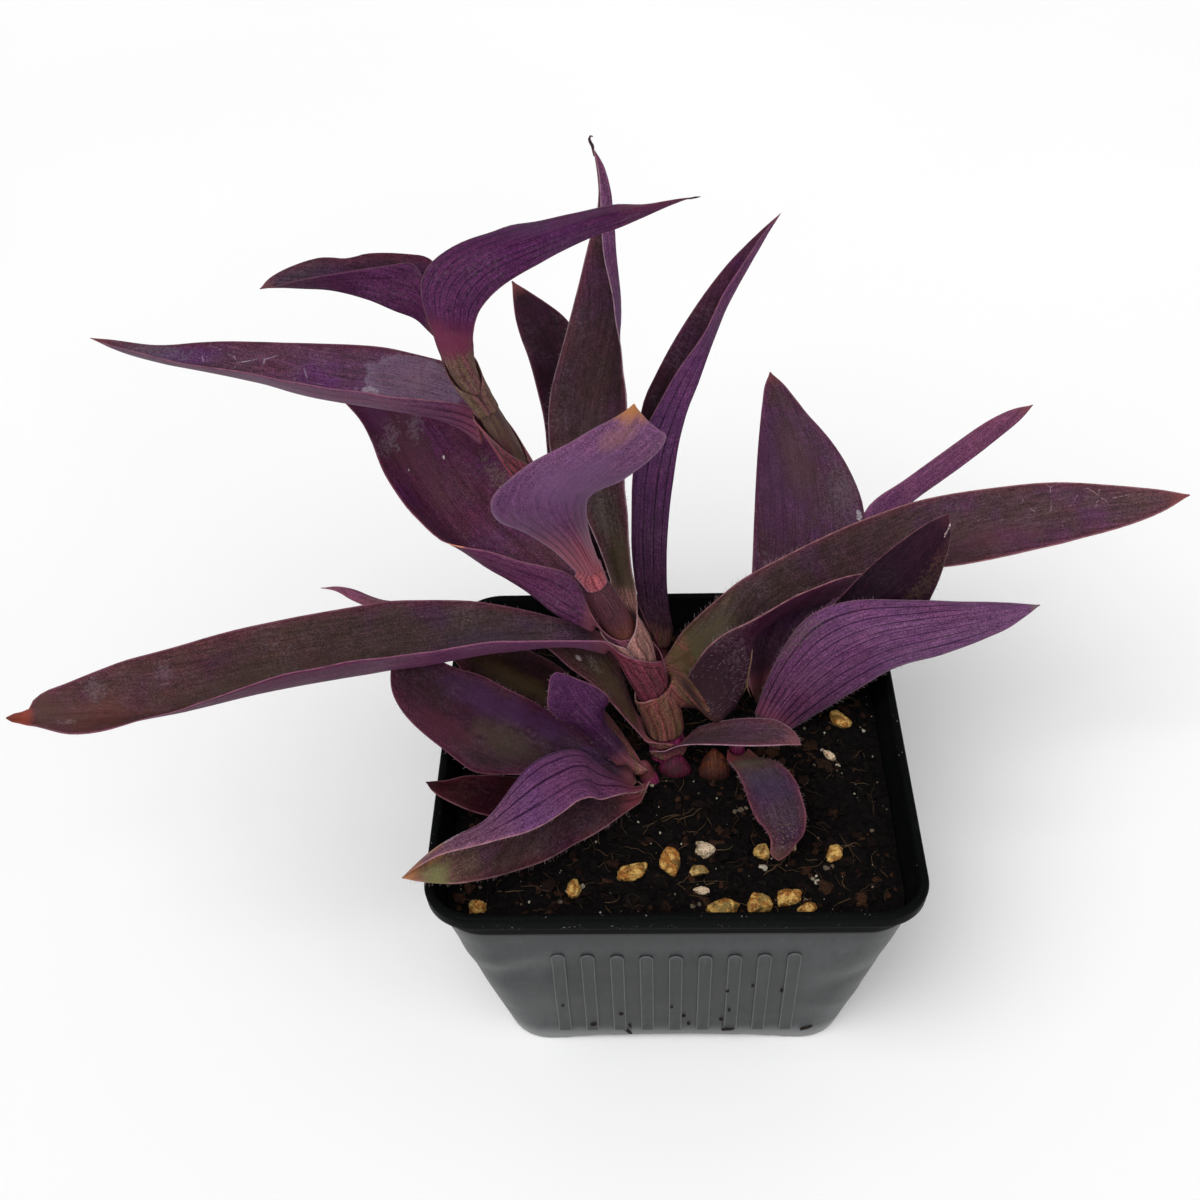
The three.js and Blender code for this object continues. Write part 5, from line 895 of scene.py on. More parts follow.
def leaf_mesh(name):
    """Points, faces and per-point measures of a leaf: the sheet with its thickness, closed along all its edges."""
    grid, base = leaf_rows(name)
    n, m = grid.shape[:2]
    us = np.linspace(-1, 1, m)
    # the tip: a blunt point that is a little wide
    across = grid[-3, -1] - grid[-3, 0]
    across /= np.linalg.norm(across) + 1e-9
    grid[-1] = grid[-1].mean(0) + across * us[:, None] * 0.14
    normal = row_normals(grid)
    leaf = LEAVES[name]
    # natural unevenness, none at the foot
    keel = grid[:, m // 2]
    run = np.r_[0, np.cumsum(np.linalg.norm(np.diff(keel, axis=0), axis=1))]
    lead = run - run[base]
    wide = np.linalg.norm(grid - keel[:, None], axis=2)
    seed = sum(ord(c) for c in name) * 0.37
    free = smoothstep(2, 25, lead)[:, None] * smoothstep(0, 12, run[-1] - run)[:, None]
    wave = noise(lead[:, None] * 0.07 + seed, us[None] * 0.9 + seed, seed) * 0.55
    wave = wave + noise(lead[:, None] * 0.2 + seed, us[None] * 1.6 + 5, seed) * 0.16
    edge = noise(lead[:, None] * 0.16 + 3 * seed, np.sign(us)[None] * 3.0, seed + 9) * np.abs(us[None]) ** 4 * leaf.get("ruffle", 0.3)
    grid = grid + normal * ((wave * leaf.get("wave", 0.45) + edge) * free)[..., None]
    normal = row_normals(grid)
    # thickness
    half = (0.4 + 0.6 * (1 - us**4)) * THICK / 2
    apart = np.linalg.norm(grid - grid[:, ::-1], axis=2)[:, : m // 2]
    fit = np.clip(np.min(0.42 * apart[:, : m // 2 - 1] / half[None, : m // 2 - 1], axis=1), 0.3, 1)
    fit[-1] = 0.5 * fit[-2]
    thick = half[None] * fit[:, None]
    plus, minus = grid + normal * thick[..., None], grid - normal * thick[..., None]
    # the upper face is the one that looks at the shoot at the leaf's foot
    spec = leaf.get("sheath") or leaf.get("foot")
    shoot = shoots[spec[0]]
    row = min(2, base)
    seen = 0.0
    for j in range(m):
        p = grid[row, j]
        centre = shoot.path[int(np.argmin(np.linalg.norm(shoot.path - p, axis=1)))]
        seen += float(normal[row, j] @ (centre - p))
    upper_is_plus = seen > 0
    if "upper_plus" in leaf:
        upper_is_plus = leaf["upper_plus"]
    # measures: mm along from the blade's start, mm across from the keel, which face; mm from the margin, mm from the tip, share of length
    step = np.linalg.norm(np.diff(grid, axis=1), axis=2)
    cross = np.concatenate([np.zeros((n, 1)), np.cumsum(step, axis=1)], axis=1)
    cross = cross - cross[:, m // 2 : m // 2 + 1]
    margin = np.minimum(cross - cross[:, :1], cross[:, -1:] - cross)
    total = run[-1] - run[base]
    measure = {}
    for sheet, value in (("plus", 1.0 if upper_is_plus else 0.0), ("minus", 0.0 if upper_is_plus else 1.0)):
        a = np.stack([np.broadcast_to(lead[:, None], (n, m)), cross, np.full((n, m), value)], -1)
        b = np.stack(
            [margin, np.broadcast_to((run[-1] - run)[:, None], (n, m)), np.broadcast_to((lead / total)[:, None], (n, m))], -1
        )
        c = np.broadcast_to(us[None], (n, m))
        measure[sheet] = (a.reshape(-1, 3), b.reshape(-1, 3), c.reshape(-1))
    points = np.concatenate([plus.reshape(-1, 3), minus.reshape(-1, 3)])
    along = np.concatenate([measure["plus"][0], measure["minus"][0]])
    edges = np.concatenate([measure["plus"][1], measure["minus"][1]])
    uu = np.concatenate([measure["plus"][2], measure["minus"][2]])
    o = n * m
    i, j = np.meshgrid(np.arange(n - 1), np.arange(m - 1), indexing="ij")
    a = (i * m + j).ravel()
    quads = [np.stack([a, a + m, a + m + 1, a + 1], 1), np.stack([o + a, o + a + 1, o + a + m + 1, o + a + m], 1)]
    i = np.arange(n - 1) * m
    quads.append(np.stack([i, o + i, o + i + m, i + m], 1))
    i = i + m - 1
    quads.append(np.stack([i, i + m, o + i + m, o + i], 1))
    j = np.arange(m - 1)
    quads.append(np.stack([j, j + 1, o + j + 1, o + j], 1))
    j = (n - 1) * m + j
    quads.append(np.stack([j, o + j, o + j + 1, j + 1], 1))
    faces = np.concatenate(quads)
    return points, faces, dict(along=along, edge=edges, uu=uu), grid, normal if upper_is_plus else -normal, base, lead, cross

# ---------------------------------------------------------------- node helpers
def lin(rgb):
    """Display colour, 0 to 255, as the linear colour that nodes use."""
    out = []
    for v in rgb:
        v = v / 255
        out.append(v / 12.92 if v <= 0.04045 else ((v + 0.055) / 1.055) ** 2.4)
    return (*out, 1.0)


class Tree:
    """A material and short ways to add nodes to it."""

    def __init__(self, name):
        self.mat = bpy.data.materials.new(name)
        self.mat.use_nodes = True
        self.nt = self.mat.node_tree
        self.nt.nodes.clear()

    def node(self, kind, **settings):
        n = self.nt.nodes.new(kind)
        for k, v in settings.items():
            setattr(n, k, v)
        return n

    def put(self, socket, value):
        if isinstance(value, bpy.types.NodeSocket):
            self.nt.links.new(value, socket)
        elif isinstance(value, (tuple, list)) and len(value) == 3 and socket.type == "RGBA":
            socket.default_value = (*value, 1.0)
        else:
            socket.default_value = value

    def math(self, op, a, b=0.0, c=0.0, clamp=False):
        n = self.node("ShaderNodeMath", operation=op, use_clamp=clamp)
        for i, v in enumerate((a, b, c)):
            self.put(n.inputs[i], v)
        return n.outputs[0]

    def add(self, a, b):
        return self.math("ADD", a, b)

    def mul(self, a, b, clamp=False):
        return self.math("MULTIPLY", a, b, clamp=clamp)

    def span(self, v, a, b, c=0.0, d=1.0, kind="SMOOTHSTEP"):
        """v mapped from a..b to c..d, kept inside it."""
        n = self.node("ShaderNodeMapRange", interpolation_type=kind)
        for i, x in enumerate((v, a, b, c, d)):
            self.put(n.inputs[i], x)
        return n.outputs[0]

    def mix(self, fac, a, b, blend="MIX"):
        n = self.node("ShaderNodeMix", data_type="RGBA", blend_type=blend)
        self.put(n.inputs["Factor"], fac)
        self.put(n.inputs[6], a)
        self.put(n.inputs[7], b)
        return n.outputs[2]

    def ramp(self, fac, stops):
        n = self.node("ShaderNodeValToRGB")
        e = n.color_ramp.elements
        while len(e) < len(stops):
            e.new(0.5)
        for k, (at, colour) in enumerate(stops):
            e[k].position = at
            e[k].color = colour
        self.put(n.inputs[0], fac)
        return n.outputs[0]

    def vec(self, x, y, z):
        n = self.node("ShaderNodeCombineXYZ")
        for i, v in enumerate((x, y, z)):
            self.put(n.inputs[i], v)
        return n.outputs[0]

    def split(self, v):
        n = self.node("ShaderNodeSeparateXYZ")
        self.put(n.inputs[0], v)
        return n.outputs[0], n.outputs[1], n.outputs[2]

    def noise(self, vec, scale=1.0, detail=3.0, rough=0.55, lump=0.0):
        n = self.node("ShaderNodeTexNoise")
        self.put(n.inputs["Vector"], vec)
        n.inputs["Scale"].default_value = scale
        n.inputs["Detail"].default_value = detail
        n.inputs["Roughness"].default_value = rough
        n.inputs["Distortion"].default_value = lump
        return n.outputs["Fac"]

    def cells(self, vec, scale=1.0, feature="F1", out="Distance"):
        n = self.node("ShaderNodeTexVoronoi", feature=feature)
        self.put(n.inputs["Vector"], vec)
        n.inputs["Scale"].default_value = scale
        return n.outputs[out]

    def attr(self, name):
        n = self.node("ShaderNodeAttribute", attribute_type="GEOMETRY", attribute_name=name)
        return n

    def place(self, scale=1000.0):
        """Position in mm."""
        n = self.node("ShaderNodeTexCoord")
        m = self.node("ShaderNodeVectorMath", operation="SCALE")
        self.put(m.inputs[0], n.outputs["Object"])
        m.inputs["Scale"].default_value = scale
        return m.outputs[0]

    def bump(self, height, strength=0.5, distance=0.0001, normal=None):
        n = self.node("ShaderNodeBump")
        n.inputs["Strength"].default_value = strength
        n.inputs["Distance"].default_value = distance
        self.put(n.inputs["Height"], height)
        if normal is not None:
            self.put(n.inputs["Normal"], normal)
        return n.outputs[0]

    def finish(self, colour, roughness, normal=None, specular=0.3, sheen=0.0, sheen_tint=(1, 1, 1), sheen_rough=0.5, subsurface=0.0):
        b = self.node("ShaderNodeBsdfPrincipled")
        self.put(b.inputs["Base Color"], colour)
        self.put(b.inputs["Roughness"], roughness)
        if normal is not None:
            self.put(b.inputs["Normal"], normal)
        b.inputs["Specular IOR Level"].default_value = specular
        if sheen:
            b.inputs["Sheen Weight"].default_value = sheen
            b.inputs["Sheen Tint"].default_value = (*sheen_tint, 1.0)
            b.inputs["Sheen Roughness"].default_value = sheen_rough
        if subsurface:
            b.inputs["Subsurface Weight"].default_value = subsurface
            b.inputs["Subsurface Radius"].default_value = (0.0006, 0.0003, 0.0003)
            b.inputs["Subsurface Scale"].default_value = 1.0
        o = self.node("ShaderNodeOutputMaterial")
        self.nt.links.new(b.outputs[0], o.inputs[0])
        return self.mat


# ---------------------------------------------------------------- leaf material
LEAF_LOOK = dict(
    up=((70, 54, 48), (66, 46, 46), (80, 50, 56)),  # upper face: base, middle, tip
    un=((92, 48, 74), (88, 52, 90), (96, 58, 92)),  # underside
    base=((120, 66, 74), 4.0),  # colour of the foot and how far it reaches, mm
    base_un=None,  # the same for the underside, where it differs
    stripe=(0.0, 0.0),  # how far up from the foot the veins are drawn as dark stripes, mm, and how strong
    sheath=((118, 62, 70), (104, 84, 60)),  # the two colours of its stripes
    lines=0.75,  # how strong the veins of the sheath are
    veins=4.5,  # on each half
    vein_up=0.18,
    vein_un=0.5,
    rim=((150, 100, 112), 0.55, 0.4),  # margin colour, strength, width mm
    flush=((86, 40, 52), 0.5, 2.6),  # reddish band inside the margin: colour, strength, width
    tip=((120, 66, 60), 5.0, 0.5),
    dust=0.25,
    specks=0.25,
    patches=(),
    rough=0.52,
    shine=0.07,
    sheen=0.02,
    dark=1.0,
)


def leaf_material(name, look):
    k = dict(LEAF_LOOK)
    k.update(look)
    t = Tree("leaf_" + name)
    seed = float(sum(ord(c) for c in name) % 97)
    along = t.attr("along").outputs["Vector"]
    edge = t.attr("edge").outputs["Vector"]
    uu = t.attr("uu").outputs["Fac"]
    sx, ax, side = t.split(along)
    em, tipd, share = t.split(edge)
    where = t.place()
    stripes = t.noise(t.vec(t.mul(sx, 0.05), t.mul(ax, 1.5), seed), 1.0, 4.0, 0.6)
    threads = t.noise(t.vec(t.mul(sx, 0.22), t.mul(ax, 6.0), seed + 3), 1.0, 2.0, 0.6)
    cloud = t.noise(where, 0.11, 3.0, 0.55)
    blotch = t.noise(t.vec(t.mul(sx, 0.16), t.mul(ax, 0.4), seed + 11), 1.0, 4.0, 0.62)
    grain = t.noise(where, 3.2, 2.0, 0.6)
    # veins, evenly spread across each half
    def veins(count, width):
        saw = t.math("PINGPONG", t.mul(uu, count), 0.5)
        return t.span(saw, 0.5 - width, 0.5, 0.0, 1.0)

    faint = t.span(t.noise(t.vec(t.mul(sx, 0.05), t.mul(uu, 3.0), seed + 41), 1.0, 2.0, 0.5), 0.3, 0.6, 0.45, 1.0)
    main = t.mul(veins(k["veins"], 0.14), faint)
    small = veins(k["veins"] * 3.0, 0.3)
    keel = t.span(t.math("ABSOLUTE", ax), 0.15, 0.75, 1.0, 0.0)
    ends = t.mul(t.span(tipd, 2.0, 22.0), t.span(em, 0.1, 1.0))

    def three(colours):
        return t.ramp(share, [(0.0, lin(colours[0])), (0.45, lin(colours[1])), (1.0, lin(colours[2]))])

    upper = three(k["up"])
    upper = t.mix(t.span(blotch, 0.42, 0.68), upper, t.mix(1.0, upper, (0.80, 0.78, 0.66), "MULTIPLY"))
    upper = t.mix(t.mul(t.span(cloud, 0.45, 0.7), 0.55), upper, t.mix(1.0, upper, (1.3, 0.94, 1.14), "MULTIPLY"))
    tint = t.noise(where, 0.075, 3.0, 0.6)
    upper = t.mix(t.mul(t.span(tint, 0.5, 0.66), 0.7), upper, t.mix(1.0, upper, (1.05, 0.72, 1.5), "MULTIPLY"))
    upper = t.mix(t.mul(t.span(tint, 0.5, 0.34), 0.6), upper, t.mix(1.0, upper, (1.0, 1.12, 0.76), "MULTIPLY"))
    upper = t.mix(t.mul(t.span(em, 0.0, k["flush"][2], 1.0, 0.0), k["flush"][1]), upper, lin(k["flush"][0]))
    upper = t.mix(t.mul(t.mul(main, ends), k["vein_up"]), upper, t.mix(1.0, upper, (0.45, 0.4, 0.4), "MULTIPLY"))
    upper = t.mix(t.mul(keel, 0.35), upper, t.mix(1.0, upper, (0.6, 0.55, 0.6), "MULTIPLY"))
    under = three(k["un"])
    under = t.mix(t.span(blotch, 0.4, 0.7), under, t.mix(1.0, under, (0.84, 0.76, 0.9), "MULTIPLY"))
    under = t.mix(t.mul(t.span(cloud, 0.45, 0.75), 0.4), under, t.mix(1.0, under, (1.25, 0.96, 0.95), "MULTIPLY"))
    under = t.mix(t.mul(t.mul(small, ends), k["vein_un"] * 0.4), under, t.mix(1.0, under, (0.5, 0.42, 0.55), "MULTIPLY"))
    under = t.mix(t.mul(t.mul(main, ends), k["vein_un"]), under, t.mix(1.0, under, (0.2, 0.12, 0.25), "MULTIPLY"))
    if k["stripe"][1]:
        near = t.mul(t.span(sx, 0.25 * k["stripe"][0], k["stripe"][0], 1.0, 0.0), k["stripe"][1])
        under = t.mix(t.mul(near, veins(k["veins"], 0.28)), under, t.mix(1.0, under, (0.32, 0.17, 0.3), "MULTIPLY"))
    is_up = t.span(side, 0.4, 0.6)
    colour = t.mix(is_up, under, upper)
    # fine texture along the leaf
    tone = t.span(stripes, 0.3, 0.7, 0.7, 1.3, "LINEAR")
    tone = t.mul(tone, t.span(threads, 0.28, 0.72, 0.62, 1.38, "LINEAR"))
    tone = t.mul(tone, t.span(grain, 0.3, 0.7, 0.42, 1.58, "LINEAR"))
    tone = t.mul(tone, t.span(t.noise(where, 0.8, 3.0, 0.6), 0.3, 0.7, 0.84, 1.16, "LINEAR"))
    colour = t.mix(1.0, colour, t.vec(tone, tone, tone), "MULTIPLY")
    # foot, sheath
    foot = t.mul(t.span(sx, 0.0, k["base"][1], 1.0, 0.0), t.span(stripes, 0.2, 0.6, 0.45, 1.0))
    if k["base_un"]:
        low = t.mul(t.span(sx, 0.0, k["base_un"][1], 1.0, 0.0), t.span(stripes, 0.2, 0.6, 0.45, 1.0))
        colour = t.mix(t.mul(t.mul(low, 0.8), t.math("SUBTRACT", 1.0, is_up)), colour, lin(k["base_un"][0]))
        foot = t.mul(foot, is_up)
    footing = lin(k["base"][0])
    if k["stripe"][1]:
        footing = t.mix(t.mul(veins(k["veins"], 0.28), 0.85), footing, t.mix(1.0, footing, (0.36, 0.2, 0.34), "MULTIPLY"))
    colour = t.mix(t.mul(foot, 0.8), colour, footing)
    bands = t.span(t.noise(t.vec(t.mul(sx, 0.04), t.mul(ax, 1.3), seed + 21), 1.0, 3.0, 0.6), 0.36, 0.64)
    lines = t.mix(bands, lin(k["sheath"][0]), lin(k["sheath"][1]))
    lines = t.mix(t.mul(veins(k["veins"] if k["stripe"][1] else 5.5, 0.24), k["lines"]), lines, t.mix(1.0, lines, (0.42, 0.28, 0.34), "MULTIPLY"))
    lines = t.mix(1.0, lines, t.vec(tone, tone, tone), "MULTIPLY")
    colour = t.mix(t.span(sx, -3.0, 0.5, 1.0, 0.0), colour, lines)
    # margin and tip
    worn = t.span(t.noise(t.vec(t.mul(sx, 0.35), 0.0, seed + 31), 1.0, 3.0, 0.6), 0.3, 0.65, 0.35, 1.0)
    rim = t.mul(t.span(em, 0.0, k["rim"][2], 1.0, 0.0), t.mul(worn, k["rim"][1]))
    colour = t.mix(rim, colour, lin(k["rim"][0]))
    ragged = t.add(tipd, t.mul(t.math("SUBTRACT", blotch, 0.5), k["tip"][1]))
    colour = t.mix(t.mul(t.span(ragged, 0.2 * k["tip"][1], k["tip"][1], 1.0, 0.0), k["tip"][2]), colour, lin(k["tip"][0]))
    # dust and specks
    haze = t.mul(t.mul(t.span(t.noise(where, 0.1, 3.0, 0.6), 0.42, 0.7), t.span(t.noise(where, 1.3, 4.0, 0.7), 0.42, 0.7)), k["dust"])
    colour = t.mix(haze, colour, lin((112, 94, 104)))
    if k["specks"]:
        near = t.cells(where, 0.4)
        some = t.span(t.noise(where, 0.17, 1.0, 0.5), 0.5, 0.6)
        colour = t.mix(t.mul(t.mul(t.span(near, 0.03, 0.07, 1.0, 0.0), some), k["specks"]), colour, lin((170, 156, 156)))
    for x0, y0, rx, ry, rgb, power, face, kind in k["patches"]:
        dx = t.mul(t.math("SUBTRACT", sx, x0), 1 / rx)
        dy = t.mul(t.math("SUBTRACT", ax, y0), 1 / ry)
        d = t.math("SQRT", t.add(t.mul(dx, dx), t.mul(dy, dy)))
        rag = {"soft": 0.9, "crust": 1.3, "clear": 0.22, "dot": 0.3, "scratch": 0.9, "flecks": 1.2}[kind]
        d = t.add(d, t.mul(t.math("SUBTRACT", t.noise(where, {"crust": 0.9, "soft": 0.22}.get(kind, 0.5), 4.0, 0.65), 0.5), rag * 2))
        inside = {"soft": (0.2, 1.3), "crust": (0.5, 0.95), "clear": (0.9, 1.0), "dot": (0.6, 1.0), "scratch": (0.6, 1.0), "flecks": (0.6, 1.1)}[kind]
        m = t.span(d, inside[0], inside[1], 1.0, 0.0)
        if kind == "scratch":  # thin straight lines that come and go
            m = t.mul(m, t.span(t.cells(where, 0.15, "DISTANCE_TO_EDGE"), 0.006, 0.022, 1.0, 0.0))
            m = t.mul(m, t.span(t.noise(where, 0.45, 4.0, 0.7), 0.46, 0.6))
        if kind == "crust":
            m = t.mul(m, t.span(t.noise(where, 1.6, 3.0, 0.7), 0.4, 0.62, 0.15, 1.0))
        if kind == "flecks":
            m = t.mul(m, t.span(t.noise(where, 2.2, 3.0, 0.65), 0.53, 0.6))
        if kind == "clear":  # a waxy film, worn in places
            m = t.mul(m, t.span(d, 0.66, 0.92, 0.62, 1.0))
            m = t.mul(m, t.span(t.add(t.mul(t.noise(where, 1.9, 4.0, 0.75), 0.6), t.mul(threads, 0.4)), 0.38, 0.6, 0.25, 1.0))
        m = t.mul(m, power)
        if face is not None:
            m = t.mul(m, is_up if face else t.math("SUBTRACT", 1.0, is_up))
        colour = t.mix(m, colour, lin(rgb))
    if k["dark"] != 1.0:
        colour = t.mix(1.0, colour, (k["dark"], k["dark"], k["dark"]), "MULTIPLY")
    height = t.add(t.mul(stripes, 0.5), t.mul(threads, 0.35))
    height = t.add(height, t.mul(grain, 0.25))
    height = t.math("SUBTRACT", height, t.mul(t.mul(main, ends), 0.5))
    rough = t.span(t.add(t.mul(grain, 0.5), t.mul(cloud, 0.5)), 0.3, 0.7, k["rough"] - 0.08, k["rough"] + 0.1, "LINEAR")
    return t.finish(colour, rough, t.bump(height, 0.55, 0.00012), specular=k["shine"], sheen=k["sheen"], sheen_tint=(0.85, 0.62, 0.9), sheen_rough=0.45)

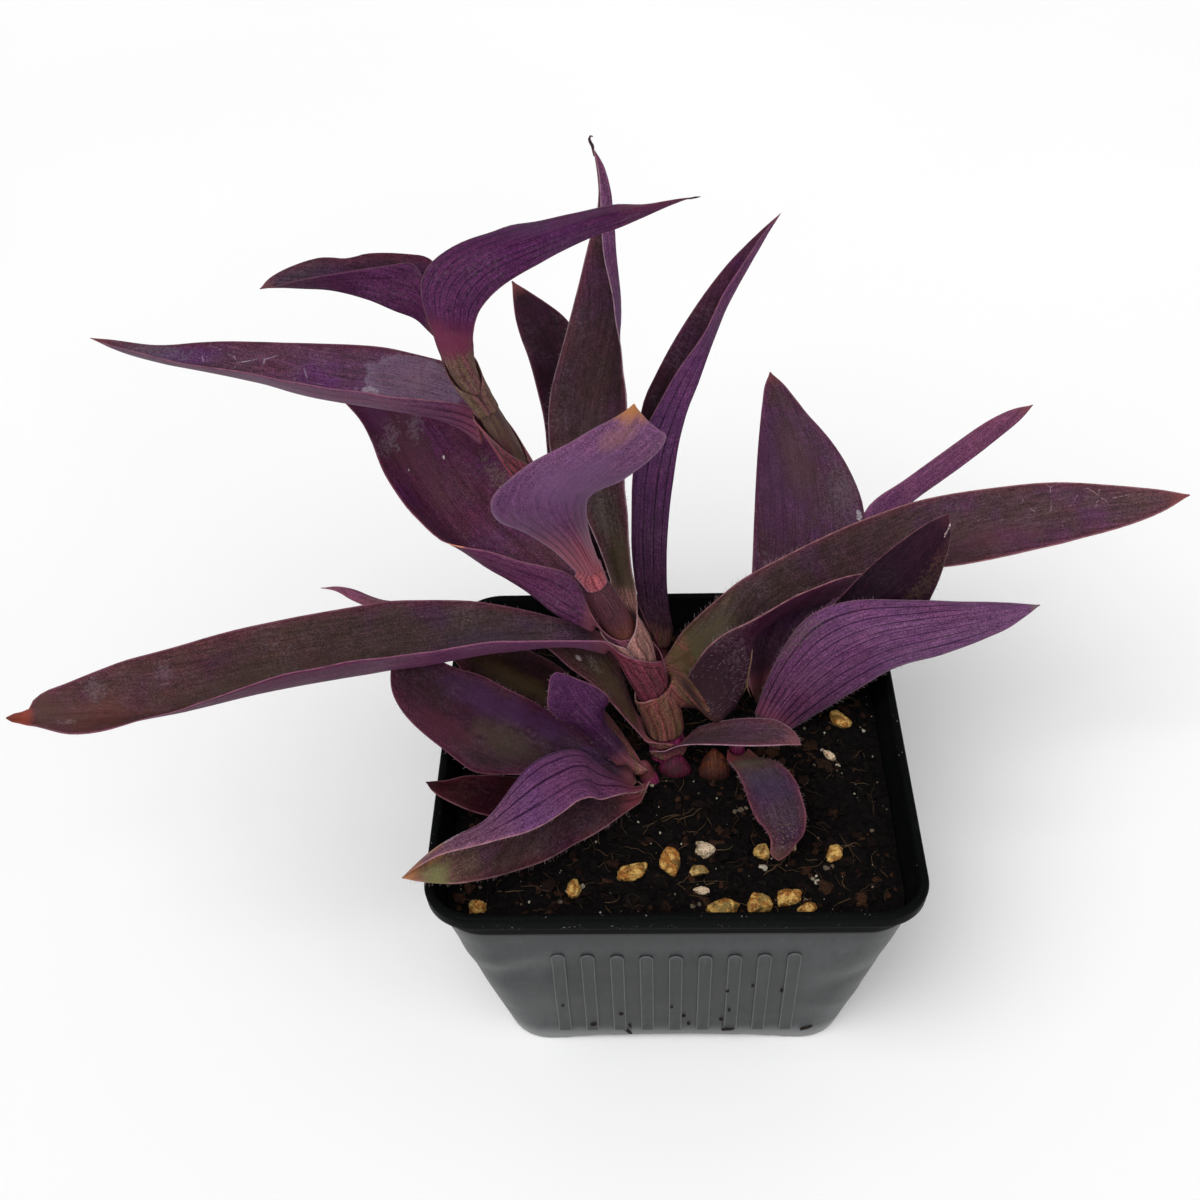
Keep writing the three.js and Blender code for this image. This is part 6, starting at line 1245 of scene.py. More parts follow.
# Looks of the leaves, where they differ from LEAF_LOOK.
# A patch is (mm along, mm across, its two radii in mm, colour, strength, face: 1 upper, 0 under or None, kind).
LOOKS = {
    "leaf_top_right": dict(
        un=((74, 34, 68), (76, 30, 74), (80, 32, 62)), vein_un=0.75, base=((78, 28, 56), 4.0), sheath=((104, 62, 66), (94, 72, 58)), lines=0.35,
        patches=((62, 2, 14, 4, (104, 44, 58), 0.45, 0, "soft"), (-3.2, 0, 4.0, 9.0, (98, 33, 64), 0.85, None, "soft")),
    ),
    "leaf_top_left": dict(
        up=((50, 21, 38), (48, 20, 41), (66, 52, 72)), un=((68, 26, 58), (72, 32, 66), (68, 34, 58)), vein_un=0.45, sheath=((98, 60, 60), (90, 72, 54)), lines=0.3, rim=((120, 80, 92), 0.4, 0.3),
        patches=((44, 0, 8, 5, (92, 78, 96), 0.45, 1, "crust"),),
    ),
    "leaf_long_left_high": dict(
        sheath=((146, 62, 80), (86, 60, 62)), base=((112, 52, 74), 7.0), stripe=(16.0, 0.8),
        up=((84, 54, 76), (82, 48, 74), (72, 52, 68)), un=((100, 56, 84), (98, 58, 86), (84, 58, 76)), vein_un=0.3, dust=0.45, specks=0.35,
        patches=(
            (15.5, 6.5, 10.5, 5.4, (124, 110, 130), 0.58, 1, "clear"), (24, 3, 2.5, 1.6, (168, 158, 172), 0.5, 1, "crust"),
            (57, 4, 8, 4.5, (150, 138, 154), 0.6, 1, "scratch"), (47, 4, 8, 4.5, (150, 138, 154), 0.6, 1, "scratch"), (36, 4, 5, 3, (150, 138, 154), 0.5, 1, "scratch"),
            (68, 3, 10, 3, (100, 92, 106), 0.5, 1, "crust"),
        ),
    ),
    "leaf_front_upright": dict(
        un=((92, 42, 62), (90, 51, 88), (106, 69, 99)), vein_un=0.1, stripe=(32.0, 1.0), sheen=0.2, base=((158, 82, 88), 19.0), sheath=((158, 82, 88), (146, 74, 82)), lines=0.85,
        tip=((164, 108, 60), 5.0, 0.95), rim=((136, 98, 122), 0.6, 0.8), patches=((36, 0, 14, 7, (106, 70, 110), 0.5, 0, "soft"), (52, 0, 5, 3, (134, 92, 70), 0.35, 0, "soft")),
    ),
    "leaf_broad_left": dict(
        sheath=((130, 76, 88), (80, 40, 60)), up=((98, 62, 82), (76, 34, 62), (88, 44, 74)), un=((76, 39, 70), (108, 58, 88), (100, 54, 84)), vein_un=0.6, dust=0.3, specks=0.4,
        patches=(
            (54, 3, 14, 8, (78, 48, 54), 0.5, 1, "soft"), (60.5, -1.5, 3.2, 6.0, (124, 108, 120), 0.55, 1, "crust"), (56, 7, 2.6, 4.5, (124, 108, 120), 0.5, 1, "crust"), (33, 16, 6, 2.4, (112, 98, 88), 0.5, 1, "crust"), (66, 1, 4, 5, (84, 44, 74), 0.7, 1, "soft"),
            (46.6, 8.3, 0.45, 0.4, (196, 182, 186), 0.9, 1, "dot"), (53, -1, 0.3, 0.3, (180, 166, 172), 0.7, 1, "dot"),
            (34.1, -10.2, 2.3, 1.2, (210, 140, 104), 0.9, None, "dot"), (13, 2, 7, 5, (88, 76, 64), 0.45, 1, "soft"), (30, -5, 12, 4, (76, 36, 64), 0.6, 1, "soft"),
        ),
    ),
    "leaf_tall": dict(
        sheath=((150, 106, 100), (116, 84, 78)), base=((90, 78, 62), 5.0), up=((80, 56, 64), (52, 34, 41), (62, 31, 44)), un=((70, 42, 70), (80, 44, 84), (100, 60, 88)),
        dust=0.4, specks=0.5, tip=((110, 60, 64), 8.0, 0.4), rim=((176, 150, 156), 0.6, 0.4),
        patches=((15, 0.5, 8, 5.5, (88, 88, 80), 0.55, 1, "crust"), (6, 2.5, 7, 4.5, (80, 78, 48), 0.5, 1, "soft"), (30, 0, 12, 3, (56, 44, 42), 0.5, 1, "soft")),
    ),
    "leaf_back_left": dict(up=((30, 12, 22), (28, 10, 20), (42, 13, 32)), un=((60, 30, 60), (60, 30, 60), (60, 30, 60)), vein_up=0.3, flush=((60, 22, 40), 0.4, 2.0)),
    "leaf_back_right": dict(up=((30, 8, 18), (34, 8, 18), (72, 38, 62)), un=((52, 28, 44), (86, 46, 88), (98, 56, 86)), vein_un=0.95, base=((58, 30, 44), 8.0), flush=((66, 28, 46), 0.4, 2.0)),
    "leaf_right_upright": dict(
        up=((76, 46, 66), (68, 42, 60), (66, 45, 56)), un=((84, 48, 84), (84, 48, 84), (84, 48, 84)), vein_up=0.4, dust=0.45, flush=((78, 38, 64), 0.6, 3.0),
        patches=(
            (41.6, 12.4, 1.7, 0.8, (196, 188, 196), 0.9, 1, "crust"), (45, 9.5, 16, 5, (96, 84, 90), 0.35, 1, "crust"), (52, -7, 22, 4.5, (68, 34, 66), 0.5, 1, "soft"),
            (56, 0, 18, 4.5, (76, 52, 54), 0.4, 1, "soft"), (34, 1, 6, 3, (84, 64, 72), 0.4, 1, "crust"),
        ),
    ),
    "leaf_right_narrow": dict(un=((100, 56, 92), (102, 60, 94), (98, 54, 76)), vein_un=0.15, tip=((120, 70, 66), 5.0, 0.5)),
    # leaf_long_right: the near-black underside at the foot (the first un colour and base_un) and the near-black patches
    # from -4 to 4 mm along are painted shade under the leaf above
    "leaf_long_right": dict(
        up=((58, 44, 44), (64, 44, 50), (80, 56, 64)), un=((36, 16, 25), (82, 30, 60), (86, 50, 70)), tip=((124, 66, 62), 7.0, 0.6), sheath=((122, 66, 66), (92, 74, 52)),
        base=((78, 66, 44), 4.0), base_un=((52, 30, 36), 3.0), vein_un=0.3, rim=((176, 124, 128), 0.7, 0.5), dust=0.35,
        patches=(
            (100, -4, 8, 4, (150, 126, 136), 0.6, 1, "scratch"), (112, -3, 9, 4, (158, 130, 138), 0.65, 1, "scratch"), (2, -14, 11, 8, (84, 76, 46), 0.5, 1, "soft"),
            (-9, -9, 8, 8, (84, 74, 46), 0.6, 1, "soft"), (62, 0, 22, 3, (78, 58, 52), 0.45, 1, "soft"), (88, 3, 12, 4, (96, 52, 70), 0.35, 1, "soft"), (4, 5, 12, 12, (34, 18, 26), 0.55, 0, "crust"), (-4, 6, 8, 7, (43, 24, 31), 0.9, None, "soft"), (-3, 8, 9, 9, (43, 24, 31), 0.9, None, "soft"), (-10, -1.5, 5.5, 4.5, (50, 34, 36), 0.85, 1, "soft"),
        ),
    ),
    # leaf_right_dark: its near-black underside colours are painted shade, for a leaf that stands behind
    # leaf_right_purple
    "leaf_right_dark": dict(
        up=((40, 22, 30), (36, 18, 28), (44, 24, 30)), un=((22, 6, 18), (20, 4, 16), (41, 15, 32)), vein_un=0.3, dust=0.1, flush=((60, 26, 42), 0.5, 2.0), tip=((70, 34, 42), 4.0, 0.5),
        patches=((54.6, -1.2, 3.2, 0.4, (214, 186, 182), 0.9, None, "crust"), (41, -4.5, 10, 3.0, (66, 50, 40), 0.6, 0, "crust"), (49, -3, 5, 2, (92, 54, 48), 0.3, 0, "crust")),
    ),
    "leaf_right_purple": dict(un=((90, 48, 76), (98, 60, 96), (100, 64, 96)), vein_un=1.0, stripe=(14.0, 0.9), base=((128, 66, 90), 5.0), tip=((104, 96, 88), 3.5, 0.8), sheen=0.15,
        patches=((18, 9, 9, 3.5, (86, 84, 68), 0.45, 0, "crust"),)),
    "leaf_low_right_small": dict(up=((68, 46, 50), (74, 50, 64), (76, 54, 64)), rim=((172, 136, 150), 0.9, 0.42), patches=((30, 0, 6, 4, (120, 88, 104), 0.4, 1, "crust"),)),
    "leaf_low_front_small": dict(
        base=((150, 54, 70), 3.0), sheath=((150, 50, 66), (104, 96, 56)), up=((94, 76, 66), (62, 46, 65), (54, 38, 44)), rim=((156, 92, 104), 0.85, 0.6), tip=((94, 68, 56), 5.0, 0.5), specks=0.8,
        patches=((2, -1, 7, 6, (104, 94, 74), 0.5, 1, "soft"), (-1, 3, 4, 3, (142, 52, 66), 0.6, None, "soft"), (15, 0, 9, 4, (66, 54, 78), 0.4, 1, "soft"), (31, 0, 4, 4, (140, 118, 108), 0.3, 1, "flecks")),
    ),
    "leaf_long_left": dict(
        sheath=((120, 52, 70), (84, 40, 48)), up=((62, 46, 56), (60, 42, 42), (76, 48, 50)), un=((120, 72, 106), (80, 35, 63), (78, 34, 50)), tip=((112, 50, 34), 4.6, 0.95),
        dust=0.35, vein_un=0.35, rim=((146, 96, 116), 0.7, 0.5),
        patches=((26, 2, 9, 4, (54, 40, 60), 0.5, 1, "soft"), (70, 2, 24, 4, (64, 50, 42), 0.5, 1, "soft"), (108, 0, 14, 5, (92, 52, 46), 0.45, 1, "soft"), (58, -5, 14, 4, (60, 50, 42), 0.4, 1, "crust"), (117.5, 0, 7, 5, (72, 54, 46), 0.6, 1, "soft"), (107.5, 5.5, 2.8, 3.4, (108, 92, 102), 0.45, 1, "crust"), (93, 8, 2.6, 3.2, (104, 88, 98), 0.4, 1, "crust"), (114, -1.5, 3, 0.9, (140, 122, 122), 0.3, 1, "crust"), (122.4, 0, 2.2, 7, (150, 66, 44), 0.55, None, "soft")),
    ),
    "leaf_low_left_back": dict(tip=((146, 98, 118), 5.0, 0.5), up=((26, 12, 10), (44, 23, 25), (150, 92, 122)), patches=((22, -2, 13, 2.6, (70, 56, 28), 0.5, 1, "soft"), (34, 2, 10, 2.5, (56, 36, 22), 0.5, 1, "soft"))),
    "leaf_low_left_inner": dict(
        up=((58, 35, 31), (62, 43, 44), (60, 44, 44)), specks=0.8, tip=((70, 50, 50), 5.0, 0.4),
        patches=((21.6, -1.2, 0.9, 0.6, (190, 178, 178), 0.6, 1, "soft"), (17.4, 0, 3.0, 1.5, (150, 136, 136), 0.3, 1, "crust"), (10, 0, 8, 4, (86, 74, 46), 0.45, 1, "soft")),
    ),
    "leaf_low_left_short": dict(un=((58, 30, 56), (62, 27, 60), (66, 32, 66)), vein_un=0.95, tip=((84, 44, 82), 3.0, 0.3)),
    "leaf_low_left_broad": dict(
        up=((58, 42, 56), (43, 21, 33), (48, 20, 34)), flush=((72, 30, 48), 0.7, 3.2),
        patches=((36, 3.0, 15, 4.0, (58, 28, 64), 0.6, 1, "soft"), (22, 4, 9, 3.6, (58, 28, 64), 0.5, 1, "soft"), (28, -3.5, 9, 4.5, (66, 56, 42), 0.5, 1, "soft"), (39, -7, 9, 3.5, (76, 30, 46), 0.45, 1, "soft")),
    ),
    "leaf_low_front_left": dict(
        up=((54, 30, 38), (66, 43, 54), (80, 61, 48)), un=((94, 50, 74), (102, 64, 104), (108, 76, 76)), vein_un=1.0, tip=((150, 100, 62), 7.0, 0.85), base=((128, 58, 68), 7.0), rim=((170, 124, 130), 0.8, 0.5), stripe=(14.0, 0.8),
        patches=((62, -6, 5, 4, (106, 108, 66), 0.7, 1, "soft"), (58, 0.5, 5, 1.3, (196, 176, 186), 0.6, None, "crust"), (34, -7, 16, 4, (84, 60, 62), 0.5, 1, "crust"), (60, 0, 3, 2, (184, 122, 62), 0.6, None, "soft")),
    ),
    "leaf_low_left_dark": dict(up=((34, 8, 13), (34, 8, 13), (36, 7, 12)), flush=((62, 18, 26), 0.5, 1.6), tip=((34, 14, 16), 4.0, 0.7), dust=0.1, specks=0.0),
}

# ---------------------------------------------------------------- making objects
def make(name, points, faces, materials, attributes=None, slots=None, smooth=True):
    """A mesh object from points in mm."""
    me = bpy.data.meshes.new(name)
    me.from_pydata((np.asarray(points) / 1000.0).tolist(), [], [list(map(int, f)) for f in faces])
    me.validate()
    for key, value in (attributes or {}).items():
        value = np.asarray(value, np.float32)
        kind = "FLOAT_VECTOR" if value.ndim == 2 else "FLOAT"
        a = me.attributes.new(key, kind, "POINT")
        a.data.foreach_set("vector" if value.ndim == 2 else "value", value.ravel())
    for m in materials:
        me.materials.append(m)
    if slots is not None:
        me.polygons.foreach_set("material_index", np.asarray(slots, np.int32))
    me.polygons.foreach_set("use_smooth", [smooth] * len(me.polygons))
    me.update()
    ob = bpy.data.objects.new(name, me)
    bpy.context.scene.collection.objects.link(ob)
    return ob


def frames_along(path):
    """Two directions across a path at each of its points, turning as little as possible."""
    tangent = np.gradient(path, axis=0)
    tangent /= np.linalg.norm(tangent, axis=1, keepdims=True) + 1e-12
    ref = np.array([0.0, 0, 1]) if abs(tangent[0][2]) < 0.8 else np.array([1.0, 0, 0])
    e1 = ref - tangent[0] * (ref @ tangent[0])
    out = []
    for t in tangent:
        e1 = e1 - t * (e1 @ t)
        e1 = e1 / (np.linalg.norm(e1) + 1e-12)
        out.append((e1.copy(), np.cross(t, e1)))
    return out


def strand(path, radii, sides=3):
    """A closed tapering strand along a path: points and faces."""
    path, radii = np.asarray(path, float), np.asarray(radii, float)
    pts, fcs = [], []
    for p, r, (a, b) in zip(path, radii, frames_along(path)):
        for i in range(sides):
            w = 2 * math.pi * i / sides
            pts.append(p + r * (math.cos(w) * a + math.sin(w) * b))
    n = len(path)
    for k in range(n - 1):
        for i in range(sides):
            j = (i + 1) % sides
            fcs.append((k * sides + i, k * sides + j, (k + 1) * sides + j, (k + 1) * sides + i))
    fcs.append(tuple(range(sides))[::-1])
    fcs.append(tuple((n - 1) * sides + i for i in range(sides)))
    return pts, fcs


class Bag:
    """Collects small closed meshes into one."""

    def __init__(self):
        self.points, self.faces, self.tone = [], [], []

    def add(self, pts, fcs, tone=0.0):
        o = len(self.points)
        self.points.extend(list(pts))
        self.faces.extend([tuple(v + o for v in f) for f in fcs])
        self.tone.extend([tone] * len(pts))


# ---------------------------------------------------------------- leaves
rng = np.random.default_rng(20)
HAIRS = {
    # where hairs stand: (face, from mm, to mm along, from share to share across, how many, length mm)
    "leaf_long_right": [("under", -4, 16, 0.12, 1.0, 320, 1.5), ("edge", -4, 40, 0, 0, 160, 1.5)],
    "leaf_long_left": [("edge", -3, 30, 0, 0, 60, 0.9)],
    "leaf_right_purple": [("edge", 2, 40, 0, 0, 150, 1.2)],
    "leaf_right_dark": [("upper", 6, 30, -1, 1, 110, 1.2), ("edge", 2, 50, 0, 0, 100, 1.2)],
    "leaf_right_upright": [("edge", 2, 24, 0, 0, 70, 1.1)],
    "leaf_low_front_left": [("edge", 2, 70, 0, 0, 180, 1.1), ("upper", 4, 60, -1, 1, 150, 0.9)],
    "leaf_low_right_small": [("edge", 1, 30, 0, 0, 90, 0.9)],
    "leaf_low_front_small": [("edge", 1, 30, 0, 0, 110, 1.0)],
    "leaf_low_left_broad": [("edge", 2, 50, 0, 0, 90, 0.9)],
    "leaf_low_left_inner": [("edge", 1, 26, 0, 0, 60, 1.0)],
    "leaf_low_left_short": [("edge", 1, 26, 0, 0, 60, 1.0)],
    "leaf_tall": [("edge", 0, 60, 0, 0, 120, 0.9), ("upper", 2, 30, -1, 1, 120, 0.9)],
    "leaf_front_upright": [("edge", 4, 40, 0, 0, 60, 0.7)],
    "leaf_broad_left": [("edge", 2, 50, 0, 0, 80, 0.8)],
}


def hairs_for(name, grid, normal, lead, cross):
    """Fine hairs on a leaf, as thin closed cones."""
    bag = Bag()
    n, m = grid.shape[:2]
    for face, a, b, u0, u1, count, length in HAIRS.get(name, ()):
        rows = np.nonzero((lead >= a) & (lead <= b))[0]
        rows = rows[(rows > 0) & (rows < n - 2)]
        if len(rows) < 2:
            continue
        for _ in range(count):
            i = int(rng.choice(rows[:-1]))
            f = rng.random()
            if face == "edge":
                j = 0 if rng.random() < 0.5 else m - 1
                p = grid[i, j] * (1 - f) + grid[i + 1, j] * f
                out = grid[i, j] - grid[i, 2 if j == 0 else m - 3]
                out = out / (np.linalg.norm(out) + 1e-9)
                d = out + rng.normal(0, 0.3, 3)
            else:
                j = int(np.clip(round((rng.uniform(u0, u1) + 1) / 2 * (m - 1)), 1, m - 2))
                p = grid[i, j] * (1 - f) + grid[i + 1, j] * f
                up = normal[i, j] * (1 if face == "upper" else -1)
                p = p + up * 0.2
                d = up + rng.normal(0, 0.45, 3)
            d = d / np.linalg.norm(d)
            along = grid[i + 1, j] - grid[i, j]
            along = along / (np.linalg.norm(along) + 1e-9)
            size = length * rng.uniform(0.35, 0.85)
            bend = along * size * rng.uniform(0.1, 0.5)
            path = [p - d * 0.05, p + d * size * 0.55 + bend * 0.25, p + d * size + bend]
            pts, fcs = strand(path, [0.026, 0.018, 0.005])
            bag.add(pts, fcs, rng.random())
    return bag


def hair_material():
    t = Tree("leaf_hair")
    tone = t.attr("tone").outputs["Fac"]
    c = t.mix(tone, lin((112, 86, 98)), lin((172, 150, 154)))
    c = t.mix(t.math("GREATER_THAN", tone, 1.2), c, lin((46, 24, 30)))
    c = t.mix(t.math("GREATER_THAN", tone, 1.6), c, lin((134, 100, 84)))
    return t.finish(c, t.span(tone, 0, 1, 0.4, 0.6), specular=0.2)


hair_mat = hair_material()
made = {}


# dried ends and slivers: path, thickness along it, tone (1.4 brown, 1.8 straw)
DRY = {
    "leaf_tall": [([(-15.8, 90.3, 153.9), (-16.2, 91.4, 155.9), (-16.7, 91.8, 156.7), (-16.9, 92.1, 157.3), (-16.6, 92.3, 157.9), (-15.95, 92.3, 157.8)], [0.22, 0.42, 0.4, 0.34, 0.26, 0.1], 1.4)],
    "leaf_top_right": [([(3.0, 40.5, 166.75), (4.6, 41.9, 166.2), (5.7, 42.85, 165.95), (6.7, 43.7, 165.65)], [0.06, 0.2, 0.2, 0.06], 1.4)],
    "leaf_front_upright": [],
    "leaf_right_upright": [
        ([(18.4, 16.2, 69.5), (18.2, 15.8, 66.8), (17.6, 15.4, 62.4), (17.2, 15.0, 59.2), (16.3, 14.6, 56.9)], [0.05, 0.2, 0.26, 0.24, 0.06], 1.8),
        ([(17.5, 15.3, 61.2), (17.6, 15.0, 58.6), (18.4, 14.6, 56.2)], [0.12, 0.22, 0.05], 1.8),
    ],
}


def add_leaf(name):
    points, faces, measure, grid, normal, base, lead, cross = leaf_mesh(name)
    bag = hairs_for(name, grid, normal, lead, cross)
    for path, radii, tone in DRY.get(name, ()):
        pts, fcs = strand(path, radii, 5)
        bag.add(pts, fcs, tone)
    o = len(points)
    k = len(bag.points)
    pts = np.concatenate([points, np.array(bag.points).reshape(-1, 3)])
    fcs = [tuple(f) for f in faces] + [tuple(v + o for v in f) for f in bag.faces]
    attributes = {key: np.concatenate([v, np.zeros((k,) + v.shape[1:])]) for key, v in measure.items()}
    attributes["tone"] = np.r_[np.zeros(o), np.array(bag.tone)]
    slots = [0] * len(faces) + [1] * len(bag.faces)
    look = LOOKS.get(name, {})
    ob = make(name + "_blade", pts, fcs, [leaf_material(name, look), hair_mat], attributes, slots)
    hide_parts(name)
    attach(ob, "root")
    made[name] = ob
    return grid


for name in LEAVES:
    add_leaf(name)


# ---------------------------------------------------------------- shoots
def shoot_material():
    t = Tree("shoot_skin")
    along = t.attr("along").outputs["Vector"]
    s, a, share = t.split(along)
    where = t.place()
    lines = t.noise(t.vec(t.mul(s, 0.05), t.mul(a, 1.1), 2.0), 1.0, 3.0, 0.6)
    thin = t.noise(t.vec(t.mul(s, 0.3), t.mul(a, 3.4), 5.0), 1.0, 3.0, 0.6)
    grain = t.noise(where, 2.4, 3.0, 0.65)
    low = t.mix(t.span(lines, 0.35, 0.65), lin((78, 38, 40)), lin((100, 50, 58)))
    low = t.mix(t.span(s, 14.5, 13.0), low, t.mix(t.span(lines, 0.4, 0.6), lin((156, 52, 104)), lin((92, 26, 58))))
    middle = t.mix(t.span(thin, 0.3, 0.7), lin((52, 26, 38)), lin((78, 42, 50)))
    middle = t.mix(t.mul(t.span(s, 50.0, 42.0), 0.6), middle, lin((104, 58, 36)))
    high = t.mix(t.span(lines, 0.38, 0.62), lin((92, 76, 58)), lin((70, 44, 50)))
    c = t.mix(t.span(s, 30.0, 42.0), low, middle)
    c = t.mix(t.span(s, 60.0, 84.0), c, high)
    blush = t.span(t.noise(where, 0.14, 2.0, 0.5), 0.45, 0.65)
    c = t.mix(t.mul(blush, 0.3), c, lin((104, 52, 62)))
    dots = t.span(t.cells(t.vec(t.mul(s, 2.4), t.mul(a, 3.4), 0.0), 1.0), 0.1, 0.45, 1.0, 0.0)
    c = t.mix(t.mul(dots, 0.35), c, lin((120, 84, 84)))
    tone = t.mul(t.span(thin, 0.2, 0.8, 0.7, 1.25, "LINEAR"), t.span(grain, 0.25, 0.75, 0.8, 1.2, "LINEAR"))
    c = t.mix(1.0, c, t.vec(tone, tone, tone), "MULTIPLY")
    h = t.add(t.mul(lines, 0.6), t.add(t.mul(thin, 0.5), t.mul(grain, 0.2)))
    return t.finish(c, t.span(grain, 0.3, 0.7, 0.42, 0.56), t.bump(h, 0.6, 0.00015), specular=0.12)


def rounded_tip(shoot, s, extra=0.0):
    left = shoot.length - s
    r = shoot.radius(s)
    return r * math.sqrt(max(0.0, 1 - max(0.0, 1 - left / (0.9 * r)) ** 2)) if left < 0.9 * r else r


shoot_mat = shoot_material()
NODES_ON = {"stem_main": [56.0, 107.0]}


def add_shoot(name):
    shoot = shoots[name]
    sides = 28
    steps = max(14, int(shoot.length / 0.7))
    s = np.linspace(0, shoot.length, steps)
    s = np.r_[s[:-1], shoot.length - np.array([0.5, 0.25, 0.08, 0.0])]
    s = np.unique(np.clip(s, 0, shoot.length))
    pts, along = [], []
    for v in s:
        c, ax = shoot.point(float(v)), shoot.axis(float(v))
        e1 = np.array([0, -1.0, 0]) - ax * (-ax[1])
        e1 /= np.linalg.norm(e1)
        e2 = np.cross(ax, e1)
        r0 = max(0.02, rounded_tip(shoot, float(v)))
        for node in NODES_ON.get(name, ()):
            r0 += 0.1 * math.exp(-(((v - node) / 0.8) ** 2))
        for i in range(sides):
            w = 2 * math.pi * i / sides
            d = math.cos(w) * e1 + math.sin(w) * e2
            r = r0 * (1 + 0.02 * math.sin(7 * w + 0.2 * v) + 0.018 * float(noise(v * 0.3, math.cos(w) * 2, math.sin(w) * 2)))
            pts.append(c + d * r)
            along.append((v, r0 * (w if w <= math.pi else 2 * math.pi - w), v / shoot.length if name == "stem_main" else 0.1))
    fcs = []
    for k in range(len(s) - 1):
        for i in range(sides):
            j = (i + 1) % sides
            fcs.append((k * sides + i, k * sides + j, (k + 1) * sides + j, (k + 1) * sides + i))
    fcs.append(tuple(range(sides))[::-1])
    fcs.append(tuple((len(s) - 1) * sides + i for i in range(sides)))
    ob = make(name + "_skin", pts, fcs, [shoot_mat], {"along": np.array(along)})
    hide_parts(name)
    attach(ob, "root")


for name in SHOOTS:
    add_shoot(name)


# ---------------------------------------------------------------- buds
def bud_material(name, low, high, edge):
    t = Tree(name)
    along = t.attr("along").outputs["Vector"]
    s, a, scale = t.split(along)
    where = t.place()
    lines = t.noise(t.vec(t.mul(s, 0.1), t.mul(a, 1.6), 1.0), 1.0, 3.0, 0.6)
    grain = t.noise(where, 2.2, 3.0, 0.6)
    c = t.mix(t.span(t.add(s, t.mul(lines, 2.0)), 2.0, 7.0), lin(low), lin(high))
    c = t.mix(t.mul(t.span(lines, 0.42, 0.58), 0.8), c, t.mix(1.0, c, (0.36, 0.3, 0.34), "MULTIPLY"))
    c = t.mix(t.span(scale, 0.75, 1.0), c, lin(edge))
    tone = t.span(grain, 0.25, 0.75, 0.6, 1.4, "LINEAR")
    c = t.mix(1.0, c, t.vec(tone, tone, tone), "MULTIPLY")
    c = t.mix(t.mul(t.span(t.noise(where, 0.7, 3.0, 0.6), 0.5, 0.62), 0.7), c, lin((44, 24, 26)))
    return t.finish(c, t.span(grain, 0.3, 0.7, 0.5, 0.65), t.bump(t.add(lines, t.mul(grain, 0.4)), 0.8, 0.0002), specular=0.1)


def add_bud(name, x, y, z, length, radius, flat, lean_x, lean_y, colours, scales):
    """A bud of rolled scale leaves, each wrapped round the one inside it."""
    pts, fcs, along = [], [], []
    axis = np.array([math.tan(math.radians(lean_x)), math.tan(math.radians(lean_y)), 1.0])
    axis /= np.linalg.norm(axis)
    e1 = np.array([0, -1.0, 0]) + axis * axis[1]
    e1 /= np.linalg.norm(e1)
    e2 = np.cross(axis, e1)
    foot = np.array([x, y, z])
    for k, (turn, reach, fat, open_) in enumerate(scales):
        na, ns = 30, 16
        o = len(pts)
        for side in (1, 0):
            for i in range(ns):
                s = i / (ns - 1)
                r = radius * fat * (math.sin(math.pi * min(1, 0.28 + 0.72 * s)) ** 0.75) * (1.0 if s < 0.3 else 1)
                r = max(r, 0.12)
                for j in range(na):
                    u = -1 + 2 * j / (na - 1)
                    w = math.radians(turn) + math.radians(open_ * (1 - 0.75 * s**2)) * u
                    rr = r + (0.0 if side else -0.22) + 0.12 * u + 0.1 * float(noise(s * 3, u * 2, k))
                    p = foot + axis * (length * reach * s) + max(rr, 0.05) * (flat * math.cos(w) * e1 + math.sin(w) * e2)
                    pts.append(p)
                    along.append((length * reach * s, r * w, abs(u) ** 6 if s < 0.9 else 1.0))
        half = na * ns
        for i in range(ns - 1):
            for j in range(na - 1):
                a = o + i * na + j
                fcs.append((a, a + 1, a + na + 1, a + na))
                b = a + half
                fcs.append((b, b + na, b + na + 1, b + 1))
        for i in range(ns - 1):
            a = o + i * na
            fcs.append((a, a + na, a + na + half, a + half))
            b = a + na - 1
            fcs.append((b, b + half, b + na + half, b + na))
        for j in range(na - 1):
            a = o + j
            fcs.append((a, a + half, a + half + 1, a + 1))
            b = o + (ns - 1) * na + j
            fcs.append((b, b + 1, b + half + 1, b + half))
    ob = make(name + "_scales", pts, fcs, [bud_material(name + "_skin", *colours)], {"along": np.array(along)})
    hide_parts(name)
    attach(ob, "root")


add_bud("bud_front_pink", 0.6, -2.5, 48.6, 5.6, 3.9, 0.62, 2, 22, ((74, 22, 42), (112, 36, 70), (116, 60, 72)), [(40, 1.0, 0.86, 175), (-50, 0.9, 0.95, 120), (60, 0.78, 1.0, 110)])
add_bud("bud_front_brown", 9.6, -3.6, 48.6, 7.4, 3.8, 0.66, -4, 24, ((60, 30, 24), (106, 58, 36), (108, 42, 52)), [(0, 1.0, 0.86, 178), (60, 0.88, 0.95, 105), (-50, 0.74, 1.0, 110)])


# ---------------------------------------------------------------- potting mix
SOIL = 49.7
INNER = (75 + 23.8 * SOIL / 54.2 - 2.2) / 2 - 0.25  # half the width of the surface
soil_noise = Noise(5, 64)


def rounded_inside(x, y, half, corner):
    """How far inside a rounded square a point lies, mm."""
    qx, qy = np.abs(x) - (half - corner), np.abs(y) - (half - corner)
    outside = np.hypot(np.maximum(qx, 0), np.maximum(qy, 0)) + np.minimum(np.maximum(qx, qy), 0)
    return corner - outside


def soil_height(x, y):
    h = 0.55 * soil_noise.layers(x * 0.09, y * 0.09, 1.0, 3)
    h = h + 0.55 * soil_noise.layers(x * 0.34, y * 0.34, 4.0, 3, 0.6)
    h = h + 0.4 * np.abs(soil_noise.layers(x * 0.9, y * 0.9, 8.0, 2, 0.6))
    return SOIL + np.clip(h, -1.6, 1.7) * 0.8


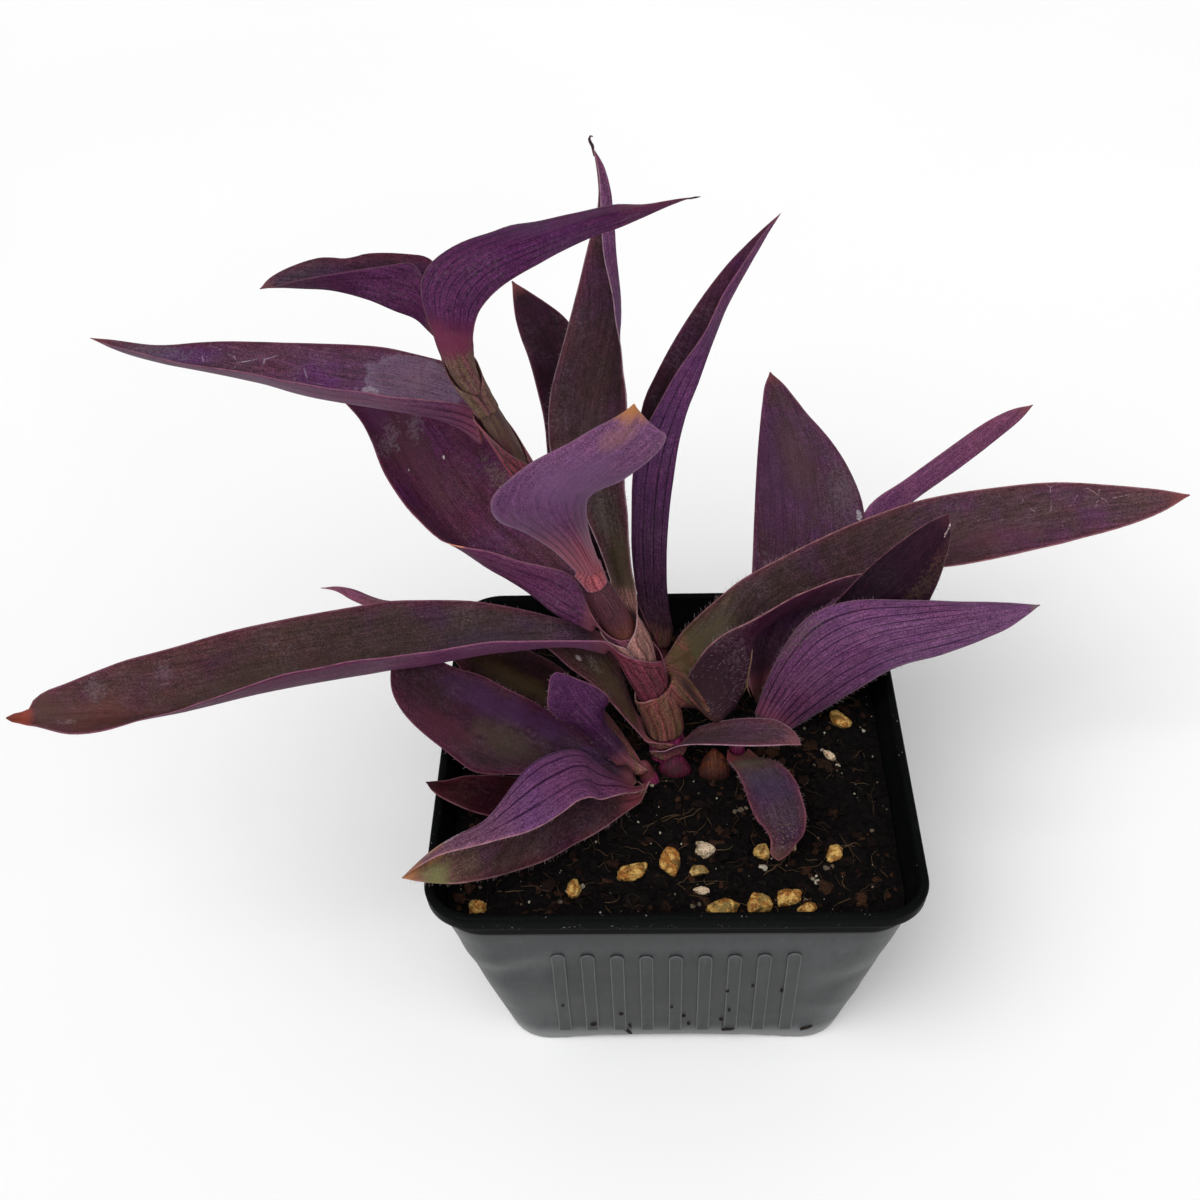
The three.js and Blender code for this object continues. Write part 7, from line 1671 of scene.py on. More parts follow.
def soil_surface():
    """The surface of the mix with its sides and flat underside, closed."""
    n = 168
    line = np.linspace(-1, 1, n)
    corner = 9.0
    gx, gy = np.meshgrid(line, line, indexing="ij")
    # a square grid pulled into the rounded square
    x, y = gx * INNER, gy * INNER
    r = np.maximum(np.abs(gx), np.abs(gy))
    with np.errstate(divide="ignore", invalid="ignore"):
        dx, dy = np.where(r > 0, gx / r, 0), np.where(r > 0, gy / r, 0)
    ex, ey = dx * INNER, dy * INNER
    qx, qy = np.abs(ex) - (INNER - corner), np.abs(ey) - (INNER - corner)
    over = np.hypot(np.maximum(qx, 0), np.maximum(qy, 0))
    pull = np.where(over > corner, corner / np.maximum(over, 1e-9), 1.0)
    cx = np.where(qx > 0, np.sign(ex) * ((INNER - corner) + np.maximum(qx, 0) * pull), ex)
    cy = np.where(qy > 0, np.sign(ey) * ((INNER - corner) + np.maximum(qy, 0) * pull), ey)
    k = r**3
    x = x * (1 - k) + (cx * r) * k
    y = y * (1 - k) + (cy * r) * k
    z = soil_height(x, y)
    top = np.stack([x, y, z], -1).reshape(-1, 3)
    low = top.copy()
    low[:, 2] = 44.0
    i, j = np.meshgrid(np.arange(n - 1), np.arange(n - 1), indexing="ij")
    a = (i * n + j).ravel()
    faces = [np.stack([a, a + n, a + n + 1, a + 1], 1)]
    o = n * n
    rim = np.r_[np.arange(n) * n, (n - 1) * n + np.arange(1, n), (np.arange(n - 2, -1, -1)) * n + n - 1, np.arange(n - 2, 0, -1)]
    ring = top[rim].copy()
    ring[:, 2] = 44.0
    ring[:, :2] *= 0.995
    m = len(rim)
    k = np.arange(m)
    faces.append(np.stack([rim, rim[(k + 1) % m], o + (k + 1) % m, o + k], 1)[:, ::-1])
    points = np.concatenate([top, ring, [[0, 0, 44.0]]])
    tris = np.stack([o + k, o + (k + 1) % m, np.full(m, o + m)], 1)[:, ::-1]
    return points, [tuple(f) for f in np.concatenate(faces)] + [tuple(f) for f in tris]


ICO = None


def ico(level):
    """Unit icosphere: points and faces."""
    t = (1 + 5**0.5) / 2
    p = [(-1, t, 0), (1, t, 0), (-1, -t, 0), (1, -t, 0), (0, -1, t), (0, 1, t), (0, -1, -t), (0, 1, -t), (t, 0, -1), (t, 0, 1), (-t, 0, -1), (-t, 0, 1)]
    p = [np.array(v, float) / np.linalg.norm(v) for v in p]
    f = [(0, 11, 5), (0, 5, 1), (0, 1, 7), (0, 7, 10), (0, 10, 11), (1, 5, 9), (5, 11, 4), (11, 10, 2), (10, 7, 6), (7, 1, 8), (3, 9, 4), (3, 4, 2), (3, 2, 6), (3, 6, 8), (3, 8, 9), (4, 9, 5), (2, 4, 11), (6, 2, 10), (8, 6, 7), (9, 8, 1)]
    for _ in range(level):
        mid, new = {}, []

        def half(a, b):
            key = (min(a, b), max(a, b))
            if key not in mid:
                v = p[a] + p[b]
                p.append(v / np.linalg.norm(v))
                mid[key] = len(p) - 1
            return mid[key]

        for a, b, c in f:
            ab, bc, ca = half(a, b), half(b, c), half(c, a)
            new += [(a, ab, ca), (b, bc, ab), (c, ca, bc), (ab, bc, ca)]
        f = new
    return np.array(p), f


ICO0, ICO1, ICO4 = ico(0), ico(1), ico(4)


def turn(ax, ay, az):
    return np.array(Matrix.Rotation(az, 3, "Z") @ Matrix.Rotation(ay, 3, "Y") @ Matrix.Rotation(ax, 3, "X"))


def in_pot(x, y, gap):
    return rounded_inside(x, y, INNER, 9.0) > gap


srng = np.random.default_rng(77)
mix = Bag()
pts, fcs = soil_surface()
mix.add(pts, fcs, 0.0)
surface_points = len(mix.points)
# bark chips and crumbs. The tone says what each is: below 0.5 bark, above it a pale speck.
for _ in range(2300):
    x, y = srng.uniform(-INNER, INNER, 2)
    size = srng.gamma(2.2, 0.55) + 0.35
    size = min(size, 5.2)
    if not in_pot(x, y, 0.4 + size * 0.5):
        continue
    z = float(soil_height(x, y))
    flat = srng.uniform(0.22, 0.7)
    thin = srng.uniform(0.35, 0.9)
    base, tri = ICO1 if size > 1.3 else ICO0
    p = base * (1 + 0.28 * srng.normal(0, 1, (len(base), 1)).clip(-1.3, 1.3))
    p = p * np.array([size / 2, size / 2 * thin, size / 2 * flat])
    p = p @ turn(srng.normal(0, 0.35), srng.normal(0, 0.35), srng.uniform(0, 6.3)).T
    lift = srng.uniform(-0.2, 0.5) * size * 0.25
    mix.add(p + np.array([x, y, z + lift]), tri, srng.uniform(0.05, 0.48))
# pale specks of perlite, sand and lime
for _ in range(300):
    x, y = srng.uniform(-INNER, INNER, 2)
    if not in_pot(x, y, 0.7):
        continue
    size = 0.12 + srng.gamma(1.1, 0.22)
    size = min(size, 1.6)
    z = float(soil_height(x, y))
    base, tri = ICO0
    p = base * (1 + 0.2 * srng.normal(0, 1, (len(base), 1)).clip(-1.2, 1.2)) * size / 2
    mix.add(p @ turn(*srng.uniform(0, 6, 3)).T + np.array([x, y, z + size * 0.25 + 0.2]), tri, srng.uniform(0.72, 1.0))
# crumbs that stand out: x, y, size, tone
for x, y, size, tone in [
    (14.7, -14.8, 1.5, 0.76), (13.4, -15.2, 1.1, 0.74), (15.9, -14.2, 1.0, 0.78), (31.6, -31.5, 1.4, 0.73), (32.9, -31.0, 1.0, 0.72), (29.6, -35.2, 1.7, 0.92),
    (28.6, -34.2, 1.0, 0.85), (37.1, -0.9, 1.1, 0.96), (33.9, 3.4, 0.9, 0.9), (18.5, -31.3, 1.9, 0.95), (3.4, -41.6, 1.3, 0.76), (4.9, -41.0, 1.0, 0.74),
    (-23.7, -39.8, 1.2, 0.74), (-19.2, -35.6, 1.2, 0.9), (-22.4, -36.6, 1.0, 0.8), (-40.5, -35.7, 0.9, 0.74), (-13.0, -29.5, 0.9, 0.75), (42.3, -21.2, 1.0, 0.74),
]:
    base, tri = ICO1
    p = base * (1 + 0.22 * srng.normal(0, 1, (len(base), 1)).clip(-1.2, 1.2)) * np.array([size, size * 0.8, size * 0.6]) / 2
    mix.add(p @ turn(0, 0, srng.uniform(0, 6)).T + np.array([x, y, float(soil_height(x, y)) + size * 0.2]), tri, tone)
# root and bark fibres
for _ in range(460):
    x, y = srng.uniform(-INNER, INNER, 2)
    long = srng.gamma(3.0, 1.5) + 1.5
    if not in_pot(x, y, 1.0 + long * 0.5):
        continue
    a = srng.uniform(0, 2 * math.pi)
    curl = srng.normal(0, 1.1) / max(long, 2)
    path = []
    px, py = x, y
    steps = 7
    for k in range(steps):
        arch = 0.35 * math.sin(math.pi * k / (steps - 1)) * srng.uniform(0.6, 1.6)
        path.append((px, py, float(soil_height(px, py)) + 0.32 + arch))
        px += math.cos(a) * long / steps
        py += math.sin(a) * long / steps
        a += curl * long / steps + srng.normal(0, 0.16)
    r = srng.uniform(0.05, 0.13)
    p, f = strand(path, [r * 0.6] + [r] * (steps - 2) + [r * 0.5])
    mix.add(p, f, srng.uniform(0.5, 0.66))


def mix_material():
    t = Tree("potting_mix_grit")
    tone = t.attr("tone").outputs["Fac"]
    where = t.place()
    n1 = t.noise(where, 0.5, 5.0, 0.7)
    n2 = t.noise(where, 2.2, 4.0, 0.7)
    cell = t.cells(where, 0.9, out="Color")
    earth = t.mix(t.span(n1, 0.35, 0.7), lin((4, 3, 4)), lin((14, 10, 9)))
    earth = t.mix(t.mul(t.span(n2, 0.52, 0.75), 0.4), earth, lin((40, 29, 24)))
    bark = t.ramp(t.math("PINGPONG", t.mul(tone, 9.7), 1.0), [(0.0, lin((6, 5, 5))), (0.45, lin((16, 10, 9))), (0.7, lin((36, 20, 15))), (0.88, lin((70, 44, 30))), (1.0, lin((26, 22, 20)))])
    bark = t.mix(t.span(n2, 0.3, 0.7, 0.75, 0.0), bark, lin((14, 10, 9)))
    fibre = t.mix(t.span(tone, 0.5, 0.66), lin((34, 24, 19)), lin((84, 66, 48)))
    pale = t.mix(t.span(tone, 0.72, 1.0), lin((92, 82, 70)), lin((188, 180, 164)))
    pale = t.mix(t.mul(t.span(n2, 0.4, 0.65), 0.6), pale, lin((104, 88, 66)))
    c = t.mix(t.math("GREATER_THAN", tone, 0.02), earth, bark)
    c = t.mix(t.math("GREATER_THAN", tone, 0.49), c, fibre)
    c = t.mix(t.math("GREATER_THAN", tone, 0.69), c, pale)
    h = t.add(t.mul(n1, 0.7), n2)
    return t.finish(c, t.span(n2, 0.3, 0.7, 0.55, 0.9), t.bump(h, 0.9, 0.0004), specular=0.08)


mix_ob = make("potting_mix_surface", mix.points, mix.faces, [mix_material()], {"tone": mix.tone}, smooth=False)
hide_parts("potting_mix")
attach(mix_ob, "root")

# ---------------------------------------------------------------- grains
GRAINS = [
    (-40.4, -41.6, 4.0, 3.4, 3.0, 20), (-20.9, -37.3, 4.2, 3.2, 3.0, 70), (-8.9, -32.5, 6.6, 3.3, 3.0, 12), (-0.5, -29.6, 6.4, 4.2, 3.6, 80),
    (6.3, -26.6, 4.6, 3.4, 2.8, -20), (5.2, -32.2, 3.5, 2.4, 2.4, 10), (5.5, -37.6, 3.2, 1.9, 2.2, 5), (9.9, -42.2, 6.2, 4.2, 3.6, 8),
    (16.9, -41.5, 5.4, 4.2, 3.4, 170), (23.0, -39.6, 5.4, 3.8, 3.4, 35), (26.4, -42.8, 3.9, 2.7, 2.6, 20), (18.6, -27.2, 3.4, 3.2, 2.8, 15),
    (24.0, -25.4, 3.6, 3.2, 2.8, 100), (33.7, -28.2, 4.0, 3.4, 3.0, 50), (38.8, 12.7, 5.4, 3.7, 3.6, -35), (35.2, 1.4, 3.4, 1.5, 1.8, -40),
]
# how stained each grain is: 0 white perlite, 1 rusty pumice
STAIN = [0.7, 0.6, 0.8, 0.85, 0.15, 0.5, 0.25, 0.9, 0.7, 0.8, 0.9, 0.55, 0.2, 0.75, 0.7, 0.05]


def grain_material():
    t = Tree("pumice_grain")
    tone = t.attr("tone").outputs["Fac"]
    hollow = t.attr("hollow").outputs["Fac"]
    where = t.place()
    n1 = t.noise(where, 0.55, 4.0, 0.65)
    n2 = t.noise(where, 2.6, 4.0, 0.7)
    white = t.mix(t.span(n2, 0.3, 0.7), lin((222, 202, 176)), lin((170, 146, 116)))
    tan = t.mix(t.span(n2, 0.3, 0.7), lin((220, 182, 106)), lin((172, 132, 66)))
    rust = t.mix(t.span(n2, 0.35, 0.65), lin((168, 104, 36)), lin((98, 64, 28)))
    c = t.mix(t.span(tone, 0.2, 0.6), white, tan)
    level = t.math("SUBTRACT", t.add(n1, t.mul(tone, 0.22)), 0.0)
    c = t.mix(t.span(level, 0.58, 0.76), c, rust)
    c = t.mix(t.mul(t.span(n2, 0.56, 0.72), 0.75), c, lin((74, 54, 28)))
    n3 = t.noise(where, 0.34, 3.0, 0.6)
    c = t.mix(t.mul(t.span(n3, 0.52, 0.6), 0.7), c, lin((88, 76, 38)))
    c = t.mix(t.span(hollow, 0.25, 1.0, 0.0, 0.75), c, lin((84, 54, 30)))
    z = t.split(where)[2]
    c = t.mix(t.span(z, 49.6, 51.0, 0.75, 0.0), c, lin((44, 32, 24)))
    return t.finish(c, t.span(n2, 0.3, 0.7, 0.6, 0.85), t.bump(t.add(n1, n2), 0.8, 0.0002), specular=0.25, subsurface=0.0)


grain_mat = grain_material()
for k, (x, y, long, wide, high, deg) in enumerate(GRAINS):
    r = np.random.default_rng(300 + k)
    base, tri = ICO4
    planes = r.normal(0, 1, (13, 3))
    planes /= np.linalg.norm(planes, axis=1, keepdims=True)
    reach = r.uniform(0.78, 1.02, 13)
    facing = base @ planes.T
    q = np.where(facing > 0.05, reach[None] / np.maximum(facing, 0.05), 9.0)
    radius = -np.log(np.exp(-14 * q).sum(1)) / 14
    radius = np.clip(radius, 0.6, 1.2)
    bumps = soil_noise.layers(base[:, 0] * 2.3 + k, base[:, 1] * 2.3, base[:, 2] * 2.3, 4, 0.6)
    pits = np.clip(soil_noise(base[:, 0] * 5 + 3 * k, base[:, 1] * 5, base[:, 2] * 5) - 0.35, 0, 1)
    radius = radius * (1 + 0.07 * bumps - 0.22 * pits)
    p = base * radius[:, None] * np.array([long, wide, high]) / 2
    p = p @ turn(r.normal(0, 0.2), r.normal(0, 0.2), math.radians(deg)).T + np.array([x, y, 50.65])
    ob = make(f"grain_{k + 1:02d}_stone", p, tri, [grain_mat], {"tone": np.full(len(p), STAIN[k]), "hollow": np.clip(pits * 2.2, 0, 1)})
    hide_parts(f"grain_{k + 1:02d}")
    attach(ob, "root")


# ---------------------------------------------------------------- pot
RIM_SIDE, POT_HEIGHT, BASE_SIDE, BODY_TOP_SIDE = 102.0, 58.0, 75.0, 98.8
LIP = POT_HEIGHT - 3.8
ARCH_HALF, ARCH_RISE, ARCH_IN = 26.0, 2.0, 11.0
FLOOR_TOP = 1.4
HOLES = [(x, y) for x in (-19, 19) for y in (-19, 19)]
SIDE_STEPS, CORNER_STEPS = 46, 16


def side_at(z):
    return BASE_SIDE + (BODY_TOP_SIDE - BASE_SIDE) * z / LIP


def loop_at(side, corner, z):
    """A rounded square, the same count of points whatever its size, with the share across each side."""
    out, across = [], []
    h, r = side / 2, corner
    for q in range(4):
        rot = (math.cos(q * math.pi / 2), math.sin(q * math.pi / 2))
        for k in range(SIDE_STEPS):
            t = -1 + 2 * k / SIDE_STEPS
            out.append(((h - r) * t, -h, rot))
            across.append((h - r) * t)
        for k in range(CORNER_STEPS):
            a = -math.pi / 2 + math.pi / 2 * k / CORNER_STEPS
            out.append((h - r + r * math.cos(a), -h + r + r * math.sin(a), rot))
            across.append(99.0)
    pts = np.array([(x * c - y * s, x * s + y * c, z) for x, y, (c, s) in out])
    return pts, np.array(across)


def arch(across):
    """Height of the arch over the foot, by the distance from the middle of a side."""
    return ARCH_RISE * np.sqrt(np.clip(1 - (np.asarray(across) / ARCH_HALF) ** 2, 0, 1))


def bell(x, z, cx, cz, rx, rz, deg=0.0):
    a = math.radians(deg)
    dx, dz = x - cx, z - cz
    u = (dx * math.cos(a) + dz * math.sin(a)) / rx
    v = (-dx * math.sin(a) + dz * math.cos(a)) / rz
    return np.exp(-(u * u + v * v))


def dents(p):
    """How far the thin wall is pushed in, mm."""
    x, y, z = p[:, 0], p[:, 1], p[:, 2]
    front = smoothstep(-0.55, -0.85, y / (side_at(z) / 2)) * smoothstep(2, 12, z) * smoothstep(53.5, 44, z)
    d = 0.75 * bell(x, z, -33, 32, 9, 4.0, 24) - 0.45 * bell(x, z, -35, 39, 11, 3.2, 22) - 0.35 * bell(x, z, -30, 21, 12, 6, 10)
    d = d + 0.5 * bell(x, z, 37, 30, 8, 3.2, 40) - 0.35 * bell(x, z, 34, 17, 9, 3.5, -8) + 0.12 * bell(x, z, 40, 44, 8, 3.6, 30)
    ripple = 0.10 * noise(x * 0.07, z * 0.11, y * 0.07 + 5) + 0.05 * noise(x * 0.2, z * 0.22, y * 0.2)
    free = smoothstep(2, 9, z) * smoothstep(53.5, 46, z)
    return d * front + ripple * free


def bridge(a, b, n):
    """Quads between two loops of n points that start at index a and b."""
    k = np.arange(n)
    j = (k + 1) % n
    return np.stack([a + k, a + j, b + j, b + k], 1)


def pot_shell():
    pts, quads, starts = [], [], []
    count = 4 * (SIDE_STEPS + CORNER_STEPS)

    def put(side, corner, z, lift=0.0, push=True):
        p, across = loop_at(side, corner, z)
        if push:
            d = dents(p)
            n = p[:, :2] / np.maximum(np.abs(p[:, :2]).max(1, keepdims=True), 1e-9)
            n = np.where(np.abs(n) > 0.9999, np.sign(n), 0)
            size = np.maximum(np.linalg.norm(n, axis=1, keepdims=True), 1)
            p[:, :2] -= n / size * d[:, None]
        if lift:
            p[:, 2] = np.maximum(p[:, 2], arch(across) * lift + (z if z > 0 else 0) * 0.0)
        starts.append(sum(len(q) for q in pts))
        pts.append(p)

    # under the foot: from the middle's border outwards, the ceiling of the arches
    inner = BASE_SIDE / 2 - ARCH_IN
    put(2 * inner - 0.6, 4.0, 0.0, push=False)
    put(2 * inner, 4.4, 0.0, push=False)
    for d in (0.02, 2.5, 5.5, 8.5, 10.0):
        put(2 * (inner + d), 4.4 + (9.5 - 4.4) * d / ARCH_IN, 0.0, lift=1.0, push=False)
    put(BASE_SIDE - 1.0, 9.5, 0.0, lift=1.0, push=False)
    put(BASE_SIDE - 0.35, 9.5, 0.22, lift=1.04, push=False)
    for z in (0.8, 1.4, 2.0, 2.8, 3.8, 5.0):
        put(side_at(z) - 0.02, 9.5, z, lift=1.15 if z < 2.4 else 0.0)
    for z in np.linspace(6.4, 53.2, 34):
        put(side_at(z), 9.5 + 0.4 * z / LIP, float(z))
    # the lip, a folded band with rounded edges
    lip = [
        (BODY_TOP_SIDE, 9.9, LIP - 0.35),
        (BODY_TOP_SIDE + 0.5, 10.0, LIP - 0.05),
        (RIM_SIDE - 1.6, 10.3, LIP),
        (RIM_SIDE - 0.9, 10.4, LIP + 0.06),
        (RIM_SIDE - 0.5, 10.5, LIP + 0.35),
        (RIM_SIDE - 0.35, 10.5, LIP + 1.2),
        (RIM_SIDE - 0.15, 10.5, LIP + 2.2),
        (RIM_SIDE - 0.02, 10.5, LIP + 2.9),
        (RIM_SIDE - 0.15, 10.45, LIP + 3.3),
        (RIM_SIDE - 0.55, 10.3, LIP + 3.62),
        (RIM_SIDE - 1.1, 10.2, LIP + 3.78),
        (RIM_SIDE - 2.0, 9.9, LIP + 3.8),
        (RIM_SIDE - 2.9, 9.4, LIP + 3.72),
        (RIM_SIDE - 3.5, 9.0, LIP + 3.5),
        (RIM_SIDE - 3.9, 8.8, LIP + 3.1),
        (RIM_SIDE - 4.1, 8.7, LIP + 2.2),
        (side_at(LIP) - 2.6, 8.6, LIP + 0.4),
    ]
    for side, corner, z in lip:
        put(side, corner, z, push=False)
    first_inner = sum(len(q) for q in pts)
    for z in (50, 46, 40, 32, 24, 16, 10, 6):
        put(side_at(z) - 2.2, 8.6, float(z), push=False)
    for z, d in ((4.4, 0.1), (2.6, 0.9), (1.7, 2.2), (FLOOR_TOP, 3.8)):
        put(side_at(z) - 2.2 - d, 8.4, z, lift=0.0, push=False)
    # floor inside, raised over the arches
    for d in (3.5, 7.0, 10.0, 12.3, 13.4):
        p, across = loop_at(2 * (side_at(1.4) / 2 - 1.1 - d), max(3.5, 8.4 - d * 0.4), FLOOR_TOP)
        hump = (ARCH_RISE + 1.1) * np.sqrt(np.clip(1 - (across / (ARCH_HALF + 1.1)) ** 2, 0, 1)) if d < 12 else 0 * across
        p[:, 2] = np.maximum(p[:, 2], np.where(across < 90, hump, 0))
        starts.append(sum(len(q) for q in pts))
        pts.append(p)
    for a, b in zip(starts[:-1], starts[1:]):
        quads.append(bridge(a, b, count))
    allp = np.concatenate(pts)
    faces = [tuple(f) for q in quads for f in q]
    # the two flat middles with their drain holes
    allp = allp.tolist()
    ring_n = 28
    hole_low, hole_high = [], []
    for where, z, keep in ((starts[0], 0.0, hole_low), (starts[-1], FLOOR_TOP, hole_high)):
        border = [where + i for i in range(count)]
        loops = [[Vector(allp[i]) for i in border]]
        index = list(border)
        for hx, hy in HOLES:
            o = len(allp)
            keep.append(o)
            ringp = []
            for i in range(ring_n):
                a = 2 * math.pi * i / ring_n
                ringp.append((hx + 3.5 * math.cos(a), hy + 3.5 * math.sin(a), z))
            allp.extend(ringp)
            loops.append([Vector(v) for v in ringp])
            index.extend(range(o, o + ring_n))
        flip = z > 0.5
        for f in tessellate_polygon(loops):
            f = tuple(index[i] for i in f)
            a, b, c = (np.array(allp[i]) for i in f)
            up = np.cross(b - a, c - a)[2] > 0
            if up != flip:
                f = f[::-1]
            faces.append(f)
    for a, b in zip(hole_low, hole_high):
        for q in bridge(a, b, ring_n):
            faces.append(tuple(q))
    allp = np.array(allp)
    within = (np.arange(len(allp)) >= first_inner) & (allp[:, 2] > 0.5)
    return allp, faces, within


def rib_solid(k, q):
    """An upright rib with a round top and rolled edges, standing on the wall."""
    w, tall = 2.9 / 2, 0.5
    slope = math.atan((BODY_TOP_SIDE - BASE_SIDE) / 2 / LIP)
    length = (35.3 + 1.1 * ((k - 4) / 4) ** 2) / math.cos(slope)
    pts, fcs = [], []
    outline = []
    n_up, n_arc = 12, 14
    for i in range(n_up):
        outline.append((w, length * 0.98 * i / n_up * (1 - w / length)))
    for i in range(n_arc + 1):
        a = math.pi * i / n_arc
        outline.append((w * math.cos(a), length - w + w * math.sin(a)))
    for i in range(n_up - 1, -1, -1):
        outline.append((-w, length * 0.98 * i / n_up * (1 - w / length)))
    outline = np.array(outline)
    mid = outline.copy()
    mid[:, 0] = 0
    mid[:, 1] = np.clip(mid[:, 1], w, length - w)
    inward = mid - outline
    inward /= np.linalg.norm(inward, axis=1, keepdims=True) + 1e-9
    layers = [(0.0, -0.55), (0.0, 0.0), (-0.16, 0.02), (-0.02, 0.16), (0.03, 0.34), (0.14, 0.46), (0.34, 0.5), (0.55, 0.46)]
    layers[2] = (0.0, 0.1)
    n = len(outline)
    for inset, high in layers:
        for p in outline + inward * inset:
            pts.append((p[0], -high, p[1]))
    for a in range(len(layers) - 1):
        for i in range(n):
            j = (i + 1) % n
            fcs.append((a * n + i, a * n + j, (a + 1) * n + j, (a + 1) * n + i))
    fcs.append(tuple(range(n))[::-1])
    fcs.append(tuple((len(layers) - 1) * n + i for i in range(n)))
    pts = np.array(pts)
    # lean with the wall, then into place
    c, s = math.cos(slope), math.sin(slope)
    y, z = pts[:, 1].copy(), pts[:, 2].copy()
    pts[:, 1] = y * c - z * s
    pts[:, 2] = y * s + z * c
    pts[:, 0] += (k - 4) * 6.1
    pts[:, 1] += -side_at(5.5) / 2
    pts[:, 2] += 5.5
    pts[:, 1] += dents(pts) * 0.8
    a = q * math.pi / 2
    x, y = pts[:, 0].copy(), pts[:, 1].copy()
    pts[:, 0] = x * math.cos(a) - y * math.sin(a)
    pts[:, 1] = x * math.sin(a) + y * math.cos(a)
    return pts, fcs


def pot_material(name, specular):
    t = Tree(name)
    where = t.place()
    x, y, z = t.split(where)
    crumbs_dust_ribs_and_rib_highlight = t.attr("tone").outputs["Fac"]
    cloud = t.noise(where, 0.045, 3.0, 0.55)
    smear = t.noise(t.vec(t.mul(x, 0.05), t.mul(y, 0.05), t.mul(z, 0.3)), 1.0, 4.0, 0.6)
    grain = t.noise(where, 3.0, 3.0, 0.6)
    dusty = t.noise(where, 0.35, 5.0, 0.7)
    drawn = t.noise(t.vec(t.mul(x, 0.9), t.mul(y, 0.9), t.mul(z, 0.06)), 1.0, 3.0, 0.5)
    wall = t.mix(t.span(cloud, 0.35, 0.65), lin((50, 52, 53)), lin((60, 62, 63)))
    wall = t.mix(t.mul(t.span(smear, 0.4, 0.7), 0.4), wall, lin((68, 70, 71)))
    wall = t.mix(t.mul(t.span(drawn, 0.48, 0.7), 0.4), wall, lin((42, 44, 45)))
    wall = t.mix(t.mul(t.span(dusty, 0.56, 0.75), 0.35), wall, lin((92, 93, 93)))
    # darker over the field of ribs in the middle of each side
    near = t.math("MINIMUM", t.math("ABSOLUTE", x), t.math("ABSOLUTE", y))
    panel = t.mul(t.span(near, 20.0, 31.0, 1.0, 0.0), t.mul(t.span(z, 3.0, 9.0), t.span(z, 39.0, 46.0, 1.0, 0.0)))
    wall = t.mix(t.mul(panel, 0.9), wall, t.mix(1.0, wall, (0.46, 0.46, 0.47), "MULTIPLY"))
    wall = t.mix(1.0, wall, (0.88, 0.88, 0.88), "MULTIPLY")
    # painted shade of the lip: the wall darker towards its top, from 42 to 50 mm
    wall = t.mix(t.span(z, 42.0, 50.0, 0.0, 0.8), wall, t.mix(1.0, wall, (0.55, 0.55, 0.57), "MULTIPLY"))
    wall = t.mix(t.span(z, 7.5, 1.0, 0.0, 0.9), wall, lin((122, 123, 124)))
    wall = t.mix(t.span(crumbs_dust_ribs_and_rib_highlight, -0.1, -0.3, 0.0, 0.45), wall, lin((36, 38, 39)))
    # painted highlight: the rolled edges of the ribs, tone -1, drawn lighter
    wall = t.mix(t.span(crumbs_dust_ribs_and_rib_highlight, -0.4, -0.95, 0.0, 0.6), wall, lin((100, 102, 103)))
    # near-black for the lip, a band of the wall under it and the inside: the same plastic as the wall, painted far
    # darker as shade
    dark = t.mix(t.span(grain, 0.35, 0.65), lin((9, 10, 10)), lin((15, 16, 16)))
    speck = t.mul(t.span(dusty, 0.6, 0.72), t.span(grain, 0.45, 0.62))
    dark = t.mix(t.mul(speck, 0.45), dark, lin((64, 63, 61)))
    # from 4.7 mm under the lip upwards the wall is near-black: painted shadow of the lip
    c = t.mix(t.span(z, LIP - 4.7, LIP - 4.2), wall, dark)
    c = t.mix(t.math("GREATER_THAN", t.attr("within").outputs["Fac"], 0.4), c, dark)
    dirt = t.mix(t.span(grain, 0.4, 0.6), lin((20, 16, 14)), lin((44, 34, 28)))
    c = t.mix(t.math("GREATER_THAN", crumbs_dust_ribs_and_rib_highlight, 0.5), c, dirt)
    c = t.mix(t.math("GREATER_THAN", crumbs_dust_ribs_and_rib_highlight, 1.5), c, lin((112, 109, 103)))
    rough = t.span(t.add(t.mul(cloud, 0.5), t.mul(smear, 0.5)), 0.35, 0.65, 0.34, 0.46, "LINEAR")
    rough = t.mix(t.math("GREATER_THAN", crumbs_dust_ribs_and_rib_highlight, 0.5), rough, (0.9, 0.9, 0.9))
    h = t.add(t.mul(grain, 0.25), t.mul(drawn, 0.8))
    return t.finish(c, rough, t.bump(h, 0.35, 0.00015), specular=specular)


pot_points, pot_faces, pot_within = pot_shell()
pot_bag = Bag()
pot_bag.add(pot_points, pot_faces, 0.0)
for q in range(4):
    for k in range(9):
        p, f = rib_solid(k, q)
        o = len(pot_bag.tone)
        # ribs carry tone -0.3 and are drawn darker; the points of their rolled edges, layers 3 to 5, carry tone -1.0, a
        # painted highlight
        pot_bag.add(p, f, -0.3)
        n = len(p) // 8
        for layer in (3, 4, 5):
            for i in range(n):
                pot_bag.tone[o + layer * n + i] = -1.0
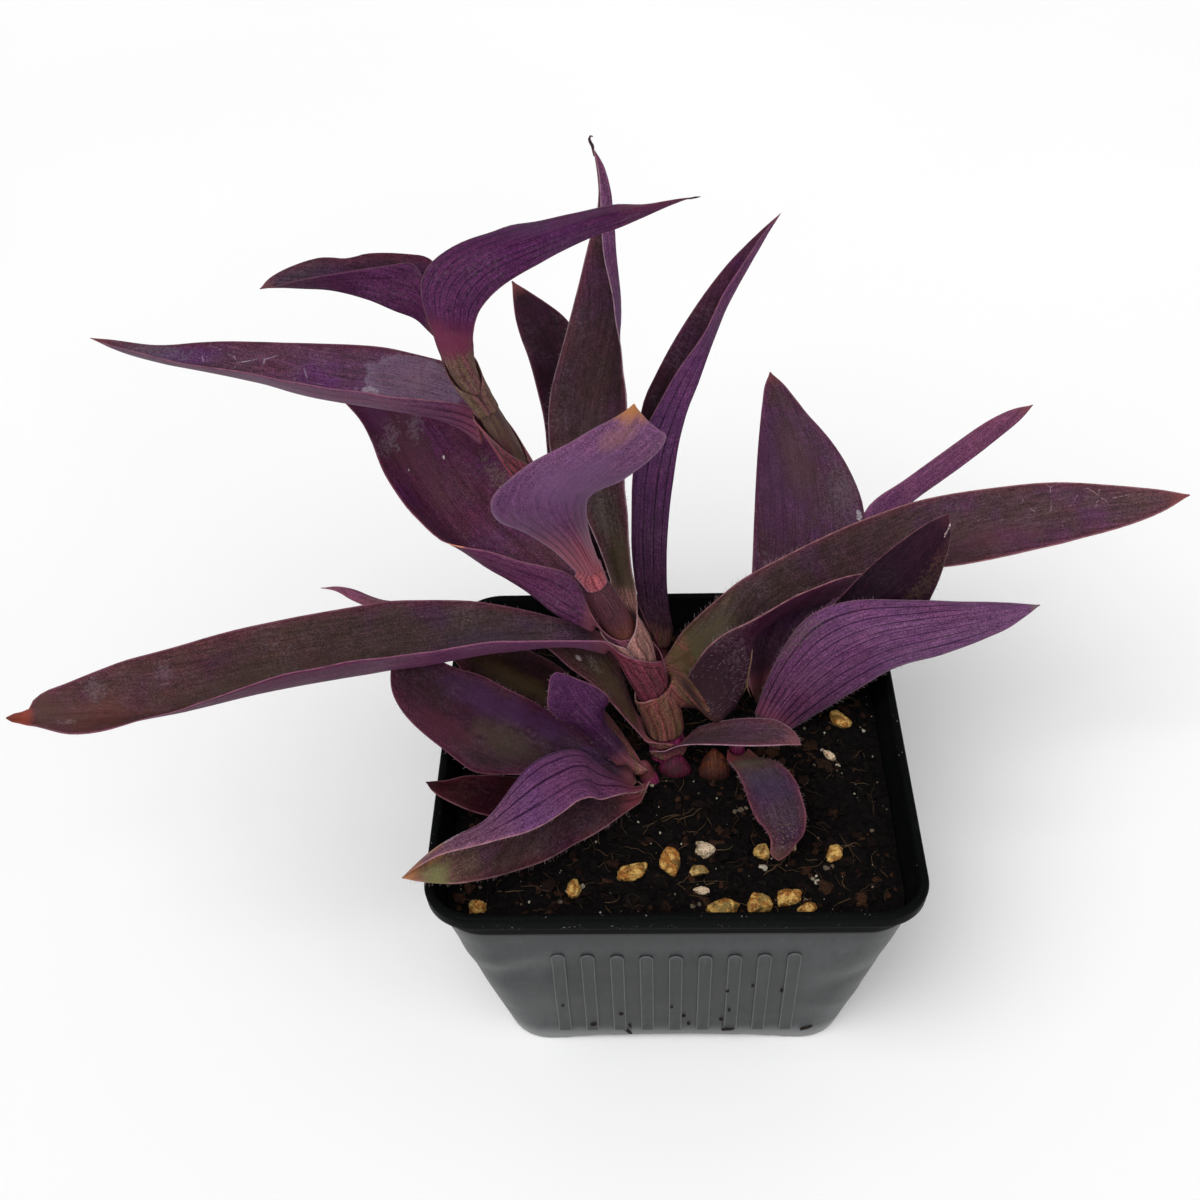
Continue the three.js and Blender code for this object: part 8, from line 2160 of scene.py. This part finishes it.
# crumbs of mix stuck to the front wall: x, z, length, width, turn
for x, z, long, wide, deg in [
    (-24.4, 18.6, 0.8, 0.5, 10), (-18.0, 8.8, 1.6, 0.9, 20), (-11.9, 13.9, 1.0, 0.6, 0), (-10.7, 4.6, 3.0, 0.8, -50), (-10.0, 7.0, 1.4, 0.5, -70),
    (11.0, 25.1, 0.9, 0.6, 30), (11.7, 15.7, 0.9, 0.6, 80), (11.6, 5.9, 2.8, 1.0, 0), (16.4, 26.9, 0.9, 0.5, 60), (22.7, 24.4, 1.5, 0.8, 60),
    (29.1, 5.7, 3.0, 0.8, 28), (10.1, 10.1, 0.8, 0.7, 0), (1.9, 12.0, 0.9, 0.6, 40), (3.0, 8.0, 0.8, 0.6, 0), (-0.8, 17.5, 0.7, 0.4, 30),
]:
    base, tri = ICO1
    p = base * (1 + 0.25 * srng.normal(0, 1, (len(base), 1)).clip(-1.2, 1.2)) * np.array([long / 2, 0.3, wide / 2])
    a = math.radians(deg)
    px, pz = p[:, 0].copy(), p[:, 2].copy()
    p[:, 0] = px * math.cos(a) - pz * math.sin(a)
    p[:, 2] = px * math.sin(a) + pz * math.cos(a)
    on_rib = abs((x / 6.1) - round(x / 6.1)) * 6.1 < 1.5 and abs(x) < 26
    out = 0.15 + (0.45 if on_rib and z > 5.5 else 0.0)
    pot_bag.add(p + np.array([x, -side_at(z) / 2 - out, z]), tri, 1.0)
# dust and crumbs on the lip, most at its left front
for _ in range(330):
    side = srng.integers(0, 4)
    t0 = srng.uniform(-0.9, 0.9)
    if side == 0 and srng.random() < 0.5:
        t0 = srng.uniform(-0.8, 0.1)
    if side != 0 and srng.random() < 0.45:
        side = 0
    if float(soil_noise(t0 * 9 + side * 7, 2.0, 1.0)) < -0.1:
        continue
    inset = srng.uniform(0.3, 2.4)
    size = min(0.08 + srng.gamma(1.2, 0.11), 0.8)
    c = np.array([t0 * 44, -(RIM_SIDE / 2 - inset), POT_HEIGHT - 0.06 + size * 0.2])
    a = side * math.pi / 2
    c = np.array([c[0] * math.cos(a) - c[1] * math.sin(a), c[0] * math.sin(a) + c[1] * math.cos(a), c[2]])
    base, tri = ICO0
    p = base * (1 + 0.25 * srng.normal(0, 1, (len(base), 1)).clip(-1.2, 1.2)) * np.array([size, size * 0.6, size * 0.5]) / 2
    pot_bag.add(p @ turn(0, 0, srng.uniform(0, 6)).T + c, tri, 2.0 if srng.random() < 0.35 else 1.0)
# pale dust on the front of the lip
for _ in range(110):
    size = min(0.1 + srng.gamma(1.2, 0.07), 0.5)
    c = np.array([srng.normal(-12, 20), -(RIM_SIDE / 2 - 0.14), LIP + srng.uniform(0.6, 3.0)])
    base, tri = ICO0
    p = base * (1 + 0.25 * srng.normal(0, 1, (len(base), 1)).clip(-1.2, 1.2)) * np.array([size, size * 0.3, size * 0.7]) / 2
    if abs(c[0]) < 40:
        pot_bag.add(p + c, tri, 2.0)
# the lip and the inside are duller than the walls, a copy of the plastic that reflects little: painted shade that keeps
# them dark
pot_within = np.r_[pot_within, np.zeros(len(pot_bag.points) - len(pot_within), bool)]
pot_slots = [1 if pot_within[list(f)].all() or min(pot_bag.points[v][2] for v in f) > LIP - 5.0 else 0 for f in pot_bag.faces]
pot_ob = make("pot_moulding", pot_bag.points, pot_bag.faces, [pot_material("pot_plastic_satin", 0.22), pot_material("pot_plastic_shaded_lip", 0.012)], {"tone": pot_bag.tone, "within": pot_within.astype(float)}, pot_slots)
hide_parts("pot")
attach(pot_ob, "root")


# ---------------------------------------------------------------- floor, light, camera
def floor():
    t = Tree("studio_floor")
    where = t.place(1.0)
    tone = t.span(t.noise(where, 3.0, 2.0, 0.5), 0.3, 0.7)
    c = t.mix(tone, (0.95, 0.95, 0.95), (0.97, 0.97, 0.97))
    mat = t.finish(c, t.span(tone, 0, 1, 0.86, 0.9), specular=0.1)
    ob = make("studio_floor", [(-3000, -3000, 0), (3000, -3000, 0), (3000, 3000, 0), (-3000, 3000, 0)], [(0, 1, 2, 3)], [mat])


floor()
world = bpy.data.worlds.new("studio")
world.use_nodes = True
world.node_tree.nodes["Background"].inputs["Color"].default_value = (1.0, 1.0, 1.0, 1.0)
world.node_tree.nodes["Background"].inputs["Strength"].default_value = 0.36
bpy.context.scene.world = world


def sun(name, toward, strength, spread):
    data = bpy.data.lights.new(name, "SUN")
    data.energy = strength
    data.angle = math.radians(spread)
    ob = bpy.data.objects.new(name, data)
    ob.rotation_euler = Vector(toward).to_track_quat("-Z", "Y").to_euler()
    ob.location = (0, 0, 1)
    bpy.context.scene.collection.objects.link(ob)


# two broad soft lights, one from the front left and above, a weaker one from the front right
sun("key", (0.42, 0.62, -1.0), 2.1, 50)
sun("fill", (-0.55, 0.75, -0.6), 0.85, 60)

# the camera stands where the photograph was taken
focal, pitch, yaw, roll = 1622.07, math.radians(39.275), math.radians(-2.192), math.radians(-2.102)
forward = np.array([math.sin(yaw) * math.cos(pitch), math.cos(yaw) * math.cos(pitch), -math.sin(pitch)])
right = np.array([math.cos(yaw), -math.sin(yaw), 0.0])
above = np.cross(right, forward)
right2 = right * math.cos(roll) + above * math.sin(roll)
above2 = -right * math.sin(roll) + above * math.cos(roll)
camera = bpy.data.cameras.new("camera")
camera.sensor_fit = "HORIZONTAL"
camera.sensor_width = 36.0
camera.lens = focal / 1200 * 36.0
camera.clip_start = 0.01
camera_ob = bpy.data.objects.new("camera", camera)
place = Matrix.Identity(4)
for k in range(3):
    place[k][0], place[k][1], place[k][2] = right2[k], above2[k], -forward[k]
place[0][3], place[1][3], place[2][3] = -0.004835, -0.258546, 0.309137
camera_ob.matrix_world = place
bpy.context.scene.collection.objects.link(camera_ob)
bpy.context.scene.camera = camera_ob
bpy.context.scene.view_settings.view_transform = "Standard"
